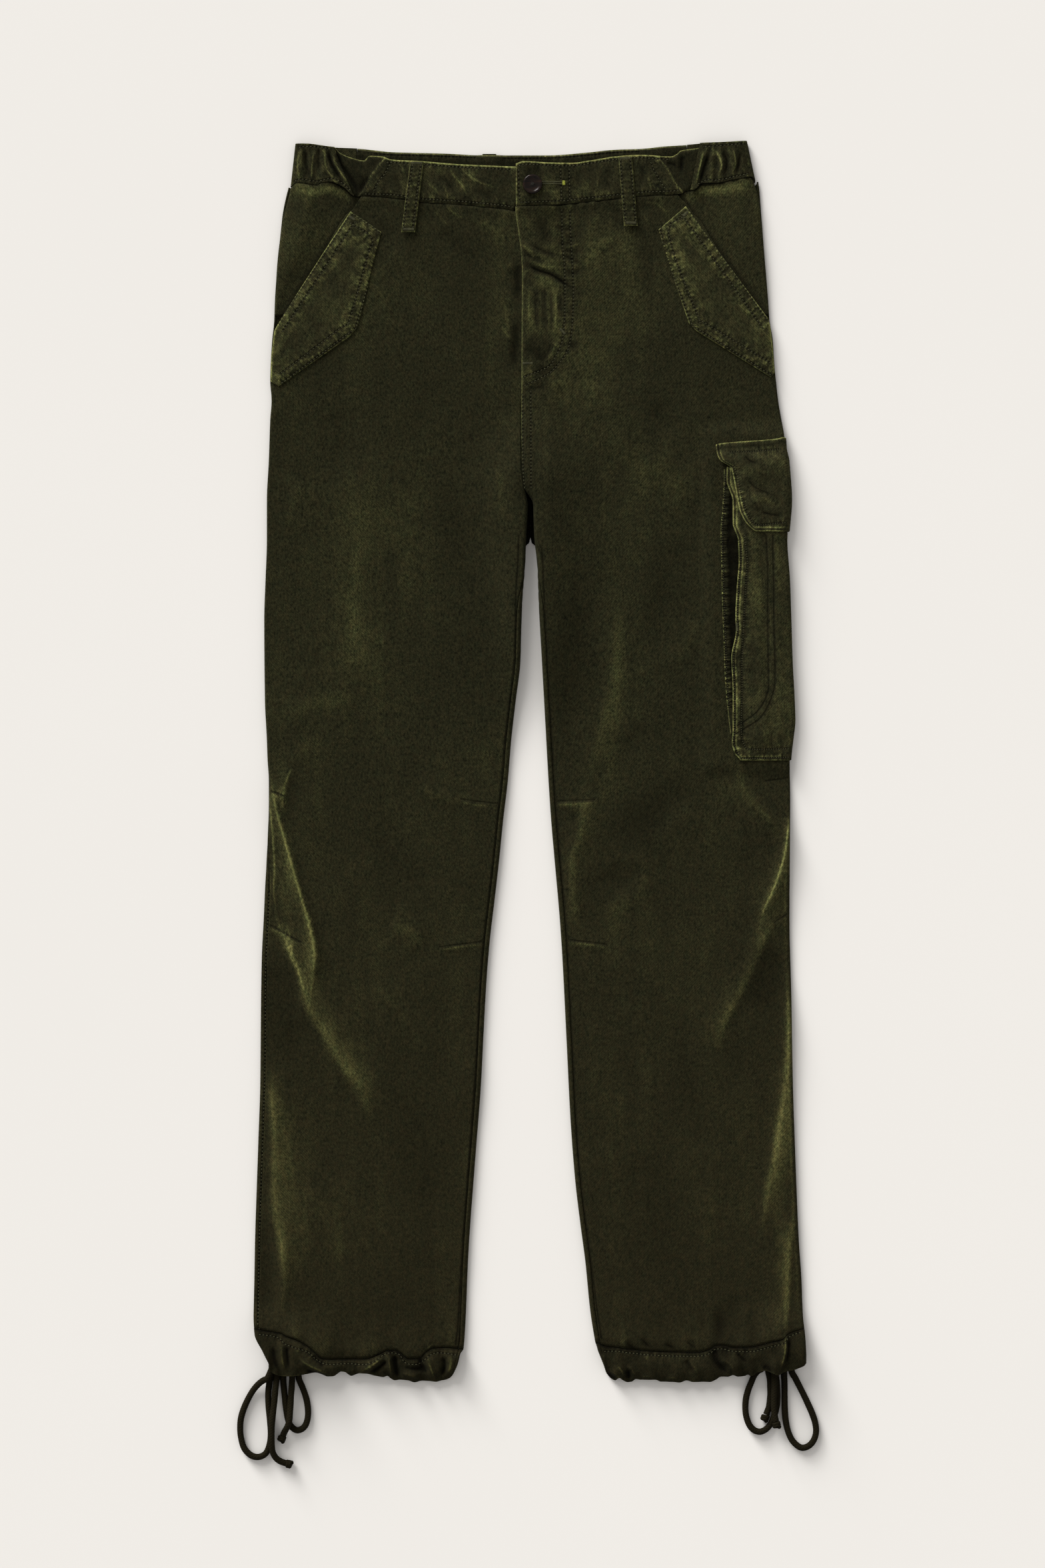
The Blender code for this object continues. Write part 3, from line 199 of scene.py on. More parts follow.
# Soft folds and hollows of the front by side: soft side of the fold, half width, height, tone, then
# x, y along its crest. The tone is rubbing and painted highlight on crests and their soft side, and
# painted shade in hollows
CREASES = {"right": (
    (0.2, 26, 1.6, 0.15, -131, 291, -12, -69, -11, -186), (0, 15, -1.2, -0.17, -171, 309, 7, -29, 5, -35),
    (0, 18, -1.4, -0.16, -84, 257, 29, -76, 21, -98, 1, -53), (0, 9, 0.8, 0.14, -29, 262, 4, -29, 3, -29),
    (0, 7, 1, 0.17, -195, 244, -12, -22, -5, -26), (0, 20, 1.6, 0.19, -148, 54, -23, -2, -26, -5, -23, -18),
    (0, 8, 1, 0.15, -190, 14, -10, -7, -13, -13), (-1, 7, 2.2, 0.41, -206, -4, -7, -17, -2, -25),
    (-1, 7, 4.2, 0.85, -225, -10, 4, -29, 7, -25, 7, -25, 15, -52, 5, -23, -2, -26, -4, -29),
    (0, 14, 1.2, 0.15, -222, -86, 5, -23, 9, -35),
    (0.85, 11, 3.2, 0.52, -228, -141, 17, -20, 11, -23, 7, -29, 17, -26, 14, -26, 17, -23, 10, -41),
    (0, 22, -1.6, -0.25, -222, -172, 5, -30, 11, -34, 18, -29),
    (0.85, 9, 2.4, 0.5, -226, -260, 4, -63, 0, -58, 4, -29, 5, -29, 3, -38),
    (0, 11, -1.4, -0.2, -233, -393, 4, -99), (0, 12, 1.6, 0.2, -123, -141, 17, -7, 19, -14),
    (0, 24, 1.2, 0.12, -197, -364, 20, -35, 24, -46), (0, 6, 2.2, 0.2, -215, -410, 1, -41, -1, -41),
    (0, 9, 1.2, 0.14, -101, -22, 23, -9, 23, -3), (0, 14, -0.9, -0.15, -136, -51, 23, -40, 32, -35),
    (0, 12, 0.9, 0.1, -136, -190, 29, -35, 23, -46), (0, 16, -0.9, -0.12, -113, -277, 18, -58, 11, -75),
    (0, 14, 1, 0.11, -168, 471, 32, -52, 23, -58), (0, 7, -1.1, -0.23, -79, 467, 24, -24, 13, -19),
    (0, 5, 0.8, 0.17, -119, 447, 11, -16, 4, -24), (0, 7, -0.9, -0.17, -153, 484, 43, -35),
    (0, 5, 0.9, 0.15, -30, 413, 10, -23, 5, -35), (0, 2.3, 0.4, 0.26, -111.5, 517.5, 2, -4, 2, -5),
    (0.5, 2.4, 0.64, 0.42, -69.5, 517.5, 1.5, -4.5, 4.5, -6, 4, -4.5, 3, -5, 3, -9),
    (0.5, 2.4, 0.64, 0.42, -58.5, 516, 5.5, -6, 7.5, -5, 8, -3.5, 10.5, -1.5),
    (0, 2.3, 0.4, 0.23, -40.5, 499.5, 6, -4, 4.5, -4.5, 5, -3.5),
    (0, 2.3, 0.4, 0.29, -89.5, 506, 5.5, -6.5, 4, -4, 3.5, -7),
    (0, 2.3, 0.4, 0.29, -75.5, 503, 2.5, -6, 2.5, -8.5), (0, 2.3, 0.32, 0.21, -124.5, 503, 3, -5.5, 3, -7),
    (0, 2.9, -0.5, -0.4, -81, 510.5, 10, -7.5, 7, -9.5),
    (0, 3.5, -0.4, -0.35, -52, 497.5, 14.5, -4, 11.5, -3.5),
    (0, 2.3, -0.4, -0.35, -117, 510.5, 4, -10.5, 2, -6.5),
    (0, 2.1, -1.4, -0.6, -193.5, 534, -1, -10.5, 3, -13, 3.5, -8),
    (0, 2.1, -1.2, -0.55, -183, 534, -0.5, -10.5, 1.5, -10.5),
    (0, 2, -1.9, -1, -175, 534, 2.5, -13.5, 7, -11.5, 5, -10),
    (0, 2, -1.6, -0.9, -167.5, 531.5, 3, -11, 7, -10, 6, -10.5, 2, -7.5),
    (0, 2, 1, 0.55, -201, 532, -1, -14.5, 2, -11.5), (0, 2.1, 1, 0.5, -188, 531.5, -1.5, -21, 1.5, -8),
    (0, 2.1, 1, 0.45, -178.5, 531.5, 1.5, -14, 4.5, -8.5, 5.5, -6),
    (0, 2.1, 1, 0.5, -170, 528, 1, -9, 7.5, -10.5, 6, -10),
    (0, 2.9, 0.7, 0.3, -150.5, 517.5, 6.5, -7, 1, -7.5),
    (0, 2.9, -0.8, -0.6, -139.5, 510.5, -4.5, -9, -4, -7.5),
    (0, 2.7, 0.42, 0.22, -73.5, 484, 5, -4.5, 6.5, -5, 9, -2),
    (0.3, 8, 0.63, 0.17, -71, 482, 10, -6, 13, -6, 14, -5, 19, -12),
    (0, 2.7, 0.35, 0.17, -86.5, 482.5, 5.5, -5.5, 7.5, -8, 9.5, -8),
    (0, 2.7, 0.35, 0.24, -126, 484, 3, -8, 2.5, -7), (0, 2.7, 0.35, 0.19, -24.5, 377.5, 7.5, -8.5, 5.5, -5),
    (0, 4.1, -0.9, -0.7, -11, 434, 1, -21, -1, -14),
    (0, 4.1, -1.1, -0.8, -11, 385, -1, -15, -1, -15, 1, -17),
    (0, 2.7, 0.28, 0.15, -19, 433.5, 5, -5, 4.5, -1),
    (0, 2.3, -1.8, -0.88, -222.5, -508, 1, -9.5, 2.5, -10),
    (0, 2.6, 1.4, 0.39, -215.5, -504.5, 1, -13.5, 3, -12),
    (0, 2.3, -1.8, -0.8, -211, -506.5, 1, -11, 1.5, -11),
    (0, 2.9, 2.2, 0.5, -200, -518, 10.5, -6.5, 16.5, -8),
    (0, 2.3, -2, -0.96, -195, -527.5, 10.5, -4, 9, -3.5),
    (0, 2.3, -1.2, -0.64, -188, -515, 4.5, -6.5, 7, -5),
    (0, 2.9, 2, 0.5, -128, -517, -8, -7, -8.5, -5, -6.5, -4.5),
    (0, 2.3, -1.8, -0.88, -123, -520.5, -9.5, -7, -8, -4.5),
    (0, 2.6, 2, 0.5, -122, -516, 0.5, -9, 1.5, -10.5),
    (0, 2.6, -2.4, -1.04, -117.5, -516, 1, -10.5, 2, -10.5),
    (0, 2.9, 1.4, 0.39, -111.5, -531, 9, -3, 9.5, -0.5),
    (0, 2.3, -1.2, -0.64, -109.5, -526.5, 10.5, -2, 9.5, 1),
    (0, 2.9, 1.6, 0.44, -89.5, -517, 3.5, -9.5, 3.5, -10.5),
    (0, 2.6, -1.8, -0.8, -95.5, -518, 3.5, -8.5, 3.5, -7),
    (0, 2.9, 1.4, 0.39, -68.5, -515, 0, -10, -5, -9.5),
    (0, 2.6, -1.8, -0.8, -74.5, -517, 1, -9.5, -4.5, -9), (0, 2.9, 1, 0.33, -91, -513.5, 6, 6.5, 4, 5.5),
    (0, 4.3, 0.7, 0.22, -136, -515, 9, 6, 10, 3), (0, 2.6, 0.8, 0.33, -166, -528.5, 8, -2.5, 7, 4.5),
    (0, 2.3, 0.8, 0.7, -215, -152, 7, -13.5, 6, -14, 5, -16.5, 4, -14),
    (0, 2.3, 0.9, 0.7, -198.5, -117.5, 5, -15.5, 4, -16.5, 2, -14.5, -0.5, -14.5, -2, -14.5),
    (0, 2.3, 0.6, 0.5, -226.5, -30.5, 3, -32, 1.5, -29, -0.5, -23, 3, -23.5),
    (0, 2.3, 0.5, 0.45, -212.5, -140.5, 3.5, -9, 1.5, -11.5, 1.5, -17.5),
    (0, 2.3, 0.5, 0.4, -221.5, -133, 4.5, -11.5, 7, -16.5, 4.5, -17.5),
    (0, 2.9, 0.5, 0.45, -213.5, -22, -1.5, -11.5, 2, -14.5), (0, 2.6, 0.7, 0.32, -226.5, -27.5, 14, -6),
    (0, 2.6, 0.7, 0.32, -226.5, -144.5, 15, -8.5, 13, -8),
    (0, 2.6, 0.7, 0.32, -62, -35, 19, -3, 20.5, -2.5), (0, 2.6, 0.7, 0.32, -81, -164.5, 21.5, 3.5, 22, 2),
), "left": (
    (0, 20, 1.2, 0.08, 64, 338, 10, -47, 10, -37), (0, 24, 1.2, 0.09, 90, 262, 29, -14, 36, -27),
    (0.7, 13, 1.7, 0.22, 79, 141, -3, -58, -3, -24, -9, -26, -10, -43, -4, -26),
    (0.8, 9, 2.2, 0.34, 50, -30, -7, -38, -6, -18, 1, -28, 4, -41), (0, 16, -1.4, -0.2, 48, 146, -8, -124),
    (0, 13, -1.5, -0.23, 132, 202, -15, -61, -16, -61), (0, 10, 1.1, 0.16, 149, 126, -11, -23, -14, -23),
    (0, 9, -1.1, -0.17, 103, 33, -20, -27), (0, 11, -1, -0.15, 110, 312, 16, -29),
    (-0.5, 9, 2.2, 0.28, 180, -2, 9, -26, 17, -20, 14, -25),
    (1, 7, 4.6, 0.75, 227, -42, -5, -38, -9, -29, -9, -20, -4, -17),
    (-0.4, 9, 2.8, 0.42, 222, -130, -16, -19, -11, -29, -27, -52, -9, -32),
    (0, 20, -1.6, -0.25, 215, -161, -17, -69),
    (0.9, 8, 3, 0.6, 226, -172, 0, -64, -4, -52, -7, -47, -8, -41, -5, -34, -7, -26),
    (-0.9, 6, 1.8, 0.6, 231, -390, -5, -38, -2, -46, -2, -54),
    (0, 16, -1.5, -0.21, 144, -15, -31, -27, -46, -29), (0, 14, 1.6, 0.2, 144, -33, -25, -29, -14, -25),
    (0, 9, 1.3, 0.19, 63, -91, 16, 8, 22, -8, -5, -23, -17, -15, -18, -16),
    (0, 18, -1, -0.2, 64, -94, 9, -12, 11, -10), (0, 20, -1.2, -0.21, 164, -471, 29, -44),
    (0, 20, 1.1, 0.11, 79, -196, 17, -46, 14, -70), (0, 16, -0.9, -0.12, 125, -207, 12, -70, 17, -81),
    (0, 18, 1, 0.11, 64, -323, 15, -53, 20, -63), (0, 12, 0.8, 0.12, 160, -323, -5, -53, 8, -46),
    (0, 9, 1, 0.15, 28, -35, 16, -4, 20, 3), (0, 8, 1, 0.25, 44, 430, 16, 17, 20, 14),
    (0, 5, 0.8, 0.17, 96, 482, 9, -20, 3, -23), (0, 5, 0.8, 0.15, 61, 478, -8, -16, -3, -15),
    (0, 9, -0.8, -0.15, 110, 471, -5, -40, 14, -47),
    (0, 2.9, -0.5, -0.4, 45.5, 517.5, -3, -10.5, 1.5, -9.5),
    (0, 3.5, -0.6, -0.45, 70, 517.5, -2, -11.5, 2, -11.5),
    (0, 2.9, -0.5, -0.4, 96, 520.5, 2.5, -10, -3.5, -10.5),
    (0, 2.4, 0.32, 0.21, 57, 516.5, 3, -9.5, -3, -11.5),
    (0, 2.4, 0.32, 0.18, 3, 493.5, 15.5, 3.5, 5.5, -3.5),
    (0, 3.5, -0.3, -0.4, -6.5, 510.5, 9.5, 3.5, 10.5, -1),
    (0, 2.4, 0.32, 0.21, 102, 510.5, 2.5, -5.5, 5.5, -7),
    (0, 2.3, -1, -0.6, 133, 528, -0.5, -7.5, -1, -8.5), (0, 2, -0.8, -0.5, 119, 521, 6, -1, 4.5, -2.5),
    (0, 2.4, 0.48, 0.21, 136.5, 497, 4.5, 1, 4.5, -3.5), (0, 2.1, 1.2, 0.65, 151.5, 531.5, -7, -30.5),
    (0, 2.1, -1.9, -1, 155.5, 529, -6, -20.5, -2, -10.5),
    (0, 2.1, 1.1, 0.55, 161, 534, 4.5, -9.5, 1.5, -7, -3.5, -9),
    (0, 2.1, -1.3, -0.65, 168.5, 531.5, 3.5, -11, -3.5, -11.5),
    (0, 2.1, 1.1, 0.55, 177, 534, 2.5, -13.5, -3.5, -10),
    (0, 2.1, -1.3, -0.65, 184, 531.5, -2, -11, -2.5, -10), (0, 2, 0.8, 0.4, 189, 532, 2, -14.5),
    (0, 11.1, 0.28, 0.13, -5, 477, 4, -7, 2, -8), (0, 4.6, -0.9, -0.6, 7, 474, 4, -9, 3, -8, 2, -10),
    (0, 2.7, 0.49, 0.3, -6.5, 451, 4, -5.5, 5.5, -6, 4, -7),
    (0, 2.2, -1.3, -1.1, -4, 433.5, 7, -4, 7.5, -3, 7, -2, 6.5, -3.5, 6, -4.5, 7, -4.5, 4.5, -2),
    (0, 3.2, 0.63, 0.24, -5.5, 440, 7, -4, 6.5, -4, 8, -2, 8, 3, 6, 3),
    (0, 2.7, 0.42, 0.22, -6.5, 422.5, 4.5, 4.5, 6, 1.5),
    (0, 2.1, -0.6, -0.55, 0.5, 450, 8.5, -4.5, 16, -6.5), (0, 2.1, -0.6, -0.55, 30, 440, 8, -3.5, 7.5, -4),
    (0, 2.1, -0.5, -0.5, 24, 465, 8, -2, 7, 2.5), (0, 2.1, -0.5, -0.5, 25, 452.5, 7, -2, 7, 3.5),
    (0, 3.5, -0.5, -0.4, 10.5, 416, 0, -20, 1.5, -23.5),
    (0, 3.2, 0.28, 0.17, 2.5, 401.5, 0, -14.5, 0.5, -14.5),
    (0, 3.2, 0.28, 0.17, 16.5, 390, 1, -11.5, 2, -8.5), (0, 2.3, -0.6, -0.55, 27.5, 407.5, -1, -17.5),
    (0, 7.5, -0.6, -0.5, -3, 364, 21, -6), (0, 2.7, 0.35, 0.26, 6.5, 365.5, 9, -10.5, 0.5, -5.5),
    (0, 4.6, -0.5, -0.55, 12, 346, -2, -6, 2, -6), (0, 3.5, -0.7, -0.55, 37, 365.5, 2.5, -7.5),
    (0, 3.9, 0.35, 0.17, 30, 335, -6, -5.5, -7, -3.5),
    (0, 2.9, -0.5, -0.45, -2.5, 323.5, 8.5, 1.5, 10, 3.5),
    (0, 2.7, 0.35, 0.19, 95, 488.5, 9.5, -1.5, 9, -3.5, 5.5, -5.5, 3, -5.5),
    (0, 3.5, -0.4, -0.35, 75.5, 483, 2, -12, 4, -8.5), (0, 1.9, -0.4, -0.41, 6, 414.5, -0.5, -18.5, 1, -22),
    (0, 1.9, -0.4, -0.38, 13, 413, 0.5, -20, 1.5, -20.5),
    (0, 1.9, -0.32, -0.3, 18.5, 410, 0.5, -20, -0.5, -20),
    (0, 2.6, 0.48, 0.26, 0.5, 416, -1, -20, 1.5, -23.5), (0, 2, 0.4, 0.19, 9.5, 413, 0, -23, 1, -17.5),
    (0, 2.1, 0.48, 0.25, 23, 407.5, 0, -20.5, -1, -17),
    (0, 2.1, -0.56, -0.49, 31, 458.5, 6, -2.5, 5.5, 2.5),
    (0, 2.1, -0.56, -0.49, 30, 445.5, 7, -2.5, 8.5, 2),
    (0, 2.3, -0.64, -0.56, 31, 427.5, 7, -2.5, 7.5, 3.5), (0, 2, 0.48, 0.26, 30, 451.5, 7, -2.5, 7.5, 2.5),
    (0, 2, 0.48, 0.26, 32, 434, 7, -2, 9, 4), (0, 2.6, 0.56, 0.26, -6, 450.5, 5.5, -5, 5.5, -5),
    (0, 2.6, -0.64, -0.49, -5.5, 444, 8.5, -6, 10.5, -4), (0, 4.5, -0.64, -0.45, -5, 360, 19, -11),
    (0, 2.1, 0.56, 0.34, 23.5, 365.5, -3.5, -9, -7.5, -10.5),
    (0, 2.6, -0.64, -0.56, 19, 364.5, -3.5, -9.5, -6, -8.5), (0, 4.5, 0.16, 0.28, -2, 342, 0, -10),
    (0, 2.9, -2.2, -0.96, 161.5, -510, 0.5, -10.5, 6, -7, 5.5, -4.5),
    (0, 2.4, 1.6, 0.44, 165.5, -519.5, 7, -2, 4, -5, 2, -5.5),
    (0, 2.1, 2, 0.8, 222, -496, 0, -14, -2.5, -11.5, -3, -8.5),
    (0, 2.3, -1.4, -0.72, 225.5, -499.5, -1, -13, -2, -10.5),
    (0, 2.3, -1, -0.72, 180.5, -513.5, 4, -4.5, 4.5, -3.5),
    (0, 2.4, 0.8, 0.28, 191, -512.5, 2, -4.5, 1.5, -3.5), (0, 2.9, -1.2, -0.64, 202, -527.5, 4, 2.5, 4, -5),
    (0, 2.4, 1.4, 0.44, 64, -513.5, 1, -10, 2.5, -7.5),
    (0, 2.9, -1.8, -0.88, 68.5, -532, 4.5, -3.5, 3.5, -2.5),
    (0, 2.4, 1, 0.39, 69.5, -530, 5.5, -2.5, 4, -5), (0, 2.4, 1, 0.39, 76.5, -525, 4, -5, 1.5, -5.5),
    (0, 2.4, 1.2, 0.44, 85.5, -525, 4.5, -5, 4, -5.5),
    (0, 2.6, -1.4, -0.72, 85, -528.5, 1.5, -5, -0.5, -4.5),
    (0, 2.9, -1, -0.56, 135.5, -519.5, 4.5, -7, 3.5, -5.5),
    (0, 2.4, 0.9, 0.33, 139, -520.5, 4.5, -6, 3.5, -7), (0, 2.4, 0.8, 0.33, 97, -535.5, 7, 1, 6, -2.5),
    (0, 2.4, 0.8, 0.33, 119, -538, 5, 2.5, 4.5, -1.5),
    (0, 2.9, -0.9, -0.64, 83, -505.5, 6, -3.5, 4.5, -3.5),
    (0, 2.9, -0.9, -0.64, 97, -502, 5, -5, 4.5, -4.5), (0, 2.9, -0.9, -0.64, 118, -506.5, 6, -3, 4.5, -3),
    (0, 2.9, -0.9, -0.64, 135.5, -503, 5.5, -5, 5.5, -3.5), (0, 5.2, -0.9, -0.36, 167, -480, -4, -27),
    (0, 3.6, 0.7, 0.25, 158.5, -474, -1, -30.5), (0, 2.9, -0.5, -0.9, 186, 267.5, 5, -6, 8, -3),
    (0, 3.2, 0.6, 0.43, 193, 255.5, 10.5, -4, 7.5, 1), (0, 2.9, -0.6, -0.9, 187.5, 247.5, 9.5, -10, 20, -8),
    (0, 3.2, 0.6, 0.43, 199, 231.5, 10, -6, 8, -4), (0, 2.9, -0.6, -0.9, 201, 217, 10, -2.5, 8, -1),
    (0, 3.2, 0.6, 0.38, 189, 243.5, 5, -10, 5, -11), (0, 2.9, -0.6, -0.5, 194, 225.5, 7, -10),
    (0, 5.7, 0.4, 0.32, 198, 170, 2, -29, -2, -29), (0, 4.6, -0.4, -0.3, 193, 106, 3, -29, -4, -29),
    (0, 2.6, 0.7, 0.32, 21, -37.5, 18, 0.5, 20, 1.5), (0, 2.6, 0.7, 0.32, 31, -157.5, 18.5, -1.5, 20, -3),
)}
# Broad rubbed places and broad painted light and shade of the front: x, y, half width, half length,
# lean in degrees, tone
PATCHES = {"right": (
    (-136, -474.1, 69.6, 34.8, 0, -0.08), (-31.6, 384.2, 17.4, 92.8, 0, 0.08),
    (-144.7, 256.6, 34.8, 191.4, 4, 0.06), (-188.2, 42, 40.6, 34.8, 0, 0.06),
    (-112.8, -149.3, 34.8, 23.2, -30, 0.03), (-214.3, -111.6, 15.1, 52.2, -12, 0.05),
    (-214.3, -195.8, 15.1, 52.2, -14, -0.14), (-233.4, -445.1, 7, 52.2, 0, -0.18),
    (-173.7, -404.5, 29, 46.4, -25, 0.06), (-89.6, -323.3, 34.8, 150.8, 3, -0.07),
    (-54.8, 82.6, 26.1, 92.8, -12, -0.08), (-188.2, 337.8, 29, 69.6, 0, -0.06),
    (-170.8, -39.1, 34.8, 34.8, 0, -0.06), (-60.6, 303, 26.1, 92.8, 0, -0.05),
), "left": (
    (78.6, 407.4, 45.2, 66.7, 0, 0.2), (13.6, 401.6, 18.6, 69.6, 0, 0.28),
    (119.2, -427.7, 69.6, 104.4, 0, -0.1), (119.2, 242.1, 43.5, 23.2, -28, 0.08),
    (61.2, 303, 29, 116, 0, 0.05), (73.9, 94.2, 13.9, 81.2, 4, 0.05),
    (207.3, -195.8, 17.4, 52.2, 18, -0.16), (214.9, -265.3, 8.1, 69.6, 6, 0.07),
    (178.3, -494.4, 20.9, 26.7, -40, -0.16), (98.9, -62.3, 40.6, 23.2, 35, -0.3),
    (171.4, -294.3, 23.2, 104.4, 0, 0.04), (96, -358.1, 34.8, 139.2, 0, -0.06),
    (130.8, 76.8, 34.8, 58, 0, -0.04), (119.2, 337.8, 34.8, 40.6, 0, -0.06),
)}
# Rows of stitching: piece and thread group, then x, y along each row
ROWS = (
    ("waistband_front_right", "waist",
     (-125, 521.4, 26.7, -1.4, 37.1, -2.9, 47, -2.1),
     (-144.1, 493.9, 24.3, -0.6, 24.4, -3.5, 26.7, -1.7, 22.6, -1.8, 22, -2.3, 11.1, -1.7),
     (-119.8, 522.9, -6.3, -11.6, -4.7, -5.8, -5.2, -9.9)),
    ("waistband_front_left", "waist",
     (-10.1, 517.6, 6.3, 1.8, 25, -1.2, 14.5, 0, 17.9, 2.3, 22.7, 3.5, 19.7, 1.2, 25.5, -1.2),
     (-8.4, 486.3, 32.5, 1.2, 22.6, 2.3, 46.4, 5.2, 27.2, 1.2, 10.5, 1.1),
     (105.3, 522.3, 2.9, -7.5, 6.9, -11.7, 3.5, -5.2), (-9.6, 515.9, 0.3, -12.8, 0.9, -15),
     (27, 516.5, 0.5, -13.4, 0.3, -15), (34.5, 516.5, 0.6, -28.4)),
    ("waistband_side_right", "waist",
     (-201.5, 533.9, 6.3, 1.1, 12.8, -0.5, 9.9, -1.8),
     (-205, 504.9, 6.4, 1.7, 13.9, -1.7, 11.6, 2.3, 8.7, -2.9, 9.3, -8.1)),
    ("waistband_side_left", "waist",
     (151.7, 535, 13.3, 0.6, 12.2, 1.2, 10.4, 0.6), (145.9, 502, 8.1, 4, 10.4, 0, 26.7, 5.8)),
    ("waistband_back", "waist",
     (-136, 529.2, 18, -1.1, 45.8, -1.2, 27.8, -1.1),
     (-24.6, 525.2, 41.7, 0.3, 29.6, 2, 29.6, 2.9, 19.7, 0.6)),
    ("belt_loop_right", "waist",
     (-101.5, 520, -4.3, -25.6, -4.1, -31.3), (-94.2, 520, -3.5, -25.6, -3.8, -31.3)),
    ("belt_loop_left", "waist",
     (79.2, 524.6, 2, -30.2, 2.6, -25.5), (87.6, 524.6, 4.9, -55.7)),
    ("front_left", "fly",
     (28.1, 481.1, 0.6, -28.4, 2.3, -33.1, -1.7, -49.3, -8.1, -20.3, -5.8, -6.9, -20.9, -8.7),
     (35.1, 481.1, 1.1, -28.4, 1.8, -33.1, 0, -26.1, -1.8, -23.2, -4, -14.5, -7.6, -10.4, -9.2, -8.7, -20.3,
      -9.9),
     (-5.8, 320.4, 0.2, -63.8, 1.3, -20.3), (1.2, 323.3, 0.2, -87)),
    ("pocket_patch_right", "pocket",
     (-154, 476.5, 25.5, -17.7, -3.4, -10.8, -18.6, -68.4, -7.5, -7.5, -58.6, -43.5),
     (-156.9, 468.9, 19.7, -13.3, -4, -16.8, -15.7, -55.7, -6.4, -5.2, -49.8, -37.7, -5.3, -2.4),
     (-156.3, 475.3, -65.5, -98.6), (-151.1, 470.7, -64.4, -97.5)),
    ("pocket_patch_left", "pocket",
     (134.3, 482.8, -20.3, -20.8, 26.6, -79.5, 5.3, -5.8, 64.9, -40.6),
     (136.6, 475.9, -15.7, -17.4, 26.1, -71.9, 5.2, -4.7, 58.6, -35.9), (137.2, 481.7, 73.6, -102.7),
     (131.9, 477, 73.1, -102.6)),
    ("front_right", "plain",
     (-9, 198.6, -1.1, -29, -1.8, -29, -1.1, -52.2, -8.2, -69.6, -2.9, -34.7, -4, -34.9, -3.5, -34.7, -8.1,
      -69.6, -2.9, -34.8, -4.7, -87, -10.4, -139.2, -4.1, -69.6, -2.3, -23.2),
     (-225.9, -25.2, 13.9, -5.2), (-226.5, -141.8, 29, -16.2), (-60.6, -32.8, 38.3, -4.6),
     (-79.8, -161.5, 42.4, 5.2)),
    ("front_left", "plain",
     (10.7, 187, 1.2, -17.4, 1.1, -29, 8.8, -156.5, 2.3, -34.9, 7.5, -87, 2.3, -34.7, 7, -139.3, 4, -52.1,
      4.1, -34.9, 4.6, -34.7, 4.1, -34.8, 5.2, -34.8),
     (21.2, -34.5, 36.5, 1.2), (31, -154.6, 37.1, -4.6), (204.4, -17.1, 21.5, 2.9),
     (213.1, -140.1, 11.6, 7.6)),
    ("back_right", "leg",
     (-223.9, -44.9, -0.3, -23.2, -5.2, -104.4, -0.6, -34.8, -0.5, -69.6, -4.7, -139.2, -1.1, -74.3)),
    ("hem_casing_right", "hem",
     (-235.8, -497.3, 17.4, -2.9, 7, -5.8, 18.6, -6.4, 6.9, -6.4, 9.3, -4.6, 17.4, 0, 15.7, -0.6, 8.7, 2.9,
      10.4, 6.3, 10.4, -0.5, 4.7, -6.4, 5.2, -2.3, 8.7, 0.6, 9.3, 7.5, 8.1, 1.7, 15.1, -1.7)),
    ("hem_casing_left", "hem",
     (64.1, -513, 11.6, 0, 14.5, -1.8, 20.3, -1.7, 20.3, -0.6, 17.4, 0, 8.7, 2.3, 4.6, 3.5, 7, 0.6, 8.7,
      -1.7, 14.5, 0, 8.7, 1.7, 8.7, 2.3, 11.6, 3.5, 4.6, 5.2, 11, 4.1)),
    ("cargo_gusset", "cargo",
     (170.2, 249.7, -0.8, -27.9, -1.5, -22, 1.2, -55.7, 1.1, -31.3, 1.8, -44.1, 1.7, -22)),
    ("cargo_pocket", "cargo",
     (178.3, 197.5, 5.3, -10.5, 0, -14.5, -1.2, -13.3, -1.7, -34.2, 0.5, -9.9, -4, -24.9, 1.1, -27.9, 0,
      -35.3, -1.1, -9.9, 5.8, -12.2, 8.7, -2, 34.2, 0.9),
     (186.5, 197.5, 2.9, -25, -1.2, -13.3, -3.5, -69, 0, -27.9, -0.6, -36.5, 3.5, -12.8, 7, -2.3, 31.3,
      0.6)),
    ("cargo_pocket", "plain",
     (211.4, 198.6, 0.6, -23.2, 0.6, -50.4, 1.1, -49.9, -2.9, -19.1, -9.3, -17.4, -12.1, -8.7, -10.5, -6.4),
     (205.6, 198.6, 1.7, -33, 0, -40.6, 0.6, -49.9, -0.6, -15.1, -9.2, -16.8, -18, -12.8)),
    ("cargo_flap", "cargo",
     (172.5, 268.8, 18.6, 0.6, 27.8, 2.3),
     (176.6, 258.4, 3.5, -8.7, 4, -19.2, 4.1, -13.3, 6.4, -9.3, 5.8, -2.3, 22.6, 2.3)),
)
# Belt loops: x, y of the middle of the top and of the folded lower end
LOOPS = {
    "belt_loop_right": (-98.0, 522.0, -105.6, 460.5),
    "belt_loop_left": (83.2, 526.6, 88.2, 466.0),
}
BACK_LOOP = (-35.0, 529.5, 498.0)

# Knots of the bows under the hems: x, y, width, depth, height
BOWS = {
    "bow_knot_right": (-214.0, -529.0, 25.0, 12.0, 7.0),
    "bow_knot_left": (218.0, -525.0, 26.0, 11.0, 7.0),
}

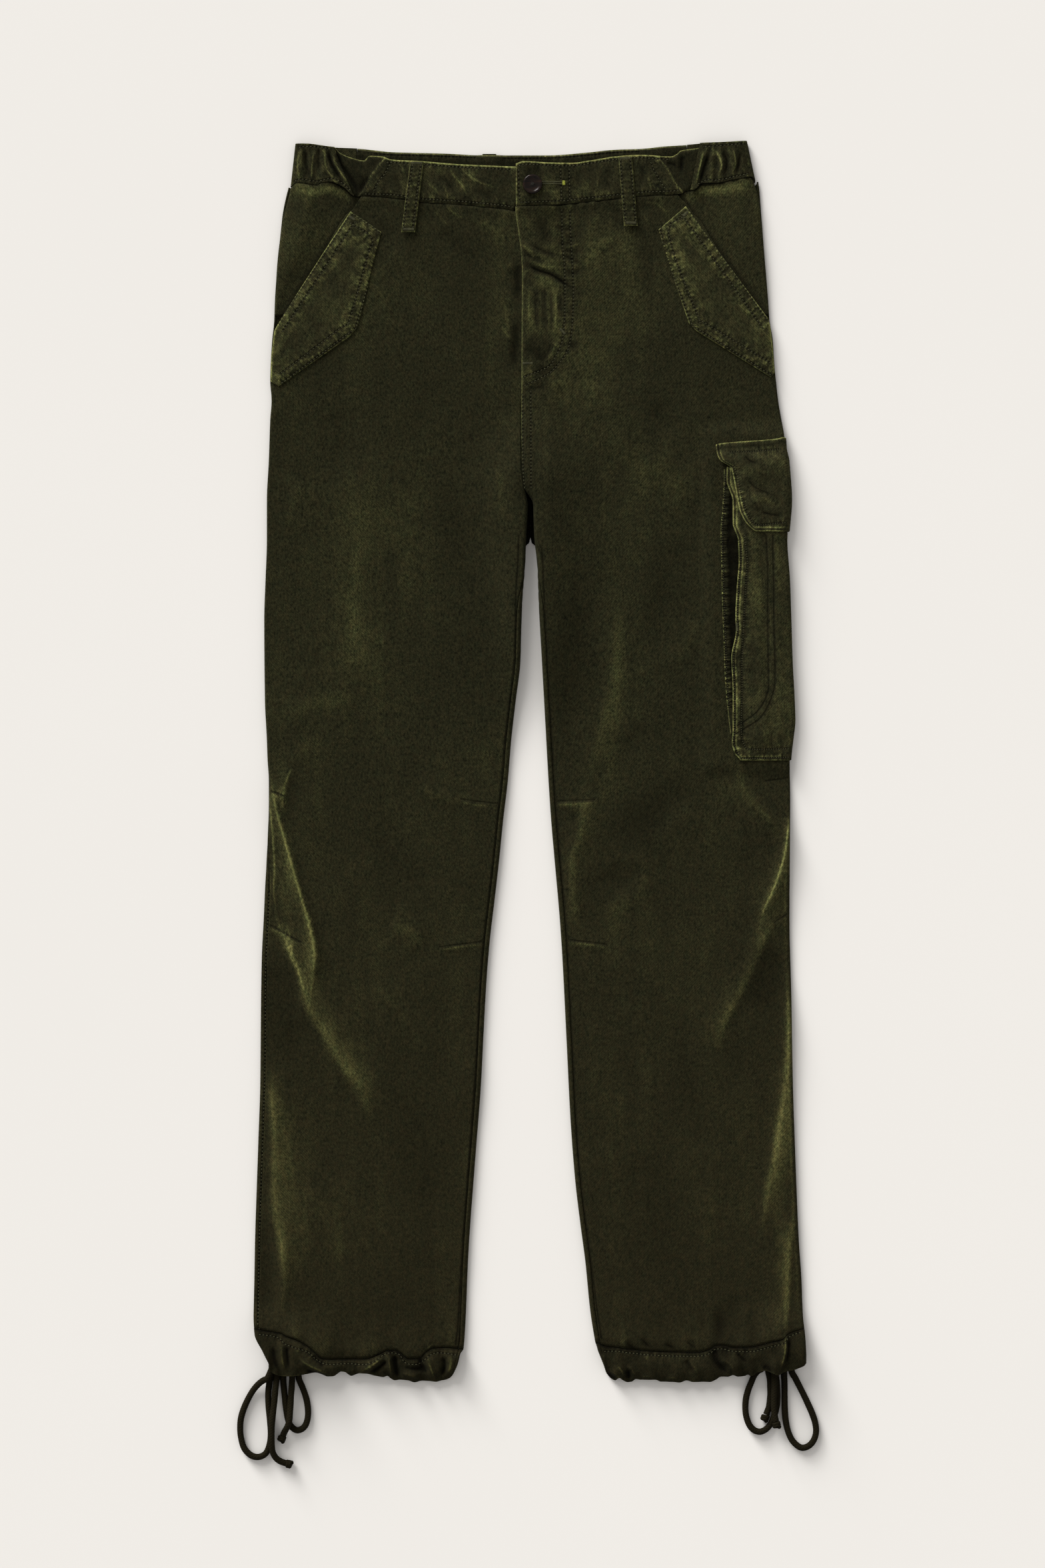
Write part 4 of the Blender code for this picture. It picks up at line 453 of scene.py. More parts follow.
# Routes of the cords' centre lines, from the bow outwards: x, y, z
CORDS = {"cord_right_loop_long": (
    -227.9, -536.1, 8.2, -3.4, -1.8, -0.8, -4.5, -3.6, -2, -4.8, -5.7, -1.8, -4.4, -7.5, -0.7, -3.8, -8.5,
    -0.1, -2.5, -8.4, 0, -0.7, -8.4, 0, 0.7, -8.4, 0, 2.8, -9.3, 0, 6.1, -6.3, 0, 6.9, -1.3, 0, 6.1, 3.5, 0,
    3.2, 8.2, 0, 0.9, 9.2, 0, -0.7, 11.1, 0, -1.2, 11.3, 0, -0.4, 10, 0, 0.6, 8, 0, 1.2, 6.4, 0,
), "cord_right_end_long": (
    -220, -535.5, 5.2, -0.6, -5.5, 1, -0.6, -5.5, 0.7, -0.5, -6, 0.4, -0.5, -6, 0.5, -0.7, -6, 0.5, -0.7,
    -6, 0.4, -0.5, -6, 0.3, -0.2, -6, 0, -0.1, -6, 0, 0.2, -6, -0.5, 0.8, -6, -1.3, 2.5, -5.1, -1.8, 3.7,
    -3.2, -1.3, 3.4, -1.4, -0.6,
), "cord_right_loop_short": (
    -214.6, -536.2, 3, 0.4, -6.8, -0.2, 0.8, -7.5, 0, 0.9, -8, 0, 0.9, -7.5, 0, 1.3, -7, 0, 2.7, -5.6, 0,
    4.6, -3.4, 0, 4.8, 1.1, 0, 3.6, 4.3, 0, 1.7, 7.6, 0, -0.4, 8.7, 0, -1.8, 8.3, 0, -2.9, 7.8, 0, -3, 7.6,
    0.2,
), "cord_right_end_short": (
    -206.6, -536.2, 6.2, -0.2, -3.8, 0.1, -0.2, -4, 0.1, -0.3, -4, 0.1, -0.3, -4, 0.2, -0.2, -4, 0.2, -0.2,
    -4, 0.4, -0.2, -4, 0.6, -0.3, -4, 0.6, -0.4, -4, 0.4, -0.7, -3.6, 0, -1.3, -3.2, -0.9, -1.4, -2.6, -1.6,
    -1.2, -2.3, -1.6, -0.8, -1.9, -0.5,
), "cord_left_loop_short": (
    203, -527.6, 3, -4, -2.8, -0.1, -3.4, -4.2, -0.1, -2.5, -5.8, 0, -2.6, -6.6, 0, -1.9, -7.5, 0, -0.6,
    -7.5, 0, 0.8, -8, 0, 2.6, -7.2, 0, 4, -4.6, 0, 5.4, -1.6, 0, 5.4, 2.4, 0, 4.2, 5, 0, 2.6, 6, 0, 2, 7.5,
    0, 0.8, 8.5, 0, -0.1, 8, 0, -0.7, 8, 0, -0.8, 7, 0.1,
), "cord_left_end_back": (
    208, -531, 3, 0.8, -3, -0.1, 0.5, -3, -0.1, 0.3, -3, 0, 0.1, -3, 0, 0.1, -3, 0, 0, -3, 0, -0.1, -3, 0,
    -0.2, -3, 0, -0.3, -2.8, 0, -0.4, -2.6, 0, -0.5, -2.4, 0, -0.8, -2, 0.1, -0.6, -1.7, 0.1, -0.5, -1.3,
    0.1,
), "cord_left_end_front": (
    212.8, -534.2, 8.2, 0.2, -2.8, 0.2, 0.1, -3, 0.1, 0, -3.5, 0, -0.1, -3.5, 0, -0.1, -3.5, 0, -0.1, -3.5,
    0, -0.1, -3.5, 0, 0, -3.5, 0.1, 0.1, -3, 0.1, 0.2, -2.5, 0.1, 0.3, -2.2, 0.1, 0.3, -1.8, 0, 0.3, -1.5,
    0, 0.3, -1.3, 0,
), "cord_left_loop_long": (
    221.6, -531, 2.9, 0.4, -8, -0.1, 0.2, -8, 0, 0, -9, 0, 0.2, -9, 0, 0.8, -9, 0, 2, -9, 0, 4, -8.4, 0,
    7.2, -5.8, 0, 6.6, 1.4, 0, 4.6, 5.2, 0, 2, 7.2, 0, -0.8, 7.8, 0, -2.6, 8.2, 0, -3.6, 8.2, 0, -3.6, 7.6,
    0, -3.8, 7.6, 0, -3.8, 7.4, 0, -3, 5.6, 0.1,
)}
# Weights of the cloth: lightness and how far stitches pucker it
FINISHES = {
    "twill": (1.0, 0.4), "patch_twill": (1.08, 0.95), "band_twill": (1.05, 0.8), "hem_twill": (0.8, 0.8),
    "gusset_twill": (0.95, 1.8), "pocket_twill": (1.12, 0.55), "flap_twill": (1.3, 0.8),
}
# What a sheet's points carry for its finish: tone of rubbing and of painted light and shade, way
# along the nearest row of stitches, distance from it and how far it reaches, distance from the
# nearest fold, and that fold line's tone of rubbing and painted light and shade
LAYERS = ("tone", "run", "gap", "near", "edge", "glow")
NO_LINE = 99.0
# Hollows go no deeper than this
DEEPEST = 1.9
# Thickened ends of the free cord ends: x, y, z of the middle and heading in degrees
CORD_ENDS = {
    "cord_end_right_long": (-209.4, -611.5, 3.6, -15.0),
    "cord_end_right_short": (-215.9, -589.5, 3.7, -112.0),
    "cord_end_left_back": (204.9, -571.4, 3.6, -110.0),
    "cord_end_left_front": (214.9, -576.8, 8.9, -78.0),
}
CORD_END_RADIUS, CORD_END_LENGTH = 3.4, 6.4


def ease(value):
    """Smooth step from 0 to 1."""
    value = np.clip(value, 0.0, 1.0)
    return value * value * (3.0 - 2.0 * value)


def mix(a, b, share):
    return a + (b - a) * share


def bell(distance, width):
    return np.exp(-((distance / width) ** 2))


def path(run, size=2):
    """Points of a path: the first one is given, then the step to each next one."""
    return np.round(np.cumsum(np.reshape(run, (-1, size)), axis=0), 1).astype(float)


def follow(run, at):
    """Second numbers of a path of pairs, at values of their first ones, on a smooth curve."""
    keys, values = np.array(sorted(path(run).tolist()), float).T
    at = np.clip(np.asarray(at, float), keys[0], keys[-1])
    step = np.diff(keys)
    slope = np.diff(values) / step
    before, after = slope[:-1], slope[1:]
    level = before * after > 0.0
    bend = np.where(level, 2.0 * before * after / np.where(level, before + after, 1.0), 0.0)
    tangent = np.concatenate([slope[:1], bend, slope[-1:]])
    i = np.clip(np.searchsorted(keys, at, side="right") - 1, 0, len(keys) - 2)
    t = (at - keys[i]) / step[i]
    swing = t * (1 - t) ** 2 * tangent[i] - t * t * (1 - t) * tangent[i + 1]
    return mix(values[i], values[i + 1], ease(t)) + step[i] * swing


def ripple(x, y, cell, seed):
    """Even swell of about -1 to 1 over cells of a size, the same each time."""
    table = np.random.default_rng(seed).uniform(-1.0, 1.0, (64, 64))
    a, b = x / cell + 640.0, y / cell + 640.0
    i, j = np.floor(a).astype(int), np.floor(b).astype(int)
    s, t = ease(a - i), ease(b - j)
    near = mix(table[i % 64, j % 64], table[(i + 1) % 64, j % 64], s)
    far = mix(table[i % 64, (j + 1) % 64], table[(i + 1) % 64, (j + 1) % 64], s)
    return mix(near, far, t)


def curved(points, steps):
    """Points on a smooth curve through the given ones."""
    points = np.array(points, float)
    ends = np.vstack([2 * points[0] - points[1], points, 2 * points[-1] - points[-2]])
    line = []
    for p, q, r, s in zip(ends, ends[1:], ends[2:], ends[3:]):
        for t in np.arange(steps) / steps:
            square, cube = (2 * p - 5 * q + 4 * r - s) * t**2, (3 * q - p - 3 * r + s) * t**3
            line.append(0.5 * (2 * q + (r - p) * t + square + cube))
    return np.array(line + [points[-1]])


def run_and_gap(line, x, y):
    """Way along a flat line to the place nearest to each point, the distance from it, the line's
    length, and on which side of it the point lies, +1 on the left of the line's own course."""
    a, d = line[:-1], np.diff(line, axis=0)
    size = np.maximum(np.hypot(d[:, 0], d[:, 1]), 1e-9)
    before = np.concatenate([[0.0], np.cumsum(size)])
    px, py = x[:, None] - a[:, 0], y[:, None] - a[:, 1]
    t = np.clip((px * d[:, 0] + py * d[:, 1]) / size**2, 0.0, 1.0)
    away = np.hypot(px - t * d[:, 0], py - t * d[:, 1])
    k = away.argmin(axis=1)
    row = np.arange(len(x))
    left = np.sign(d[k, 0] * py[row, k] - d[k, 1] * px[row, k])
    return before[k] + t[row, k] * size[k], away[row, k], before[-1], left


def sign(leg):
    """+1 where x grows from the leg's outer edge inwards."""
    return 1.0 if leg == "right" else -1.0


def outline(leg, y):
    """x of a leg's outer and inner edge."""
    return follow(EDGES[leg + "_out"], y), follow(EDGES[leg + "_in"], y)


def out_edge(leg, y):
    return outline(leg, y)[0]


def top_line(x):
    return follow(LINES["back_top"], x)


def seam_line(leg, x):
    """Bottom of the front waistband."""
    return follow(LINES["seam_" + leg], x)


def hem_line(leg, x):
    """Top of the hem casing."""
    return follow(LINES["hem_top_" + leg], x)


def back_seam(x):
    """Bottom of the back waistband."""
    return top_line(x) - BACK_BAND_HEIGHT


def lift(x, y):
    """Height of the cloth's underside over the surface it rests on."""
    total = 0.0
    for x0, x1, y0, y1, height, ramp in LIFTS:
        across = ease((x - x0) / ramp + 1.0) * ease((x1 - x) / ramp + 1.0)
        along = ease((y - y0) / ramp + 1.0) * ease((y1 - y) / ramp + 1.0)
        total = total + height * across * along
    return total


def arc_at(inset, roll=ROLL):
    """Distance along the tube's face at a distance in from its fold."""
    inset = np.asarray(inset, float)
    near = roll * np.arccos(np.clip((roll - np.maximum(inset, 0.0)) / roll, -1.0, 1.0))
    return np.where(inset >= roll, roll * math.pi / 2 + inset - roll, near)


def half_length(out, inner, roll=ROLL):
    return np.abs(inner - out) - 2 * roll + roll * math.pi


def quarter_roll(roll=ROLL):
    """Distance along the face from a fold's middle to where the flat begins."""
    return roll * math.pi / 2


def fullness(x, y):
    """How many times thicker a leg is where seams meet round the crotch."""
    down = ease((y + 10.0) / 130.0) * ease((310.0 - y) / 70.0)
    return 1.0 + 2.3 * down * bell(np.maximum(np.abs(x) - 6.0, 0.0), 34.0)


def tube(out, inner, c, raised=0.0, roll=ROLL):
    """x, z of a flattened tube's wall. c runs along its outer face from the outer fold over the
    front to the inner fold and back below; raised is counted outwards from that face."""
    quarter = quarter_roll(roll)
    width = np.abs(inner - out)
    half = half_length(out, inner, roll)
    c = np.mod(c, 2 * half)
    below = c > half
    along = np.where(below, 2 * half - c, c)
    near = np.minimum(along, half - along)
    radius = roll + raised
    bent = near < quarter
    angle = np.minimum(near, quarter) / roll
    inset = np.where(bent, roll - radius * np.cos(angle), roll + near - quarter)
    rise = np.where(bent, radius * np.sin(angle), radius)
    across = np.where(along <= half / 2, inset, width - inset)
    return out + np.sign(inner - out) * across, roll + np.where(below, -rise, rise)


def slash_inset(leg, y):
    """Distance of the hip pocket's opening from the outline."""
    x0, y0, x1, y1 = SLASH[leg]
    x = mix(x0, x1, (y0 - y) / (y0 - y1))
    return np.maximum(0.0, sign(leg) * (x - out_edge(leg, y)))


def back_wrap(leg, y):
    """Distance along the face from the outer fold's middle to the outer seam."""
    if leg == "left":
        return 0.0 * y
    return WRAP * ease((-16.0 - y) / 116.0)


def crease_at(points, reach, x, y):
    """Where a crease's line passes near the places: their mask, and along the masked ones the
    distance, the side and how strong the crease still is there."""
    line = curved(path(points), 4)
    box = (x > line[:, 0].min() - reach) & (x < line[:, 0].max() + reach)
    box &= (y > line[:, 1].min() - reach) & (y < line[:, 1].max() + reach)
    if not box.any():
        return box, None, None, None
    run, gap, length, left = run_and_gap(line, x[box], y[box])
    share = run / length
    fade = mix(0.1, 1.0, ease(share / 0.22)) * mix(0.1, 1.0, ease((1.0 - share) / 0.34))
    return box, gap, left, fade


def core_share(soft_side, width):
    """How much of a crease's tone lies in its sharp line."""
    if width < 3.0:
        return 0.35
    return 0.6 if abs(soft_side) == 1 else 0.0


def relief(place, x, y):
    """Height and tone that folds, hollows and crumpling give one side of the garment. The tone is
    rubbing, painted light and painted shade.
    """
    cloth = bpy.context.scene.pants_cloth
    height, tone = np.zeros_like(x), np.zeros_like(x)
    for soft_side, width, rise, shade, *points in CREASES[place]:
        box, gap, left, fade = crease_at(points, 3.2 * width, x, y)
        if gap is None:
            continue
        # a fold falls away gently on its soft side and steeply on the other, and its painted highlight
        # spreads further on the soft side
        slack = mix(1.0, np.where(left * soft_side > 0.0, 1.25, 0.42), abs(soft_side))
        if rise > 0.0:
            crest = np.exp(0.3 - np.sqrt((gap / (width * slack)) ** 2 + 0.09))
            # a crest's tone is rubbing with painted highlight, and a halo of painted light spreads beside it
            halo = mix(min(0.5, 0.1 * width), 0.8, abs(soft_side))
            worn = (1.0 - halo) * bell(gap, max(0.32 * width, 0.75))
            worn = worn + halo * np.exp(-((gap / (1.1 * width * slack**1.3)) ** 1.5))
        else:
            # a hollow's tone is painted shade
            crest = worn = bell(gap, width * slack)
        height[box] += rise * fade * crest
        tone[box] += shade * fade * worn * (1.0 - 0.7 * core_share(soft_side, width))
    # broad rubbing, and broad painted light and shade
    for px, py, wide, long, lean, shade in PATCHES[place]:
        c, s = math.cos(math.radians(lean)), math.sin(math.radians(lean))
        a, b = (x - px) * c + (y - py) * s, (y - py) * c - (x - px) * s
        tone += shade * np.exp(-((a / wide) ** 2) - (b / long) ** 2)
    soft = 0.45 * ripple(x, y, 46.0, 3) + 0.22 * ripple(x, 0.7 * y, 19.0, 5)
    fine = 0.10 * ripple(x, y, 8.0, 7) + 0.05 * ripple(x, y, 4.2, 9)
    height = cloth.creases * height + cloth.crumple * (soft + fine)
    streak = 0.07 * ripple(x, 0.16 * y, 11.0, 11) + 0.05 * ripple(x, 0.12 * y, 5.0, 13)
    # the small swells are painted lighter where they rise and darker where they sink, as light and shade
    tone = tone + streak + 0.05 * ripple(x, 0.5 * y, 26.0, 15) + 0.5 * fine
    return np.maximum(height, -DEEPEST), tone


def skin(leg, x, y):
    """Height of the outer face of a leg's front at a place, with its tone."""
    inset = np.clip(sign(leg) * (x - out_edge(leg, y)), 0.0, ROLL)
    base = ROLL + np.sqrt(ROLL**2 - (ROLL - inset) ** 2)
    height, tone = relief(leg, x, y)
    return base + height * ease((base - ROLL) / ROLL), tone


def crowd(u, pull):
    """Draws evenly spread shares closer together at both ends."""
    return u - pull * np.sin(2 * math.pi * u) / (2 * math.pi)


def margins(u, first, last, start, stop, shares=(0.1, 0.1)):
    """Spreads places over a stretch, a given share of them in each of its two margins."""
    low, high = start + first, stop - last
    a, b = shares
    inside = mix(low, high, (u - a) / (1.0 - a - b))
    inside = np.where(u > 1.0 - b, mix(high, stop, (u - 1.0 + b) / b), inside)
    return np.where(u < a, mix(start, low, u / a), inside)


def worn_edge(gap, amount, width):
    """Tone of a rubbed edge at a distance from it."""
    return amount * bell(np.maximum(gap, 0.0), width)


def rolled(gap):
    """Tone of a turned edge's bulk: a dark line of painted shade and a pale line, inside the edge itself."""
    return 0.6 * bell(gap - 3.4, 0.9) - 0.6 * bell(gap - 1.9, 0.6)


def rounded(gap, radius):
    """How far a turned edge falls away at a distance from the edge."""
    near = 1.0 - np.clip(gap / radius, 0.0, 1.0)
    return radius * (1.0 - np.sqrt(np.maximum(1.0 - near**2, 0.0)))


def nearer(gap, away, left):
    """Signed distance from the nearer of the lines so far and one more, and where the last one
    is nearer. The last one's sign is chosen so that it doesn't change where the two meet."""
    mine = away * left
    meet = np.abs(away - np.abs(gap)) < 1.5
    if np.sign(mine[meet] * gap[meet]).sum() < 0.0:
        mine = -mine
    closer = away < np.abs(gap)
    return np.where(closer, mine, gap), closer


def sharp_lines(owner, x, y):
    """Signed distance from the nearest crease's line and the tone of that line: rubbing and painted
    highlight along crests, painted shade along dark folds.
    """
    gap, glow = np.full_like(x, NO_LINE), np.zeros_like(x)
    for soft_side, width, _, shade, *points in CREASES.get(owner, ()):
        core = core_share(soft_side, width)
        if core == 0.0:
            continue
        box, away, left, fade = crease_at(points, 9.0, x, y)
        if away is None:
            continue
        gap[box], closer = nearer(gap[box], away, left)
        glow[box] = np.where(closer, core * shade * fade * bell(away, 6.0), glow[box])
    return gap, glow


# Outer face of each finished sheet, for what is sewn on it
FACES = {}
# Groups of rows sewn finer than the others
FINE = {"cargo": 0.66}


def carried(thing, slot, *nodes):
    """Puts a finished piece on the frame, in the place of its nodes."""
    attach(thing, "root")
    if nodes:
        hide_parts(*nodes)
    return thing


def sheet(name, columns, rows, place, wall, finish, flip, creased=None):
    """A sheet of cloth: a grid whose corners go where place(u, v) says, in millimetres, given a
    wall inwards. u runs across and v down; place returns x, y, z, tone and the way across.
    Crease lines are those of the leg or band it is creased as."""
    bm = bmesh.new()
    bmesh.ops.create_grid(bm, x_segments=columns, y_segments=rows, size=0.5)
    if flip:
        bmesh.ops.reverse_faces(bm, faces=bm.faces[:])
    mesh = bpy.data.meshes.new(name + "_cloth")
    bm.to_mesh(mesh)
    bm.free()
    spots = np.empty(3 * len(mesh.vertices), np.float32)
    mesh.vertices.foreach_get("co", spots)
    u, v = spots.reshape(-1, 3)[:, 0] + 0.5, 0.5 - spots.reshape(-1, 3)[:, 1]
    placed = place(u.astype(float), v.astype(float))
    x, y, z, tone, across = (np.broadcast_to(a, u.shape).astype(float) for a in placed)
    spots = np.column_stack([x, y, z]) * MM
    mesh.vertices.foreach_set("co", spots.astype(np.float32).ravel())
    run, gap, near = np.zeros_like(x), np.full_like(x, NO_LINE), np.zeros_like(x)
    pitch = bpy.context.scene.pants_trims.pitch / MM
    for host, group, *rows_here in ROWS:
        for points in rows_here if host == name else ():
            way, away, length, left = run_and_gap(curved(path(points), 3), x, y)
            gap, closer = nearer(gap, away, left)
            beside = (way > 0.01) & (way < length - 0.01)
            near = np.where(closer, bell(gap, 9.0) * beside, near)
            # a plain seam is one even line, half as deep as the pit under a stitch
            fine = pitch * FINE.get(group, 1.0)
            way = 0.0 * way + 0.25 * pitch if group == "plain" else way * int(length / fine) * pitch / length
            run = np.where(closer, way, run)
    edge, glow = sharp_lines(creased, x, y)
    glow = glow * ease((z - 0.5 * ROLL) / ROLL)
    for label, values in zip(LAYERS, (tone, run * MM, gap * MM, near, edge * MM, glow)):
        layer = mesh.attributes.new(label, "FLOAT", "POINT")
        layer.data.foreach_set("value", values.astype(np.float32))
    corners = np.empty(len(mesh.loops), np.int32)
    mesh.loops.foreach_get("vertex_index", corners)
    weave = mesh.uv_layers.new(name="weave")
    weave.data.foreach_set("uv", (np.column_stack([across, y])[corners] * MM).astype(np.float32).ravel())
    mesh.update()
    thing = bpy.data.objects.new(name + "_cloth", mesh)
    bpy.context.collection.objects.link(thing)
    FACES[name] = BVHTree.FromObject(thing, bpy.context.evaluated_depsgraph_get())
    solid = thing.modifiers.new("wall", "SOLIDIFY")
    solid.thickness, solid.offset, solid.use_rim = wall * MM, -1.0, True
    mesh.shade_smooth()
    mesh.materials.append(cloth_material(finish))
    carried(thing, name, name)
    return thing


def finished(name, bm, finish, smooth=True):
    """The object made from a bmesh, its faces turned outwards."""
    bmesh.ops.recalc_face_normals(bm, faces=bm.faces[:])
    mesh = bpy.data.meshes.new(name)
    bm.to_mesh(mesh)
    bm.free()
    if smooth:
        mesh.shade_smooth()
    mesh.materials.append(finish)
    thing = bpy.data.objects.new(name, mesh)
    bpy.context.collection.objects.link(thing)
    return thing


# ---- Materials


class Value:
    """A socket's value in a formula. What is worked out with it becomes math nodes beside it."""

    def __init__(self, socket):
        self.socket = socket

    def __add__(self, other):
        return calc("ADD", self, other)

    def __radd__(self, other):
        return calc("ADD", other, self)

    def __sub__(self, other):
        return calc("SUBTRACT", self, other)

    def __rsub__(self, other):
        return calc("SUBTRACT", other, self)

    def __mul__(self, other):
        return calc("MULTIPLY", self, other)

    def __truediv__(self, other):
        return calc("DIVIDE", self, other)

    def __rtruediv__(self, other):
        return calc("DIVIDE", other, self)


def feed(inputs, values):
    """Sets or links some of a node's inputs."""
    for key, value in values.items():
        if isinstance(value, Value):
            inputs[key].id_data.links.new(value.socket, inputs[key])
        else:
            inputs[key].default_value = value


def add(tree, kind, output, inputs=None, **settings):
    """Value of one output of a new node."""
    made = tree.nodes.new(kind)
    for key, value in settings.items():
        setattr(made, key, value)
    feed(made.inputs, inputs or {})
    return Value(made.outputs[output])


def tree_of(values):
    """Node tree of the first socket among some values."""
    return next(value.socket.id_data for value in values if isinstance(value, Value))


def calc(operation, *values, clamp=False):
    """Value of a math node."""
    inputs = dict(enumerate(values))
    return add(tree_of(values), "ShaderNodeMath", 0, inputs, operation=operation, use_clamp=clamp)


def clamped(value, factor):
    """A value times a factor, held between 0 and 1."""
    return calc("MULTIPLY", value, factor, clamp=True)


def falloff(distance, width):
    """1 at no distance, falling to nothing over a width or two."""
    ratio = distance / width
    return calc("EXPONENT", ratio * ratio * -1.0)


def blended(share, a, b, blend="MIX"):
    """Two colours mixed, or multiplied."""
    tree = tree_of((share, a, b))
    return add(tree, "ShaderNodeMix", 2, {0: share, 6: a, 7: b}, data_type="RGBA", blend_type=blend)


def noise(vector, scale, detail, dimensions="3D", **others):
    inputs = {"Vector": vector, "Scale": scale, "Detail": detail, **others}
    return add(tree_of((vector,)), "ShaderNodeTexNoise", "Fac", inputs, noise_dimensions=dimensions)


def bump(height, strength, distance):
    inputs = {"Height": height, "Strength": strength, "Distance": distance}
    return add(tree_of((height,)), "ShaderNodeBump", "Normal", inputs)


def new_group(name, inputs):
    """An empty node group. Its inputs are colours where they are set to four numbers, vectors
    where they are set to nothing, and numbers otherwise."""
    tree = bpy.data.node_groups.new(name, "ShaderNodeTree")
    for label, default in inputs.items():
        kind = "Vector" if default is None else "Color" if isinstance(default, tuple) else "Float"
        socket = tree.interface.new_socket(label, in_out="INPUT", socket_type="NodeSocket" + kind)
        if default is not None:
            socket.default_value = default
    given = tree.nodes.new("NodeGroupInput").outputs
    return tree, {label: Value(given[label]) for label in inputs}


def closed(tree, outputs):
    """A group with its outputs: numbers, and the colour called Color."""
    for label in outputs:
        kind = "Color" if label == "Color" else "Float"
        tree.interface.new_socket(label, in_out="OUTPUT", socket_type="NodeSocket" + kind)
    feed(tree.nodes.new("NodeGroupOutput").inputs, outputs)
    return tree


def placed_group(tree, name, build, inputs):
    """Outputs of a node that shows a shared group."""
    made = tree.nodes.new("ShaderNodeGroup")
    made.node_tree = bpy.data.node_groups.get(name) or build()
    feed(made.inputs, inputs)
    return {socket.name: Value(socket) for socket in made.outputs}


def twill_group():
    """Diagonal ribs of the twill, broken up by its uneven yarns."""
    tree, given = new_group("twill", {"Vector": None, "Pitch": 0.0011})
    inputs = {"Vector": given["Vector"], "Scale": 0.3142 / given["Pitch"], "Distortion": 1.2}
    inputs.update({"Detail": 1.0, "Detail Scale": 0.6})
    ribs = add(tree, "ShaderNodeTexWave", "Fac", inputs, wave_type="BANDS", bands_direction="DIAGONAL")
    yarn = noise(given["Vector"], 0.9 / given["Pitch"], 2.0)
    return closed(tree, {"Height": ribs * 0.5 + yarn * 0.9})


def pucker_group():
    """Short folds that a row of stitches draws into the cloth, the groove the row lies in, and the
    pits where its thread goes through."""
    sizes = {"Pitch": 0.0036, "Reach": 0.0046, "Stitch": 0.0031}
    tree, given = new_group("pucker", {"Run": 0.0, "Gap": 1.0, "Near": 0.0, **sizes})
    run, gap, near, pitch = (given[label] for label in ("Run", "Gap", "Near", "Pitch"))
    aside = calc("ABSOLUTE", gap)
    spot = add(tree, "ShaderNodeCombineXYZ", 0, {0: run / pitch, 1: gap / pitch * 0.3})
    folds = noise(spot, 1.0, 1.5, "2D")
    crest = (folds - 0.5) * 4.2 * (falloff(aside, given["Reach"]) * near)
    # none midway between two rows, where the gap changes its sign
    groove = falloff(aside, 0.0008) * clamped(near - 0.93, 14.3)
    turn = run / given["Stitch"] * (2 * math.pi)
    pit = calc("MULTIPLY_ADD", calc("COSINE", turn), 0.5, 0.5) * groove
    return closed(tree, {"Crest": crest, "Groove": groove, "Pit": pit})


def line_group():
    """The sharp line along a crease, from the signed distance to it."""
    tree, given = new_group("sharp line", {"Gap": 1.0, "Width": 0.0009})
    return closed(tree, {"Line": falloff(given["Gap"], given["Width"])})


def dye_and_light_group():
    """Dyed colour with painted light and shade: the cloth's colour, made pale where it is rubbed and
    where painted highlight lies, and darker where painted shade lies in hollows.
    """
    cloths = {"Cloth": (0.02, 0.02, 0.01, 1), "Worn": (0.1, 0.1, 0.05, 1), "Deep": (0.01, 0.01, 0.005, 1)}
    tree, given = new_group("dye", {"Vector": None, **cloths, "Tone": 0.0, "Speckle": 2.7})
    stretch = {0: given["Vector"], 1: (1.0, 0.6, 1.0)}
    long = add(tree, "ShaderNodeVectorMath", 0, stretch, operation="MULTIPLY")
    grain = noise(long, 620.0, 4.0, Roughness=0.75)
    cloud = noise(long, 230.0, 4.0, Roughness=0.7)
    drift = noise(given["Vector"], 16.0, 2.0)
    worn = given["Tone"] * (0.55 + grain * 0.9) + (drift - 0.5) * 0.22
    light = calc("POWER", calc("MAXIMUM", worn, 0.0), 1.6, clamp=True)
    # negative tone darkens towards Deep, as painted shade
    shade = blended(clamped(worn, -1.0), blended(light, given["Cloth"], given["Worn"]), given["Deep"])
    mottled = blended(clamped(cloud - 0.3, 2.2), (0.91, 1.04, 1.0, 1.0), (1.10, 0.98, 0.94, 1.0))
    tinted = blended(1.0, shade, mottled, "MULTIPLY")
    # the lower legs are a little redder and smoother
    low = clamped(0.05 - add(tree, "ShaderNodeSeparateXYZ", 1, {0: given["Vector"]}), 1.6)
    tinted = blended(low, tinted, blended(1.0, tinted, (1.05, 0.965, 0.96, 1.0), "MULTIPLY"))
    speck = (grain - 0.5) * given["Speckle"]
    level = 1.0 + (cloud - 0.5) * 0.8 + speck * (1.4 - low * 0.5)
    even = add(tree, "ShaderNodeCombineColor", 0, {0: level, 1: level, 2: level})
    rough = 0.9 + (cloud - 0.5) * 0.2
    colour = blended(1.0, tinted, even, "MULTIPLY")
    return closed(tree, {"Color": colour, "Roughness": rough, "Grain": grain, "Cloud": cloud})


def material(name, build):
    """The material of a name. Its nodes are built the first time it is asked for."""
    made = bpy.data.materials.get(name)
    if not made:
        made = bpy.data.materials.new(name)
        made.use_nodes = True
        tree = made.node_tree
        where = add(tree, "ShaderNodeTexCoord", "Object")
        feed(tree.nodes["Principled BSDF"].inputs, build(tree, where))
    return made


def scaled(colour, factor=1.0):
    """A colour made darker or lighter."""
    return tuple(factor * c for c in colour[:3]) + (1.0,)


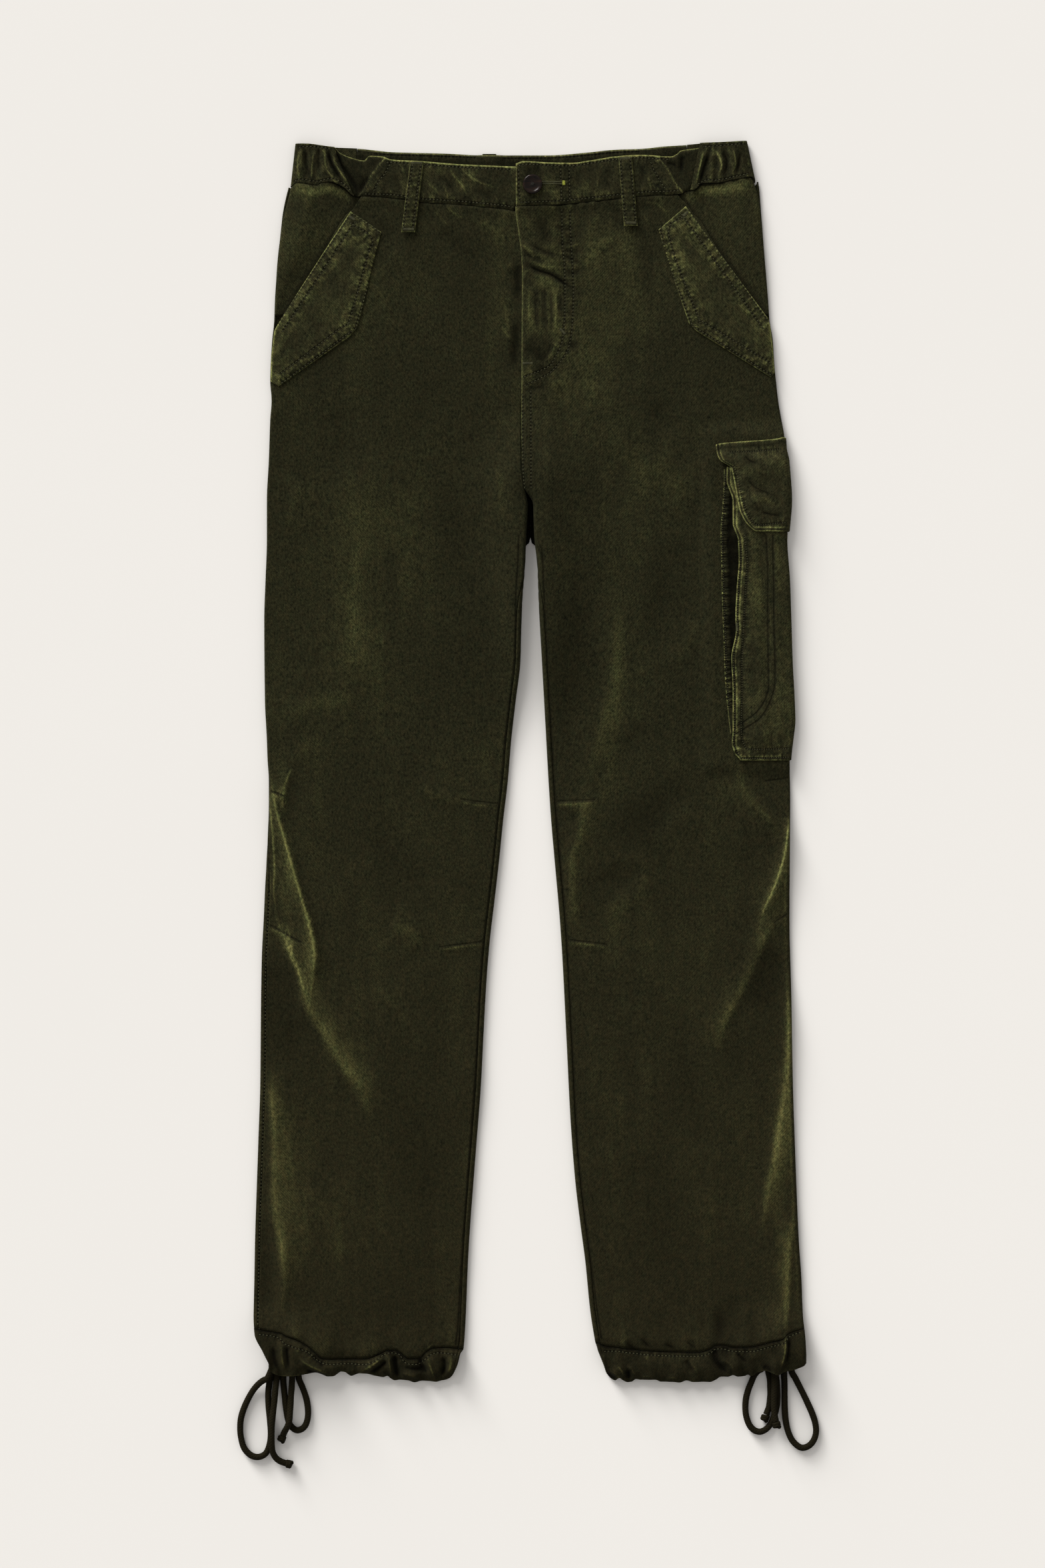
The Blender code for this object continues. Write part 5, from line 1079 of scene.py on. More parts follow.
def cloth_material(name):
    """Dyed twill of one weight, with its weave, wear, painted light and shade, and drawn seams."""
    lightness, pucker = FINISHES[name]

    def build(tree, where):
        cloth = bpy.context.scene.pants_cloth
        weave = add(tree, "ShaderNodeUVMap", "UV", uv_map="weave")
        tone, run, gap, near, edge, glow = (
            add(tree, "ShaderNodeAttribute", "Fac", attribute_name=label) for label in LAYERS
        )
        line = placed_group(tree, "sharp line", line_group, {"Gap": edge})["Line"] * glow
        rows = {"Run": run, "Gap": gap, "Near": near, "Stitch": bpy.context.scene.pants_trims.pitch}
        drawn = placed_group(tree, "pucker", pucker_group, rows)
        crest, groove, pit = drawn["Crest"], drawn["Groove"], drawn["Pit"]
        ribs = placed_group(tree, "twill", twill_group, {"Vector": weave})["Height"]
        # pucker crests painted lighter and troughs darker, as light and shade; the seam's groove and the
        # thread's pits painted darker, as shade; crease lines add painted highlight and shade
        shown = tone + crest * (0.45 * pucker) - groove * 0.25 - pit * 0.75 + line * 1.6
        look = {"Vector": where, "Tone": shown + (ribs - 0.7) * 0.25}
        for label, colour in (("Cloth", cloth.colour), ("Worn", cloth.worn), ("Deep", cloth.deep)):
            look[label] = scaled(colour, lightness)
        # dyed colour with its rubbing, painted light and painted shade
        dyed = placed_group(tree, "dye", dye_and_light_group, look)
        surface = ribs * 0.10 + dyed["Grain"] * 0.3 + crest * (0.4 * pucker) - groove * 0.25 - pit * 0.35
        surface = surface + dyed["Cloud"] * 0.45 + line * 0.5
        return {
            "Base Color": dyed["Color"], "Roughness": dyed["Roughness"], "Specular IOR Level": 0.03,
            "Sheen Weight": cloth.sheen, "Sheen Roughness": 0.5, "Sheen Tint": (0.75, 0.78, 0.5, 1.0),
            "Normal": bump(surface, 1.0, MM),
        }

    return material(name, build)


def thread_material(kind="thread"):
    """Cotton thread in one of the trims' colours."""

    def build(tree, where):
        colour = getattr(bpy.context.scene.pants_trims, kind)
        fleck = clamped(noise(where, 260.0, 2.0) - 0.3, 2.2)
        twist = noise(where, 2400.0, 1.0)
        return {
            "Base Color": blended(fleck, scaled(colour, 0.42), scaled(colour)), "Specular IOR Level": 0.25,
            "Roughness": 0.6 + twist * 0.3, "Normal": bump(twist, 0.6, 0.0003),
        }

    return material("sewing_" + kind, build)


def braid_material():
    """Round braided cord: two crossing families of yarns."""

    def build(tree, where):
        colour = bpy.context.scene.pants_trims.cord
        wound = add(tree, "ShaderNodeUVMap", "UV", uv_map="weave")
        around, along = (add(tree, "ShaderNodeSeparateXYZ", k, {0: wound}) for k in (0, 1))
        families = [calc("SINE", around * (10 * math.pi) + along * way) for way in (2600.0, -2600.0)]
        over = calc("MAXIMUM", *families)
        fuzz = noise(where, 1500.0, 2.0)
        # colour painted lighter where the yarns ride up and darker between them, as light and shade, with
        # uneven fuzz
        share = calc("ADD", over * 0.15, fuzz * 0.75, clamp=True)
        return {
            "Base Color": blended(share, scaled(colour, 0.35), scaled(colour, 1.4)),
            "Roughness": 0.62 + fuzz * 0.3, "Specular IOR Level": 0.04,
            "Normal": bump(over * 0.14 + fuzz * 0.12, 1.0, MM),
        }

    return material("braid", build)


def button_material():
    """Polished dark resin with faint streaks."""

    def build(tree, where):
        colour = bpy.context.scene.pants_trims.button
        stretch = {"Vector": where, "Rotation": (0.0, 0.0, 0.9), "Scale": (90.0, 420.0, 90.0)}
        streak = noise(add(tree, "ShaderNodeMapping", 0, stretch), 1.0, 3.0, Distortion=0.8)
        warm = tuple(c * m for c, m in zip(colour[:3], (3.4, 2.4, 1.9))) + (1.0,)
        return {
            "Base Color": blended(clamped(streak - 0.42, 3.0), scaled(colour), warm),
            "Roughness": 0.16 + streak * 0.16, "Specular IOR Level": 0.13,
            "Normal": bump(noise(where, 900.0, 1.0), 0.15, 0.0002),
        }

    return material("button_resin", build)


def floor_material():
    """Even, very slightly uneven floor."""

    def build(tree, where):
        colour = bpy.context.scene.pants_stage.floor
        return {
            "Base Color": blended(noise(where, 3.0, 2.0), scaled(colour, 0.985), scaled(colour)),
            "Roughness": 0.95, "Specular IOR Level": 0.0,
        }

    return material("floor", build)


# ---- Leg panels


def ends_drawn(level, seam, foot):
    """y of a panel's point: its level, drawn to the waist seam above and the hem's row below."""
    y = level + (seam - SEAM - TOP_LEVEL) * ease((level - DRAWN_FROM) / DRAWN_OVER)
    return y + (foot + SEAM - FOOT_LEVEL) * ease((-DRAWN_FROM - level) / DRAWN_OVER)


def gathers(leg, x, y):
    """Folds that run up from the drawn hem."""
    foot = hem_line(leg, x)
    above = np.maximum(y - foot, 0.0)
    pleat = ripple(x, 0.12 * y, 8.5, 21) + 0.6 * ripple(x, 0.2 * y, 4.6, 23)
    height = 1.3 * pleat * np.exp(-above / 17.0) * ease(above / 3.0)
    height += 1.5 * ease(above / 9.0) * np.exp(-above / 26.0)
    # the pleats are painted lighter where they rise and darker where they sink, as light and shade; the tone
    # is also darker along the panel's foot
    tone = 0.28 * pleat * np.exp(-above / 15.0)
    return height, tone - 0.25 * bell(above, 2.2)


def front(leg):
    """Front leg panel, from the pocket opening or the outer fold to the fly or the inner seam."""
    side = sign(leg)

    def place(u, v):
        level = mix(TOP_LEVEL, FOOT_LEVEL, np.interp(v, (0.0, 0.3, 1.0), (0.0, 0.175, 1.0)))
        out, inner = outline(leg, level)
        half = half_length(out, inner)
        inset = slash_inset(leg, level)
        start = np.maximum(arc_at(inset + 2.0 * ease(inset / ROLL)), back_wrap(leg, level) + SEAM / 2)
        stop = half - mix(-0.9, WRAP, ease((BACK_CROTCH - level) / FORK_BLEND))
        spread = (7.0, 50.0, start, stop, (0.08, 0.36))
        c = margins(u, *spread)
        x, z = tube(out, inner, c)
        flat = 1.0 - ease((CROTCH_DIP - level) / (CROTCH_DIP - CROTCH))
        edge = follow(FLY_LINE, level) - side * SEAM / 2
        if leg == "right":
            edge = edge + UNDERLAP * ease((level - 312.0) / 20.0)
        hold = margins(FRONT_HELD + 0.0 * u, *spread)
        held, _ = tube(out, inner, hold)
        share = np.clip((c - hold) / (stop - hold), 0.0, 1.0)
        x = np.where(u > FRONT_HELD, mix(x, mix(held, edge, share), flat), x)
        z = np.where(u > FRONT_HELD, mix(z, 2 * ROLL, flat), z)
        y = ends_drawn(level, seam_line(leg, x), hem_line(leg, x))
        height, tone = relief(leg, x, y)
        drawn, shade = gathers(leg, x, y)
        on_top = ease((z - ROLL) / ROLL)
        z = z * fullness(x, y) + (height + drawn) * on_top + lift(x, y)
        tone += shade
        if leg == "left":
            z += FLY_STEP * ease((38.0 - x) / 34.0) * ease((y - FLY_FOOT) / 25.0) * flat
            lap = ease((y - 250.0) / 20.0)
            rim = np.abs(x - edge)
            z -= rounded(rim, 1.0) * lap
            tone += worn_edge(rim, 0.55, 0.8) * lap
        # the crotch seam sinks between the legs, and its tone is darkened there as painted shade
        sunk = ease((266.0 - y) / 34.0) * ease((y - 214.0) / 12.0) * ease(1.0 - np.abs(x - edge) / 13.0)
        z -= 1.6 * sunk * flat
        tone -= 0.3 * sunk
        waist = seam_line(leg, x) - y
        met = 2 * (BAND_ROLL - ROLL) - 0.2
        if leg == "left":
            met = met + (BAND_STEP - FLY_STEP) * ease((42.0 - x) / 28.0)
        z = z + met * bell(waist, 7.0) - 0.7 * bell(waist, 1.2)
        drawn = ripple(x, 0.35 * y, 5.0, 31)
        z += 0.5 * drawn * np.exp(-waist / 9.0)
        # painted shade along the groove under the waistband, and painted light and shade on the puckers
        # below it
        tone = tone - 0.45 * bell(waist, 1.2) + 0.3 * drawn * np.exp(-waist / 8.0)
        tone += 0.22 * bell(np.abs(x - inner) - 3.0, 1.2) * ease((190.0 - y) / 20.0)
        tone += 0.22 * bell(np.abs(x - out) - 4.0, 1.4) * ease((-60.0 - y) / 60.0)
        return x, y, z, tone, c

    return sheet(
        f"front_{leg}", 100, 432, place, CLOTH, "twill", leg == "left",
        creased=leg,
    )


def back(leg):
    """Back leg panel: flat below, wrapped over the folded edges to the seams."""
    side = sign(leg)

    def place(u, v):
        level = mix(TOP_LEVEL, FOOT_LEVEL, v)
        out, inner = outline(leg, level)
        half, quarter = half_length(out, inner), quarter_roll()
        share = ease((BACK_CROTCH - level) / FORK_BLEND)
        start = half - mix(-quarter, WRAP, share) + SEAM * 1.5
        stop = 2 * half + back_wrap(leg, level) - SEAM / 2
        spread = (14.0, 12.0, start, stop)
        c = margins(u, *spread)
        x, z = tube(out, inner, c)
        joined = ease((level - BACK_CROTCH + 1.0) / 5.0)
        hold = margins(BACK_HELD + 0.0 * u, *spread)
        held, _ = tube(out, inner, hold)
        edge = CENTRE_BACK - side * 0.02
        near = np.clip((c - start) / (hold - start), 0.0, 1.0)
        x = np.where(u < BACK_HELD, mix(x, mix(edge, held, near), joined), x)
        z = np.where(u < BACK_HELD, mix(z, 0.0, joined), z)
        around = c - 2 * half
        seam = mix(seam_line(leg, x), back_seam(x), ease(0.5 - around / (2 * quarter)))
        y = ends_drawn(level, seam, hem_line(leg, x))
        height, tone = relief(leg, x, y)
        on_top = ease((z - ROLL) / ROLL)
        hollow = 0.35 * np.clip(ripple(x, 0.6 * y, 34.0, 41), 0.0, 1.0) * (1.0 - on_top)
        z = z * fullness(x, y) + height * on_top + hollow + lift(x, y)
        tone = tone * on_top + (0.15 * ripple(x, 0.4 * y, 38.0, 43) + 0.5 * hollow) * (1.0 - on_top)
        # the back's inner face seen between the legs below the fork is painted dark, as shade
        fork = ease((y - 170.0) / 12.0) * ease((260.0 - y) / 20.0) * (np.abs(x) < 18.0)
        tone -= 1.6 * (1.0 - on_top) * fork
        return x, y, z, tone, c

    return sheet(
        f"back_{leg}", 72, 200, place, CLOTH, "twill", leg == "left", creased=leg
    )


def side_panel(leg):
    """Hip panel in the pocket opening: from the side fold to under the opening's edge."""
    quarter = quarter_roll()

    def place(u, v):
        y = mix(500.0, PANEL_FOOT, v)
        for _ in range(4):
            out, inner = outline(leg, y)
            opening = np.maximum(arc_at(slash_inset(leg, y)), 2.0)
            c = mix(SEAM / 2, np.maximum(opening, quarter + 2.0) + TUCK, u**1.5)
            under = (CLOTH + SEAM) * ease((c + 0.5) / np.maximum(6.5, opening - 3.0))
            x, z = tube(out, inner, c, -under)
            seam = mix(seam_line(leg, x), back_seam(x), ease(0.5 - c / (2 * quarter)))
            y = mix(seam - SEAM - 1.5 * ease(1.0 - c / 6.0), PANEL_FOOT, v)
        bulge = np.sin(math.pi * np.clip((c - SEAM) / opening, 0.0, 1.0))
        z += SIDE_PUFF[leg] * bulge * ease((y - PANEL_FOOT) / 60.0) * ease((z - ROLL) / ROLL)
        below = seam - y
        drawn = ripple(x, 0.3 * y, 8.0, 51) * np.exp(-below / 22.0)
        soft = ripple(x, y, 30.0, 53) * 0.5 + ripple(x, y, 12.0, 55) * 0.2
        z += (1.1 * drawn + soft * ease(below / 20.0)) * ease((z - ROLL) / ROLL)
        # gathers and swells painted lighter where they rise and darker where they sink, as light and shade,
        # and painted shade under the waistband
        tone = 0.3 * drawn + 0.12 * soft - 0.25 * bell(below, 1.6)
        # a painted highlight along the top of the puffed panel, and painted shadow under the opening's edge
        rim = bell(below - 6.0, 4.5) * bulge
        tone = tone + 0.5 * rim - 0.55 * ease((c - opening + 6.0) / 6.0) + 0.12
        return x, y, z, tone, c

    return sheet(
        f"side_panel_{leg}", 44, 56, place, CLOTH, "twill", leg == "left"
    )


# Hip pocket patches: points down the opening's edge and down the inner edge
PATCH_EDGES = {
    "right": (
        (-155.8, 479, -178, 445.2, -200, 411, -222, 376, -225, 352, -225.6, 331),
        (-129, 461, -137, 430, -143.6, 402, -150, 378, -156.5, 370, -218.6, 326.4),
    ),
    "left": (
        (136, 483.5, 160, 450.4, 185, 416.2, 209, 384, 212, 360, 213.4, 338.4),
        (112.3, 463, 121, 435, 130, 407, 138.8, 381, 145.5, 374.5, 210, 334.4),
    ),
}
PATCH_STOPS = (0.0, 0.2, 0.4, 0.58, 0.66, 1.0)
PATCH_LENGTH = 150.0


def pocket_patch(leg):
    """Five-sided hip pocket patch on the front, along the slanted opening."""
    outer, inner = PATCH_EDGES[leg]

    def place(u, v):
        u, down = crowd(u, 0.9), crowd(v, 0.8)
        ends = []
        for line in (outer, inner):
            ends.append([np.interp(down, PATCH_STOPS, line[k::2]) for k in (0, 1)])
        (x0, y0), (x1, y1) = ends
        x, y = mix(x0, x1, u), mix(y0, y1, u)
        face, tone = skin(leg, x, y)
        wide = np.hypot(x1 - x0, y1 - y0)
        to_open, to_inner = u * wide, (1.0 - u) * wide
        to_top, to_foot = down * PATCH_LENGTH, (1.0 - down) * PATCH_LENGTH
        gap = np.minimum(np.minimum(to_open, to_inner), np.minimum(to_top, to_foot))
        z = face + SEAM + CLOTH - rounded(gap, 1.0)
        z += (ease(gap / 9.0) * 0.8 + 0.3 * ripple(x, y, 11.0, 61) * ease(gap / 3.0))
        banded = ease((17.0 - gap) / 1.5)
        mottle = ripple(x, y, 3.4, 65)
        z += 0.25 * mottle * banded * ease(gap / 2.0)
        # the band's puckers are painted lighter where they rise and darker where they sink, as light and
        # shade
        tone = 0.6 * tone + 0.1 * ripple(x, y, 9.0, 63) + 0.2 * mottle * banded + 0.1 * banded + 0.12
        tone = tone + worn_edge(to_open, 1.0, 1.2) + worn_edge(to_inner, 0.6, 0.9)
        tone += worn_edge(to_top, 0.6, 0.9)
        return x, y, z, tone, x

    return sheet(
        f"pocket_patch_{leg}", 60, 84, place, CLOTH, "patch_twill", leg == "left",
    )


# ---- Waistband


def waist_front(side):
    """Stiff front waistband piece; the left one laps over the right one."""
    top_x, seam_x = BAND_JOINTS[side]
    end = BAND_END + (BAND_UNDERLAP if side == "right" else -0.6)
    tab_from, tab_to, tab_rise = BAND_TAB

    def place(u, v):
        if side == "right":
            # the far tenth is the plain tab under the left band
            main = np.clip(u / 0.9, 0.0, 1.0)
            past = np.clip((u - 0.9) / 0.1, 0.0, 1.0)
            x0, x1 = mix(top_x, tab_from, main), mix(seam_x, tab_from, main)
            x0, x1 = mix(x0, end, past), mix(x1, end, past)
        else:
            share = crowd(u, 0.6)
            x0, x1 = mix(top_x, end, share), mix(seam_x, end, share)
        down = crowd(v, 0.88)
        y0 = follow(LINES["front_top_" + side], x0)
        y1 = seam_line(side, x1)
        if side == "right":
            y1 = y1 + tab_rise * ease((x1 - tab_from) / (tab_to - tab_from))
        x, y = mix(x0, x1, down), mix(y0, y1, down)
        to_top, to_seam = down * (y0 - y1), (1.0 - down) * (y0 - y1)
        z = 2 * BAND_ROLL + 0.0 * x
        if side == "left":
            z += BAND_STEP * ease((42.0 - x) / 28.0)
        height, tone = relief(side, x, y)
        body = ease(np.minimum(to_top, to_seam) / 5.0)
        z = z + (height + 0.35) * body - rounded(to_top, 1.1) - 0.7 * bell(to_seam, 1.4)
        lower = ripple(x, 0.35 * y, 5.0, 71) * np.exp(-to_seam / 7.0)
        upper = ripple(x, 0.35 * y, 4.0, 75) * np.exp(-to_top / 4.0)
        z = z + 0.45 * lower + 0.25 * upper
        # the puckers are painted lighter where they rise and darker where they sink, as light and shade
        tone = tone + 0.4 * lower + 0.3 * upper + 0.22 * ripple(x, 0.6 * y, 7.0, 73)
        tone = tone + worn_edge(to_top, 1.35, 1.5) - 0.35 * bell(to_seam, 1.0)
        step_x = follow(BAND_STEPS[side], y)
        past_step = sign(side) * (x - step_x)
        under = ease(0.5 - past_step / 1.2)
        z -= 1.5 * under
        # the tucked-under wedge beside the step is painted darker, as shade
        tone = tone - 0.5 * under + 0.5 * bell(past_step - 0.8, 1.0)
        if side == "left":
            to_end = x - end
            z -= rounded(to_end, 1.0)
            tone += worn_edge(to_end, 0.6, 0.9)
        return x, y, z, tone, x

    return sheet(
        f"waistband_front_{side}", 150, 30, place, BAND, "band_twill", side == "left",
        creased=side,
    )


def waist_side(side):
    """Gathered side piece of the waistband, from the front round the side fold to the back."""
    quarter = quarter_roll(BAND_ROLL)
    back_end = SIDE_BAND_BACK[side] - sign(side) * SEAM

    def edge_points(u, at_top):
        joint_x = BAND_JOINTS[side][0 if at_top else 1]
        out = out_edge(side, 538.0 if at_top else 501.0)
        reach = arc_at(abs(joint_x - out) - SEAM, BAND_ROLL)
        rear = arc_at(abs(back_end - out), BAND_ROLL)
        c = np.where(u < 0.6, mix(reach, quarter, u / 0.6), mix(quarter, -quarter, (u - 0.6) / 0.15))
        c = np.where(u > 0.75, mix(-quarter, -rear, (u - 0.75) / 0.25), c)
        x, z = tube(out, 0.0, c, 0.0, BAND_ROLL)
        around = ease(0.5 - c / (2 * quarter))
        y = top_line(x) if at_top else mix(seam_line(side, x), back_seam(x), around)
        return x, y, z, c, np.clip((c - quarter) / (reach - quarter), 0.0, 1.0)

    def place(u, v):
        down = crowd(v, 0.85)
        x0, y0, z0, c0, s0 = edge_points(u, True)
        x1, y1, z1, c1, s1 = edge_points(u, False)
        x, y, z = mix(x0, x1, down), mix(y0, y1, down), mix(z0, z1, down)
        s = mix(s0, s1, down)
        front = ease(s * 12.0)
        stray = 0.35 * ripple(30.0 * s, 8.0 * down, 5.0, 81 if side == "right" else 83)
        wave = np.abs(np.cos(math.pi * (5.0 * s + stray + 0.12 * np.sin(2.6 * down))))
        swell = (1.0 - wave**1.5) * (0.75 + 0.4 * ripple(40.0 * s, 0.0 * s, 7.0, 85))
        pinch = mix(0.55, 1.0, np.sin(math.pi * np.clip(down, 0.0, 1.0)))
        height, tone = relief(side, x, y)
        z += (1.1 * swell * pinch + 1.2 * height * pinch + 0.9 + 0.25 * ripple(x, y, 5.0, 87)) * front
        tall = y0 - y1
        to_top, to_seam = down * tall, (1.0 - down) * tall
        z = z - rounded(to_top, 1.1) * front - 0.6 * rounded(to_seam, 0.8) * front
        # the ruches are painted lighter on their swells and darker between them, as light and shade
        tone = (tone + 0.3 * swell - 0.08) * front + 0.2 * ripple(x, y, 5.0, 89)
        tone = tone + worn_edge(to_top, 0.5, 1.0) * (0.4 + 0.6 * swell) - 0.3 * bell(to_seam, 1.1)
        return x, y, z, tone, mix(c0, c1, down)

    return sheet(
        f"waistband_side_{side}", 130, 26, place, BAND, "band_twill", side == "right",
        creased=side,
    )


def waist_back():
    """Back waistband, lying below the front one."""

    def place(u, v):
        x = mix(SIDE_BAND_BACK["right"], SIDE_BAND_BACK["left"], crowd(u, 0.4))
        down = crowd(v, 0.85)
        y0, y1 = top_line(x), back_seam(x)
        y = mix(y0, y1, down)
        drawn = bell(y0 - y - 7.0, 0.8)
        z = lift(x, y) + 0.0 * x
        to_top = y0 - y
        z += rounded(to_top, 1.0) * 0.5
        tone = -0.25 + 0.14 * ripple(x, 0.4 * y, 12.0, 91) + worn_edge(to_top, 0.75, 0.9) - 0.3 * drawn
        return x, y, z, tone, x

    return sheet("waistband_back", 190, 16, place, BAND, "band_twill", True)


def belt_loop(name):
    """Front belt loop over the waistband, its lower end folded under on the leg panel."""
    x0, y0, x1, y1 = LOOPS[name]

    def place(u, v):
        across, along = crowd(u, 0.8), crowd(v, 0.5)
        x = mix(x0, x1, along) + (across - 0.5) * LOOP_WIDTH
        y = mix(y0, y1, along)
        down = ease((along - 0.56) / 0.24)
        z = mix(2 * BAND_ROLL + 0.6, 2 * ROLL + 0.6, down) + SEAM + CLOTH
        length = math.hypot(x1 - x0, y1 - y0)
        side_gap = np.minimum(across, 1.0 - across) * LOOP_WIDTH
        end_gap = np.minimum(along, 1.0 - along) * length
        z = z - rounded(side_gap, 1.0) - 0.8 * rounded(end_gap, 1.0)
        fold = ease((along - 0.79) / 0.02)
        z = z + 0.8 * fold + 0.35 * np.sin(math.pi * across) - 0.35 * bell(along - 0.03, 0.02)
        z += 0.12 * ripple(x, y, 3.2, 95)
        tone = worn_edge(side_gap, 0.5, 0.9) + worn_edge(end_gap, 0.6, 0.9) + 0.16 * ripple(x, y, 4.5, 97)
        tone = tone - 0.6 * bell((along - 0.785) * length, 0.9) + 0.1
        return x, y, z, tone, x

    return sheet(
        name, 22, 90, place, CLOTH, "band_twill", False,
    )


def back_loop():
    """Centre-back belt loop, under the back."""
    x0, top, bottom = BACK_LOOP

    def place(u, v):
        across, along = crowd(u, 0.6), crowd(v, 0.5)
        x = x0 + (across - 0.5) * LOOP_WIDTH
        y = mix(top, bottom, along)
        side_gap = np.minimum(across, 1.0 - across) * LOOP_WIDTH
        return x, y, 0.3 * rounded(side_gap, 0.8), worn_edge(side_gap, 0.4, 0.9), x

    return sheet("belt_loop_back", 12, 24, place, CLOTH, "band_twill", True)


def button():
    """Rimmed sew-through button, sewn on with crossed thread."""
    x, y = BUTTON_AT
    base = 2 * BAND_ROLL + BAND_STEP + SEAM
    profile = (
        (0.0, 0.0), (6.4, 0.0), (8.0, 0.5), (BUTTON_RADIUS, 1.3), (BUTTON_RADIUS, 1.9), (8.1, 2.5),
        (7.4, BUTTON_HEIGHT), (6.7, 2.7), (6.0, 2.2), (5.2, 1.8), (3.6, 1.62), (0.0, 1.6),
    )
    bm = bmesh.new()
    ring = [bm.verts.new((r * MM, 0.0, h * MM)) for r, h in profile]
    edges = [bm.edges.new(pair) for pair in zip(ring, ring[1:])]
    bmesh.ops.spin(
        bm, geom=ring + edges, cent=(0, 0, 0), axis=(0, 0, 1), angle=math.tau, steps=48, use_merge=True
    )
    bmesh.ops.remove_doubles(bm, verts=bm.verts[:], dist=1e-6)
    bmesh.ops.translate(bm, verts=bm.verts[:], vec=(x * MM, y * MM, base * MM))
    carried(finished("button_resin", bm, button_material()), "button", "button")
    bm = bmesh.new()
    for turn in (0.5, 0.5 + math.pi / 2):
        for shift in (-0.45, 0.45):
            spin = Matrix.Rotation(turn, 4, "Z")
            at = Vector((x * MM, y * MM, (base + 1.75) * MM)) + spin @ Vector((0.0, shift * MM, 0.0))
            scale = Matrix.Diagonal((2.3, 0.42, 0.45, 1.0))
            shape = Matrix.Translation(at) @ spin @ scale
            bmesh.ops.create_icosphere(bm, subdivisions=2, radius=MM, matrix=shape)
    carried(finished("button_thread", bm, thread_material("cord")), "button")


# ---- Cargo pocket


def cargo_line(name, y):
    return follow(CARGO_LINES[name], y)


def cargo_arc(x, y):
    """Arc position of a place on the left leg's top face."""
    return arc_at(out_edge("left", y) - x)


def over_leg(y, c, raised):
    """A point of a layer outside the left leg's face, which carries the leg's own soft shape."""
    x, z = tube(*outline("left", y), c, raised)
    height, tone = relief("left", x, y)
    return x, z + 0.8 * height * ease((z - ROLL) / ROLL) + lift(x, y), tone


def pocket_height(c, y):
    """Height of the pocket's inner face over the leg: over the bellows strip, then falling to
    the folded edge, with a soft fullness."""
    edge = cargo_arc(cargo_line("attach", y) + GUSSET_WIDTH, y)
    over_strip = (CLOTH + SEAM) * ease((c - edge + 14.0) / 9.0)
    full = POCKET_PUFF * ease((c - 3.0) / 14.0) * ease((edge + 14.0 - c) / 14.0)
    full = full * ease((y - POCKET_BOTTOM) / 25.0)
    return SEAM + over_strip * ease((y - POCKET_BOTTOM - 6.0) / 14.0) + full


def cargo_across(u, start):
    """Arc positions across a cargo piece: over the top, round the fold and below."""
    quarter = quarter_roll()
    top = mix(start, quarter, crowd(np.clip(u / 0.7, 0.0, 1.0), 0.7))
    fold = mix(quarter, -quarter, (u - 0.7) / 0.15)
    below = mix(-quarter, -quarter - UNDER_ARM, (u - 0.85) / 0.15)
    return np.where(u < 0.7, top, np.where(u < 0.85, fold, below))


def cargo_gusset():
    """Bellows strip of the cargo pocket: sewn to the leg in front of the pocket's rim."""

    def place(u, v):
        y = mix(POCKET_TOP - 2.0, 24.0, crowd(v, 0.4))
        across = crowd(u, 0.7)
        x = cargo_line("attach", y) + GUSSET_WIDTH * across
        x, z, tone = over_leg(y, cargo_arc(x, y), SEAM + CLOTH)
        gap = across * GUSSET_WIDTH
        tuck = bell(gap - 8.5, 3.0)
        z = z - rounded(gap, 1.0) + 0.35 * bell(gap - 4.0, 2.0) - 0.8 * tuck
        pleat = ripple(0.3 * x, y, 3.6, 101)
        z += 0.25 * pleat * ease(gap / 2.0)
        # the pleats are painted lighter where they rise and darker where they sink, as light and shade
        tone = 0.4 * tone + worn_edge(gap, 0.75, 0.9) + (0.6 * pleat - 0.25) * ease(gap / 2.0)
        # the strip's far part, under the pocket's rim, is painted dark, as shade
        tone -= 1.0 * ease((gap - 4.0) / 3.5)
        return x, y, z, tone, x

    return sheet(
        "cargo_gusset", 26, 150, place, CLOTH, "gusset_twill", False
    )


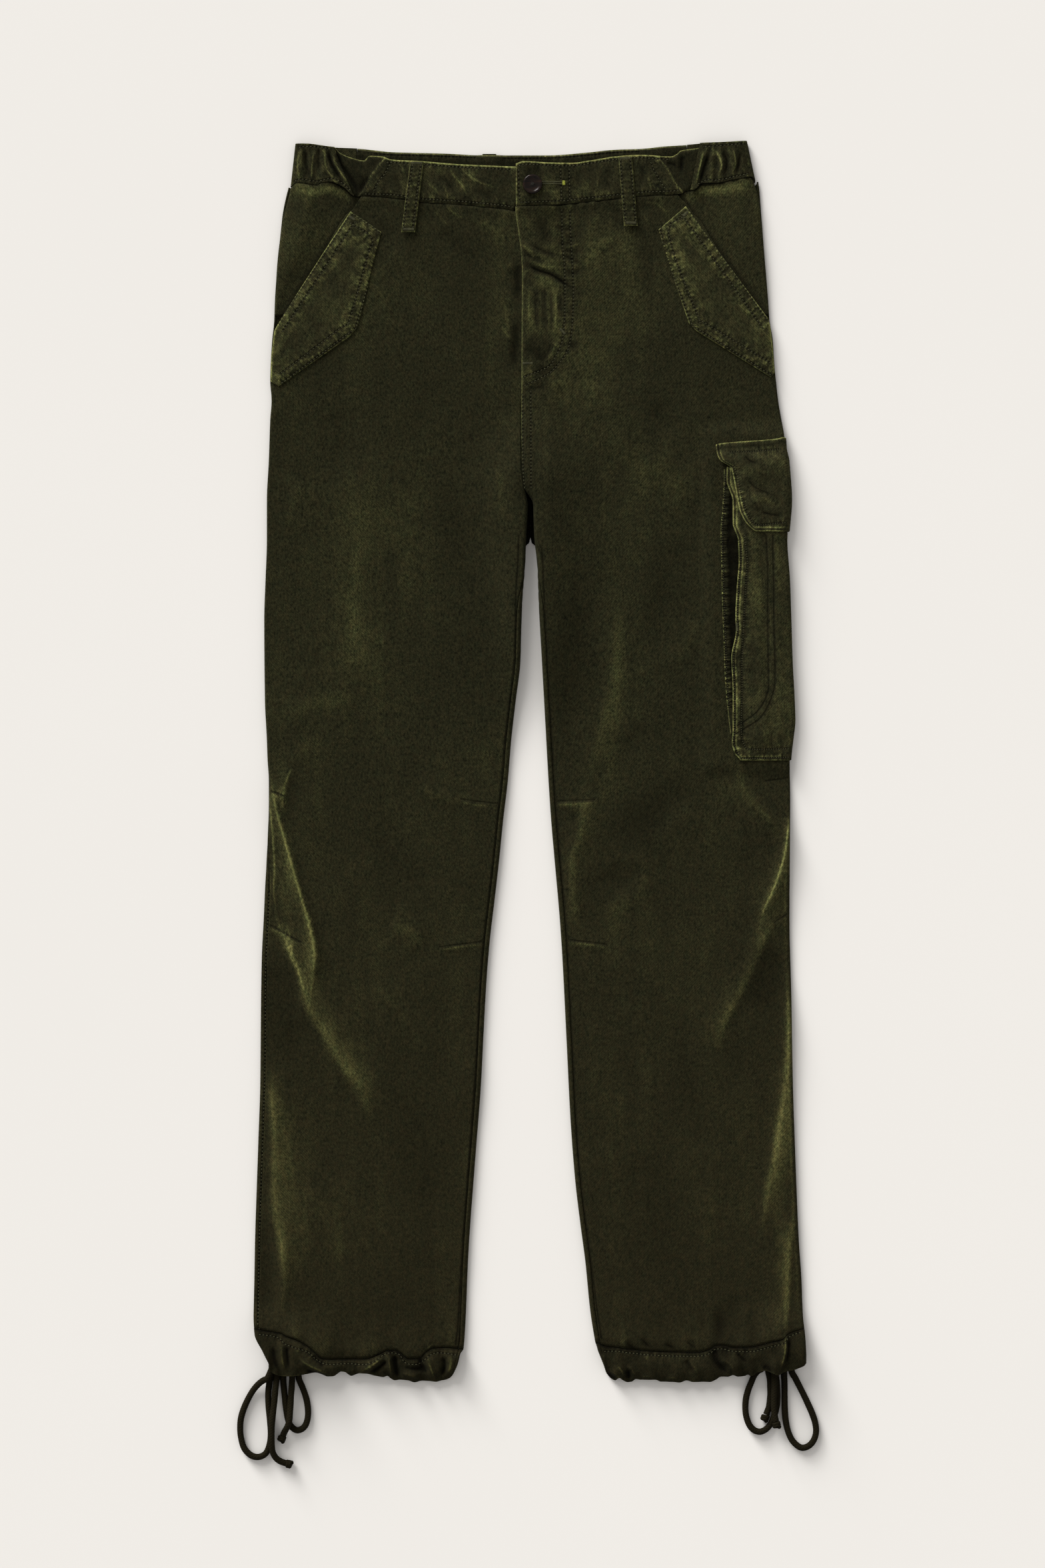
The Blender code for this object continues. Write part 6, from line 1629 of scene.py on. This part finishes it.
def cargo_pocket():
    """Cargo pocket body: its rim in front, over the thigh and round the leg's outer fold."""

    def place(u, v):
        y = mix(POCKET_TOP, POCKET_BOTTOM, crowd(v, 0.55))
        start = cargo_arc(cargo_line("rim", y), y)
        c = cargo_across(u, start)
        raised = pocket_height(c, y) + CLOTH
        raised += (CLOTH + SEAM) * ease(-c / quarter_roll()) * ease((196.0 - y) / 10.0)
        to_rim, to_foot = start - c, y - POCKET_BOTTOM
        on_top = ease(c / 6.0)
        turned = ease((8.0 - to_rim) / 1.2)
        raised = raised + (0.55 * turned - rounded(to_rim, 1.1)) * on_top - rounded(to_foot, 1.1)
        foot_band = ease((11.0 - to_foot) / 1.5)
        raised += 0.45 * foot_band * on_top
        pleat = ripple(0.4 * c, y, 3.8, 111)
        drawn = ripple(c, 0.4 * y, 3.8, 113)
        puckered = 0.3 * pleat * np.exp(-to_rim / 7.0) + 0.3 * drawn * np.exp(-to_foot / 8.0)
        raised += puckered * on_top
        soft = 0.5 * ripple(c, 0.5 * y, 13.0, 115) + 0.2 * ripple(c, y, 6.0, 117)
        raised += soft * ease(to_rim / 12.0) * on_top
        x, z, tone = over_leg(y, c, raised)
        tone = 0.5 * tone + 0.1 * ripple(c, 0.4 * y, 11.0, 119) + 0.08 * ripple(c, y, 5.0, 118) + 0.12
        # the puckers are painted lighter where they rise and darker where they sink, as light and shade
        tone = tone + 0.9 * pleat * np.exp(-to_rim / 6.0) + 0.6 * drawn * np.exp(-to_foot / 9.0)
        tone += (worn_edge(to_rim, 1.1, 1.1) + worn_edge(to_foot, 1.0, 1.1)) * on_top
        # each turned edge carries a dark line of painted shade, and a line of painted shade lies below the
        # turned rim's inner edge
        tone += (rolled(to_rim) + 0.7 * rolled(to_foot)) * on_top
        tone -= 0.4 * bell(to_rim - 8.4, 1.0) * on_top
        return x, y, z, tone, c

    return sheet(
        "cargo_pocket", 84, 170, place, CLOTH, "pocket_twill", False,
        creased="left",
    )


def cargo_flap():
    """Flap over the pocket's top, sewn to the leg along its upper edge."""

    def place(u, v):
        top = mix(FLAP_TOP_IN, FLAP_TOP_OUT, np.clip(u / 0.7, 0.0, 1.0))
        down = crowd(v, 0.8)
        y = mix(top, FLAP_BOTTOM, down)
        start = cargo_arc(cargo_line("flap", y), y)
        c = cargo_across(u, start)
        below_top = ease((274.0 - y) / 13.0)
        raised = SEAM + CLOTH + below_top * (pocket_height(c, np.minimum(y, 250.0)) + CLOTH + SEAM)
        to_rim, to_foot, to_top = start - c, y - FLAP_BOTTOM, top - y
        on_top = ease(c / 6.0)
        gap = np.minimum(to_rim, to_foot)
        raised = raised + 0.9 * ease(gap / 9.0) * on_top - rounded(gap, 1.2) - 0.6 * rounded(to_top, 0.9)
        soft = 0.9 * ripple(c, y, 15.0, 121) + 0.35 * ripple(c, y, 7.0, 123)
        raised += soft * ease(gap / 8.0) * on_top
        raised += 0.3 * ripple(c, 0.5 * y, 4.0, 125) * np.exp(-gap / 7.0) * on_top
        x, z, tone = over_leg(y, c, raised)
        tone = 0.5 * tone + 0.12 * ripple(c, y, 12.0, 127) + 0.02 + 0.14 * ripple(c, y, 5.0, 129)
        tone += 0.5 * ripple(c, 0.5 * y, 3.6, 125) * (np.exp(-gap / 5.0) + 0.6 * np.exp(-to_top / 7.0))
        # the turned edge carries a dark line of painted shade
        tone = tone + (worn_edge(gap, 1.2, 1.2) + rolled(gap)) * on_top + worn_edge(to_top, 0.8, 1.1)
        tone -= 0.4 * bell(to_top - 4.2, 1.2)
        return x, y, z, tone, c

    return sheet(
        "cargo_flap", 84, 70, place, CLOTH, "flap_twill", False,
        creased="left",
    )


# ---- Hems and cords


def cord_route(name):
    """Points of a cord's centre line, and the knotted end it carries, if any."""
    _, leg, kind, which = name.split("_")
    return list(path(CORDS[name], 3)), f"cord_end_{leg}_{which}" if kind == "end" else None


def cord_mouths(leg):
    """Across and up, where cords pass under a hem's edge."""
    mouths = []
    for name in CORDS:
        if name.startswith("cord_" + leg):
            points, far = cord_route(name)
            mouths += [(x, z) for x, _, z in (points[:1] if far else (points[0], points[-1]))]
    return mouths


def hem_casing(leg):
    """Turned-up hem that holds the cord: a band all round the leg, its ends at the inner seam."""

    def place(u, v):
        down = crowd(v, 0.8)
        level = mix(FOOT_LEVEL, -532.0, down)
        out, inner = outline(leg, level)
        half = half_length(out, inner)
        c = mix(half - WRAP, -half - WRAP + 1.5 * SEAM, u)
        x, z = tube(out, inner, c)
        y0, y1 = hem_line(leg, x), follow(LINES["hem_bottom_" + leg], x)
        y = mix(y0, y1, down)
        on_top = ease((z - ROLL) / ROLL)
        tall = y0 - y1
        to_row, to_foot = down * tall, (1.0 - down) * tall
        pleat = ripple(x, 0.15 * y, 8.5, 131) + 0.7 * ripple(x + 0.4 * y, 0.2 * y, 5.0, 133)
        body = np.sin(math.pi * np.clip(down, 0.0, 1.0)) ** 0.7
        height, tone = relief(leg, x, y)
        pleated = 2.0 * pleat * mix(0.4, 1.0, down) * ease(to_row / 6.0)
        z += on_top * (1.8 * height + HEM_PROUD + 3.6 * body + pleated)
        z -= rounded(to_foot, 1.1) * on_top
        for mouth_x, mouth_z in cord_mouths(leg):
            over = mouth_z + CORD / 2 + HEM_WALL + 0.3
            share = bell(x - mouth_x, 5.0) * ease((down - 0.3) / 0.5) * on_top
            z = np.maximum(z, mix(z, over, share))
        # the pleats are painted lighter where they rise and darker where they sink, as light and shade, the
        # casing is a little darker all over, and a dark line of painted shadow lies under the panel's edge
        fade = 0.22 * pleat - 0.2 - 0.7 * bell(to_row, 1.3)
        tone = (tone + fade) * on_top + worn_edge(to_foot, 0.4, 0.9)
        return x, y, z + lift(x, y), tone, c

    return sheet(
        f"hem_casing_{leg}", 300, 28, place, HEM_WALL, "hem_twill", leg == "right",
        creased=leg,
    )


def ways(line):
    """Way along a line to each of its points."""
    return np.concatenate([[0.0], np.cumsum(np.linalg.norm(np.diff(line, axis=0), axis=1))])


def tube_frames(line):
    """Two directions across a line at each of its points, turning no more than the line does."""
    ahead = np.gradient(line, axis=0)
    ahead /= np.linalg.norm(ahead, axis=1)[:, None]
    across = [np.cross(ahead[0], (0.0, 0.0, 1.0))]
    for t in ahead[1:]:
        side = across[-1] - t * (across[-1] @ t)
        across.append(side / np.linalg.norm(side))
    across[0] = across[0] / np.linalg.norm(across[0])
    across = np.array(across)
    return across, np.cross(ahead, across)


def round_tube(name, line, radius, around=18):
    """A closed round tube of braid along a line in millimetres; radius is one value a point."""
    count = len(line) - 1
    bm = bmesh.new()
    layer = bm.loops.layers.uv.new("weave")
    bmesh.ops.create_grid(bm, x_segments=around, y_segments=count, size=0.5)
    across, up = tube_frames(line)
    along = ways(line)
    for face in bm.faces:
        for loop in face.loops:
            u, v = loop.vert.co.x + 0.5, loop.vert.co.y + 0.5
            loop[layer].uv = (u, along[round(v * count)] * MM)
    for vert in bm.verts:
        i, j = round((vert.co.x + 0.5) * around) % around, round((vert.co.y + 0.5) * count)
        angle = 2 * math.pi * i / around
        spot = line[j] + radius[j] * (math.cos(angle) * across[j] + math.sin(angle) * up[j])
        vert.co = spot * MM
    bmesh.ops.remove_doubles(bm, verts=bm.verts[:], dist=1e-6)
    bmesh.ops.holes_fill(bm, edges=bm.edges[:], sides=0)
    return finished(name, bm, braid_material())


def spaced(points, step):
    """Points of a smooth curve through the given ones, about a step apart."""
    fine = curved(points, 24)
    along = ways(fine)
    at = np.linspace(0.0, along[-1], max(4, round(along[-1] / step) + 1))
    return np.stack([np.interp(at, along, fine[:, k]) for k in range(3)], axis=1), along[-1]


# West of this a cord leaves the hem just past its corner
MOUTH_CORNER = -226.5


def cord(name, ends):
    """One stretch of drawcord, from just inside the hem to its own one of the knotted ends."""
    points, far = cord_route(name)
    inside = np.array([4.0 if points[0][0] < MOUTH_CORNER else 0.0, 9.0, 0.0])
    last = points[-1] + (points[-1] - points[-2]) * 0.45 if far else points[-1] + inside
    line, length = spaced([points[0] + inside] + points + [last], 1.1)
    share = np.linspace(0.0, 1.0, len(line))
    radius = CORD / 2 * (1.0 + 0.02 * np.sin(9.0 * math.pi * share))
    thing = carried(round_tube(name + "_braid", line, radius), name, name)


def cord_end(name):
    """Knotted end of a free cord: the cord wound on itself."""
    x, y, z, heading = CORD_ENDS[name]
    radius = 1.75
    wide, long = CORD_END_RADIUS + 0.4 - radius, CORD_END_LENGTH / 2 - radius + 0.5
    c, s = math.cos(math.radians(heading)), math.sin(math.radians(heading))
    points = []
    for k in range(31):
        angle, along = 2.1 * math.tau * k / 30, mix(-long, long, k / 30)
        aside, up = wide * math.cos(angle), 0.8 * wide * math.sin(angle)
        points.append((x + along * c - aside * s, y + along * s + aside * c, z + up))
    line, _ = spaced(points, 1.0)
    thing = round_tube(name + "_wound", line, np.full(len(line), radius), 14)
    return carried(thing, name, name)


def bow_knot(name):
    """Knot of a bow: a turn of cord round two laid side by side, flattened under the hem."""
    x, y, wide, deep, tall = BOWS[name]
    radius = 2.55
    reach, fall = wide / 2 - radius, (tall - 2 * radius) / 2
    points = []
    for k in range(37):
        angle = math.tau * 1.5 * k / 36
        points.append(
            (
                x + reach * math.cos(angle) * (0.9 + 0.1 * math.cos(2 * angle)),
                y + (deep / 2 - radius) * math.sin(angle + 0.4 * k / 36),
                0.1 + tall / 2 + fall * math.sin(1.5 * angle),
            )
        )
    line, _ = spaced(points, 1.2)
    thing = round_tube(name + "_tied", line, np.full(len(line), radius), 16)
    return carried(thing, name, name)


# ---- Stitching

# Height that stitches are dropped from, in metres
ABOVE = 0.06


def set_stitches(bm, host, line, pitch, long, wide, turned=False):
    """Stitches along a flat line, each lying on the host sheet. A turned one lies across the
    line, as in a bar tack."""
    way = np.concatenate([[0.0], np.cumsum(np.hypot(*np.diff(line, axis=0).T))])
    count = int(way[-1] / pitch)
    for k in range(count):
        at = (k + 0.5) * way[-1] / count
        x, y = (np.interp(at, way, c) for c in line.T)
        ahead = [np.interp(at + 0.4, way, c) - np.interp(at - 0.4, way, c) for c in line.T]
        spot, normal, _, _ = FACES[host].ray_cast(Vector((x * MM, y * MM, ABOVE)), Vector((0, 0, -1)))
        if spot is None or spot.z <= 0.0:
            continue
        if normal.z < 0.0:
            normal = -normal
        forward = Vector((ahead[0], ahead[1], 0.0)).normalized()
        if turned:
            forward = Vector((-forward.y, forward.x, 0.0))
        aside = normal.cross(forward).normalized()
        forward = aside.cross(normal).normalized()
        jitter = 0.04 * math.sin(12.9898 * k + 4.1 * x)
        basis = Matrix((aside, normal, forward)).transposed().to_4x4() @ Matrix.Rotation(jitter, 4, "Y")
        scale = Matrix.Diagonal((wide / 2, wide / 2, long / 2, 1.0))
        spot = spot + normal * (0.06 * MM)
        shape = Matrix.Translation(spot) @ basis @ scale
        bmesh.ops.create_uvsphere(bm, u_segments=6, v_segments=4, radius=MM, matrix=shape)


def stitching(group):
    """All rows of one group, as one piece of thread."""
    trims = bpy.context.scene.pants_trims
    pitch, long, wide = (value / MM for value in (trims.pitch, trims.stitch, trims.width))
    bm = bmesh.new()
    fine = FINE.get(group, 1.0)
    for host, owner, *rows in ROWS:
        for points in rows if owner == group else ():
            part = bmesh.new()
            set_stitches(part, host, curved(path(points), 5), pitch * fine, long * fine, wide * fine**0.5)
            loose = bpy.data.meshes.new("row")
            part.to_mesh(loose)
            part.free()
            bm.from_mesh(loose)
            bpy.data.meshes.remove(loose)
    for host, owner, points, count in TACKS:
        if owner == group:
            line = np.reshape(points, (2, 2)).astype(float)
            span = np.hypot(*(line[1] - line[0]))
            set_stitches(bm, host, line, span / count, 2.6, 0.62, turned=True)
    return carried(finished("thread_" + group, bm, thread_material()), THREAD_SLOTS[group])


# Bar tacks: piece, group, ends and count of cross stitches
TACKS = (
    ("belt_loop_right", "waist", (-103, 520.5, -93.5, 520.5), 14),
    ("belt_loop_right", "waist", (-109.8, 463, -100.6, 463), 14),
    ("belt_loop_left", "waist", (78.6, 524.8, 87.8, 524.8), 14),
    ("belt_loop_left", "waist", (83.6, 468.6, 92.6, 468.6), 14),
    ("front_left", "fly", (-6.1, 346.6, 2.6, 346.6), 13),
    ("front_left", "fly", (26.6, 377, 31, 372), 9),
    ("pocket_patch_right", "pocket", (-157, 474.5, -152, 471.5), 9),
    ("pocket_patch_left", "pocket", (138, 478.5, 133.6, 474.8), 9),
    ("cargo_pocket", "cargo", (180, 120.5, 180.6, 113.4), 11),
)
THREAD_SLOTS = {
    "waist": "waistband_front_left",
    "fly": "front_left",
    "pocket": "pocket_patch_left",
    "leg": "front_right",
    "hem": "hem_casing_right",
    "cargo": "cargo_pocket",
}


def buttonhole():
    """Buttonhole: a slit between two packed rows of thread, with a bar tack at its far end."""
    x0, x1, y = 10.8, 30.0, 503.4
    host = "waistband_front_left"
    bm = bmesh.new()
    for shift in (-0.85, 0.85):
        set_stitches(bm, host, np.array(((x0, y + shift), (x1, y + shift))), 0.62, 1.1, 0.55, turned=True)
    carried(finished("buttonhole_thread", bm, thread_material()), host)
    bm = bmesh.new()
    set_stitches(bm, host, np.array(((x1 - 0.2, y - 1.9), (x1 - 0.2, y + 1.9))), 0.5, 3.0, 0.7, turned=True)
    carried(finished("buttonhole_tack", bm, thread_material("tack")), host)


# ---- Sizes and colours


Colour = partial(FloatVectorProperty, subtype="COLOR", size=4, min=0.0, max=1.0)
Length = partial(FloatProperty, max=0.01, unit="LENGTH", subtype="DISTANCE")


class PantsCloth(bpy.types.PropertyGroup):
    """Sizes and colours of the cloth"""

    colour: Colour(
        name="Cloth", description="Colour of the dyed twill", default=(0.0158, 0.0149, 0.0069, 1.0)
    )
    # pale colour of rubbed folds and edges, and of painted highlight on crests
    worn: Colour(
        name="Worn", description="Colour of rubbed folds and edges", default=(0.125, 0.126, 0.044, 1.0)
    )
    # dark colour of painted shade in hollows, folds and seams
    deep: Colour(
        name="Deep", description="Colour of hollows and seams", default=(0.0032, 0.0028, 0.0013, 1.0)
    )
    sheen: FloatProperty(
        name="Sheen", description="Strength of the nap's soft sheen", default=0.02, min=0.0, max=1.0,
        subtype="FACTOR",
    )
    creases: FloatProperty(
        name="Creases", description="Height of the folds, as a share of their own", default=1.0, min=0.0,
        max=2.0,
    )
    crumple: FloatProperty(
        name="Crumple", description="Height of the small uneven swells, as a share of their own",
        default=1.0, min=0.0, max=3.0,
    )


class PantsTrims(bpy.types.PropertyGroup):
    """Sizes and colours of thread, cords and button"""

    thread: Colour(
        name="Thread", description="Colour of the sewing thread", default=(0.066, 0.065, 0.028, 1.0)
    )
    cord: Colour(
        name="Cord", description="Colour of the braided cord", default=(0.0112, 0.0090, 0.0040, 1.0)
    )
    tack: Colour(
        name="Tack", description="Colour of the buttonhole's bar tack", default=(0.42, 0.45, 0.06, 1.0)
    )
    button: Colour(name="Button", description="Colour of the button", default=(0.006, 0.004, 0.003, 1.0))
    pitch: Length(
        name="Stitch pitch", description="Distance from one stitch to the next", default=0.0031, min=0.001
    )
    stitch: Length(
        name="Stitch length", description="Length of thread that shows in one stitch", default=0.0020,
        min=0.001,
    )
    width: Length(
        name="Thread width", description="Width of the sewing thread", default=0.0006, min=0.0002,
        max=0.002,
    )


class PantsStage(bpy.types.PropertyGroup):
    """Floor and light"""

    floor: Colour(name="Floor", description="Colour of the floor", default=(0.80, 0.78, 0.75, 1.0))
    key: FloatProperty(
        name="Key light", description="Strength of the main light from beyond the waist", default=2.85,
        min=0.0, max=20.0,
    )
    rim: FloatProperty(
        name="Low light", description="Strength of the low light that brings out folds", default=2.2,
        min=0.0, max=20.0,
    )
    fill: FloatProperty(
        name="Fill light", description="Strength of the even light from all round", default=0.55, min=0.0,
        max=5.0,
    )


# ---- Operators


class PANTS_OT_camera(bpy.types.Operator):
    """Add the camera, straight above the garment"""

    bl_idname = "pants.camera"
    bl_label = "Camera"

    def execute(self, context):
        lens, sensor, long_side, centre, level = 100.0, 36.0, 1.3642, (-0.0061, -0.0194), 0.006
        data = bpy.data.cameras.new("camera")
        data.lens, data.sensor_width = lens, sensor
        data.clip_start, data.clip_end = 0.1, 30.0
        camera = bpy.data.objects.new("camera", data)
        camera.location = (*centre, level + long_side * lens / sensor)
        context.collection.objects.link(camera)
        context.scene.camera = camera
        return {"FINISHED"}


class PANTS_OT_cords(bpy.types.Operator):
    """Add the drawcords, their ends and the knots of their bows"""

    bl_idname = "pants.cords"
    bl_label = "Drawcords"

    def execute(self, context):
        for name in BOWS:
            bow_knot(name)
        ends = {name: cord_end(name) for name in CORD_ENDS}
        for name in CORDS:
            cord(name, ends)
        return {"FINISHED"}


class PANTS_OT_backs(bpy.types.Operator):
    """Add the back leg panels"""

    bl_idname = "pants.backs"
    bl_label = "Back panels"

    def execute(self, context):
        for leg in ("right", "left"):
            back(leg)
        return {"FINISHED"}


class PANTS_OT_fronts(bpy.types.Operator):
    """Add the front leg panels and the hip panels beside them"""

    bl_idname = "pants.fronts"
    bl_label = "Front panels"

    def execute(self, context):
        for leg in ("right", "left"):
            side_panel(leg)
            front(leg)
        return {"FINISHED"}


class PANTS_OT_hip_pockets(bpy.types.Operator):
    """Add the hip pocket patches"""

    bl_idname = "pants.hip_pockets"
    bl_label = "Hip pockets"

    def execute(self, context):
        for leg in ("right", "left"):
            pocket_patch(leg)
        return {"FINISHED"}


class PANTS_OT_waistband(bpy.types.Operator):
    """Add the waistband and its belt loops"""

    bl_idname = "pants.waistband"
    bl_label = "Waistband"

    def execute(self, context):
        waist_back()
        for side in ("right", "left"):
            waist_side(side)
            waist_front(side)
        for name in LOOPS:
            belt_loop(name)
        back_loop()
        return {"FINISHED"}


class PANTS_OT_button(bpy.types.Operator):
    """Add the button and the buttonhole's thread"""

    bl_idname = "pants.button"
    bl_label = "Button"

    def execute(self, context):
        if "waistband_front_left" not in FACES:
            raise RuntimeError("the button needs the waistband: build the waistband first")
        button()
        buttonhole()
        return {"FINISHED"}


class PANTS_OT_cargo_pocket(bpy.types.Operator):
    """Add the cargo pocket: its bellows strip, body and flap"""

    bl_idname = "pants.cargo_pocket"
    bl_label = "Cargo pocket"

    def execute(self, context):
        cargo_gusset()
        cargo_pocket()
        cargo_flap()
        return {"FINISHED"}


class PANTS_OT_hems(bpy.types.Operator):
    """Add the hem casings"""

    bl_idname = "pants.hems"
    bl_label = "Hems"

    def execute(self, context):
        for leg in ("right", "left"):
            hem_casing(leg)
        return {"FINISHED"}


class PANTS_OT_stitching(bpy.types.Operator):
    """Add every row of stitching and bar tack"""

    bl_idname = "pants.stitching"
    bl_label = "Stitching"

    def execute(self, context):
        missing = {row[0] for row in ROWS} - set(FACES)
        if missing:
            raise RuntimeError("nothing to sew on yet: " + ", ".join(sorted(missing)))
        for group in THREAD_SLOTS:
            stitching(group)
        return {"FINISHED"}


class PANTS_OT_stage(bpy.types.Operator):
    """Add the floor and the lights"""

    bl_idname = "pants.stage"
    bl_label = "Floor and lights"

    def execute(self, context):
        stage = context.scene.pants_stage
        bm = bmesh.new()
        bmesh.ops.create_grid(bm, x_segments=1, y_segments=1, size=4.0)
        bmesh.ops.translate(bm, verts=bm.verts[:], vec=(0.0, 0.0, -0.0004))
        finished("floor", bm, floor_material(), smooth=False)
        lamps = (("key", stage.key, 0.46, 32.0), ("rim", stage.rim, 0.25, 17.0))
        for label, strength, slant, spread in lamps:
            light = bpy.data.lights.new(label, "SUN")
            light.energy, light.angle = strength, math.radians(spread)
            light.color = (1.0, 0.99, 0.975)
            lamp = bpy.data.objects.new(label, light)
            lamp.rotation_euler = Vector((0.50, -0.86, -slant)).to_track_quat("-Z", "Y").to_euler()
            context.collection.objects.link(lamp)
        world = context.scene.world or bpy.data.worlds.new("studio")
        context.scene.world = world
        world.use_nodes = True
        back = world.node_tree.nodes["Background"]
        back.inputs["Color"].default_value = (1.0, 0.985, 0.965, 1.0)
        back.inputs["Strength"].default_value = stage.fill
        context.scene.view_settings.view_transform = "Standard"
        return {"FINISHED"}


OPERATORS = (
    PANTS_OT_camera,
    PANTS_OT_cords,
    PANTS_OT_backs,
    PANTS_OT_fronts,
    PANTS_OT_hip_pockets,
    PANTS_OT_waistband,
    PANTS_OT_button,
    PANTS_OT_cargo_pocket,
    PANTS_OT_hems,
    PANTS_OT_stitching,
    PANTS_OT_stage,
)


class PANTS_PT_panel(bpy.types.Panel):
    """Lists the pieces and their settings"""

    bl_idname = "PANTS_PT_panel"
    bl_label = "Cargo pants"
    bl_space_type = "VIEW_3D"
    bl_region_type = "UI"
    bl_category = "Cargo pants"

    def draw(self, context):
        column = self.layout.column()
        for group in (context.scene.pants_cloth, context.scene.pants_trims, context.scene.pants_stage):
            for label in group.__annotations__:
                column.prop(group, label)
        for operator in OPERATORS:
            column.operator(operator.bl_idname)


CLASSES = (PantsCloth, PantsTrims, PantsStage, *OPERATORS, PANTS_PT_panel)
SETTINGS = {"pants_cloth": PantsCloth, "pants_trims": PantsTrims, "pants_stage": PantsStage}


def register():
    for made in CLASSES:
        bpy.utils.register_class(made)
    for label, group in SETTINGS.items():
        setattr(bpy.types.Scene, label, PointerProperty(type=group))


def unregister():
    for label in SETTINGS:
        delattr(bpy.types.Scene, label)
    for made in reversed(CLASSES):
        bpy.utils.unregister_class(made)


def main():
    """Build the garment."""
    register()
    for operator in OPERATORS:
        group, call = operator.bl_idname.split(".")
        getattr(getattr(bpy.ops, group), call)()
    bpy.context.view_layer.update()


if __name__ == "__main__":
    main()
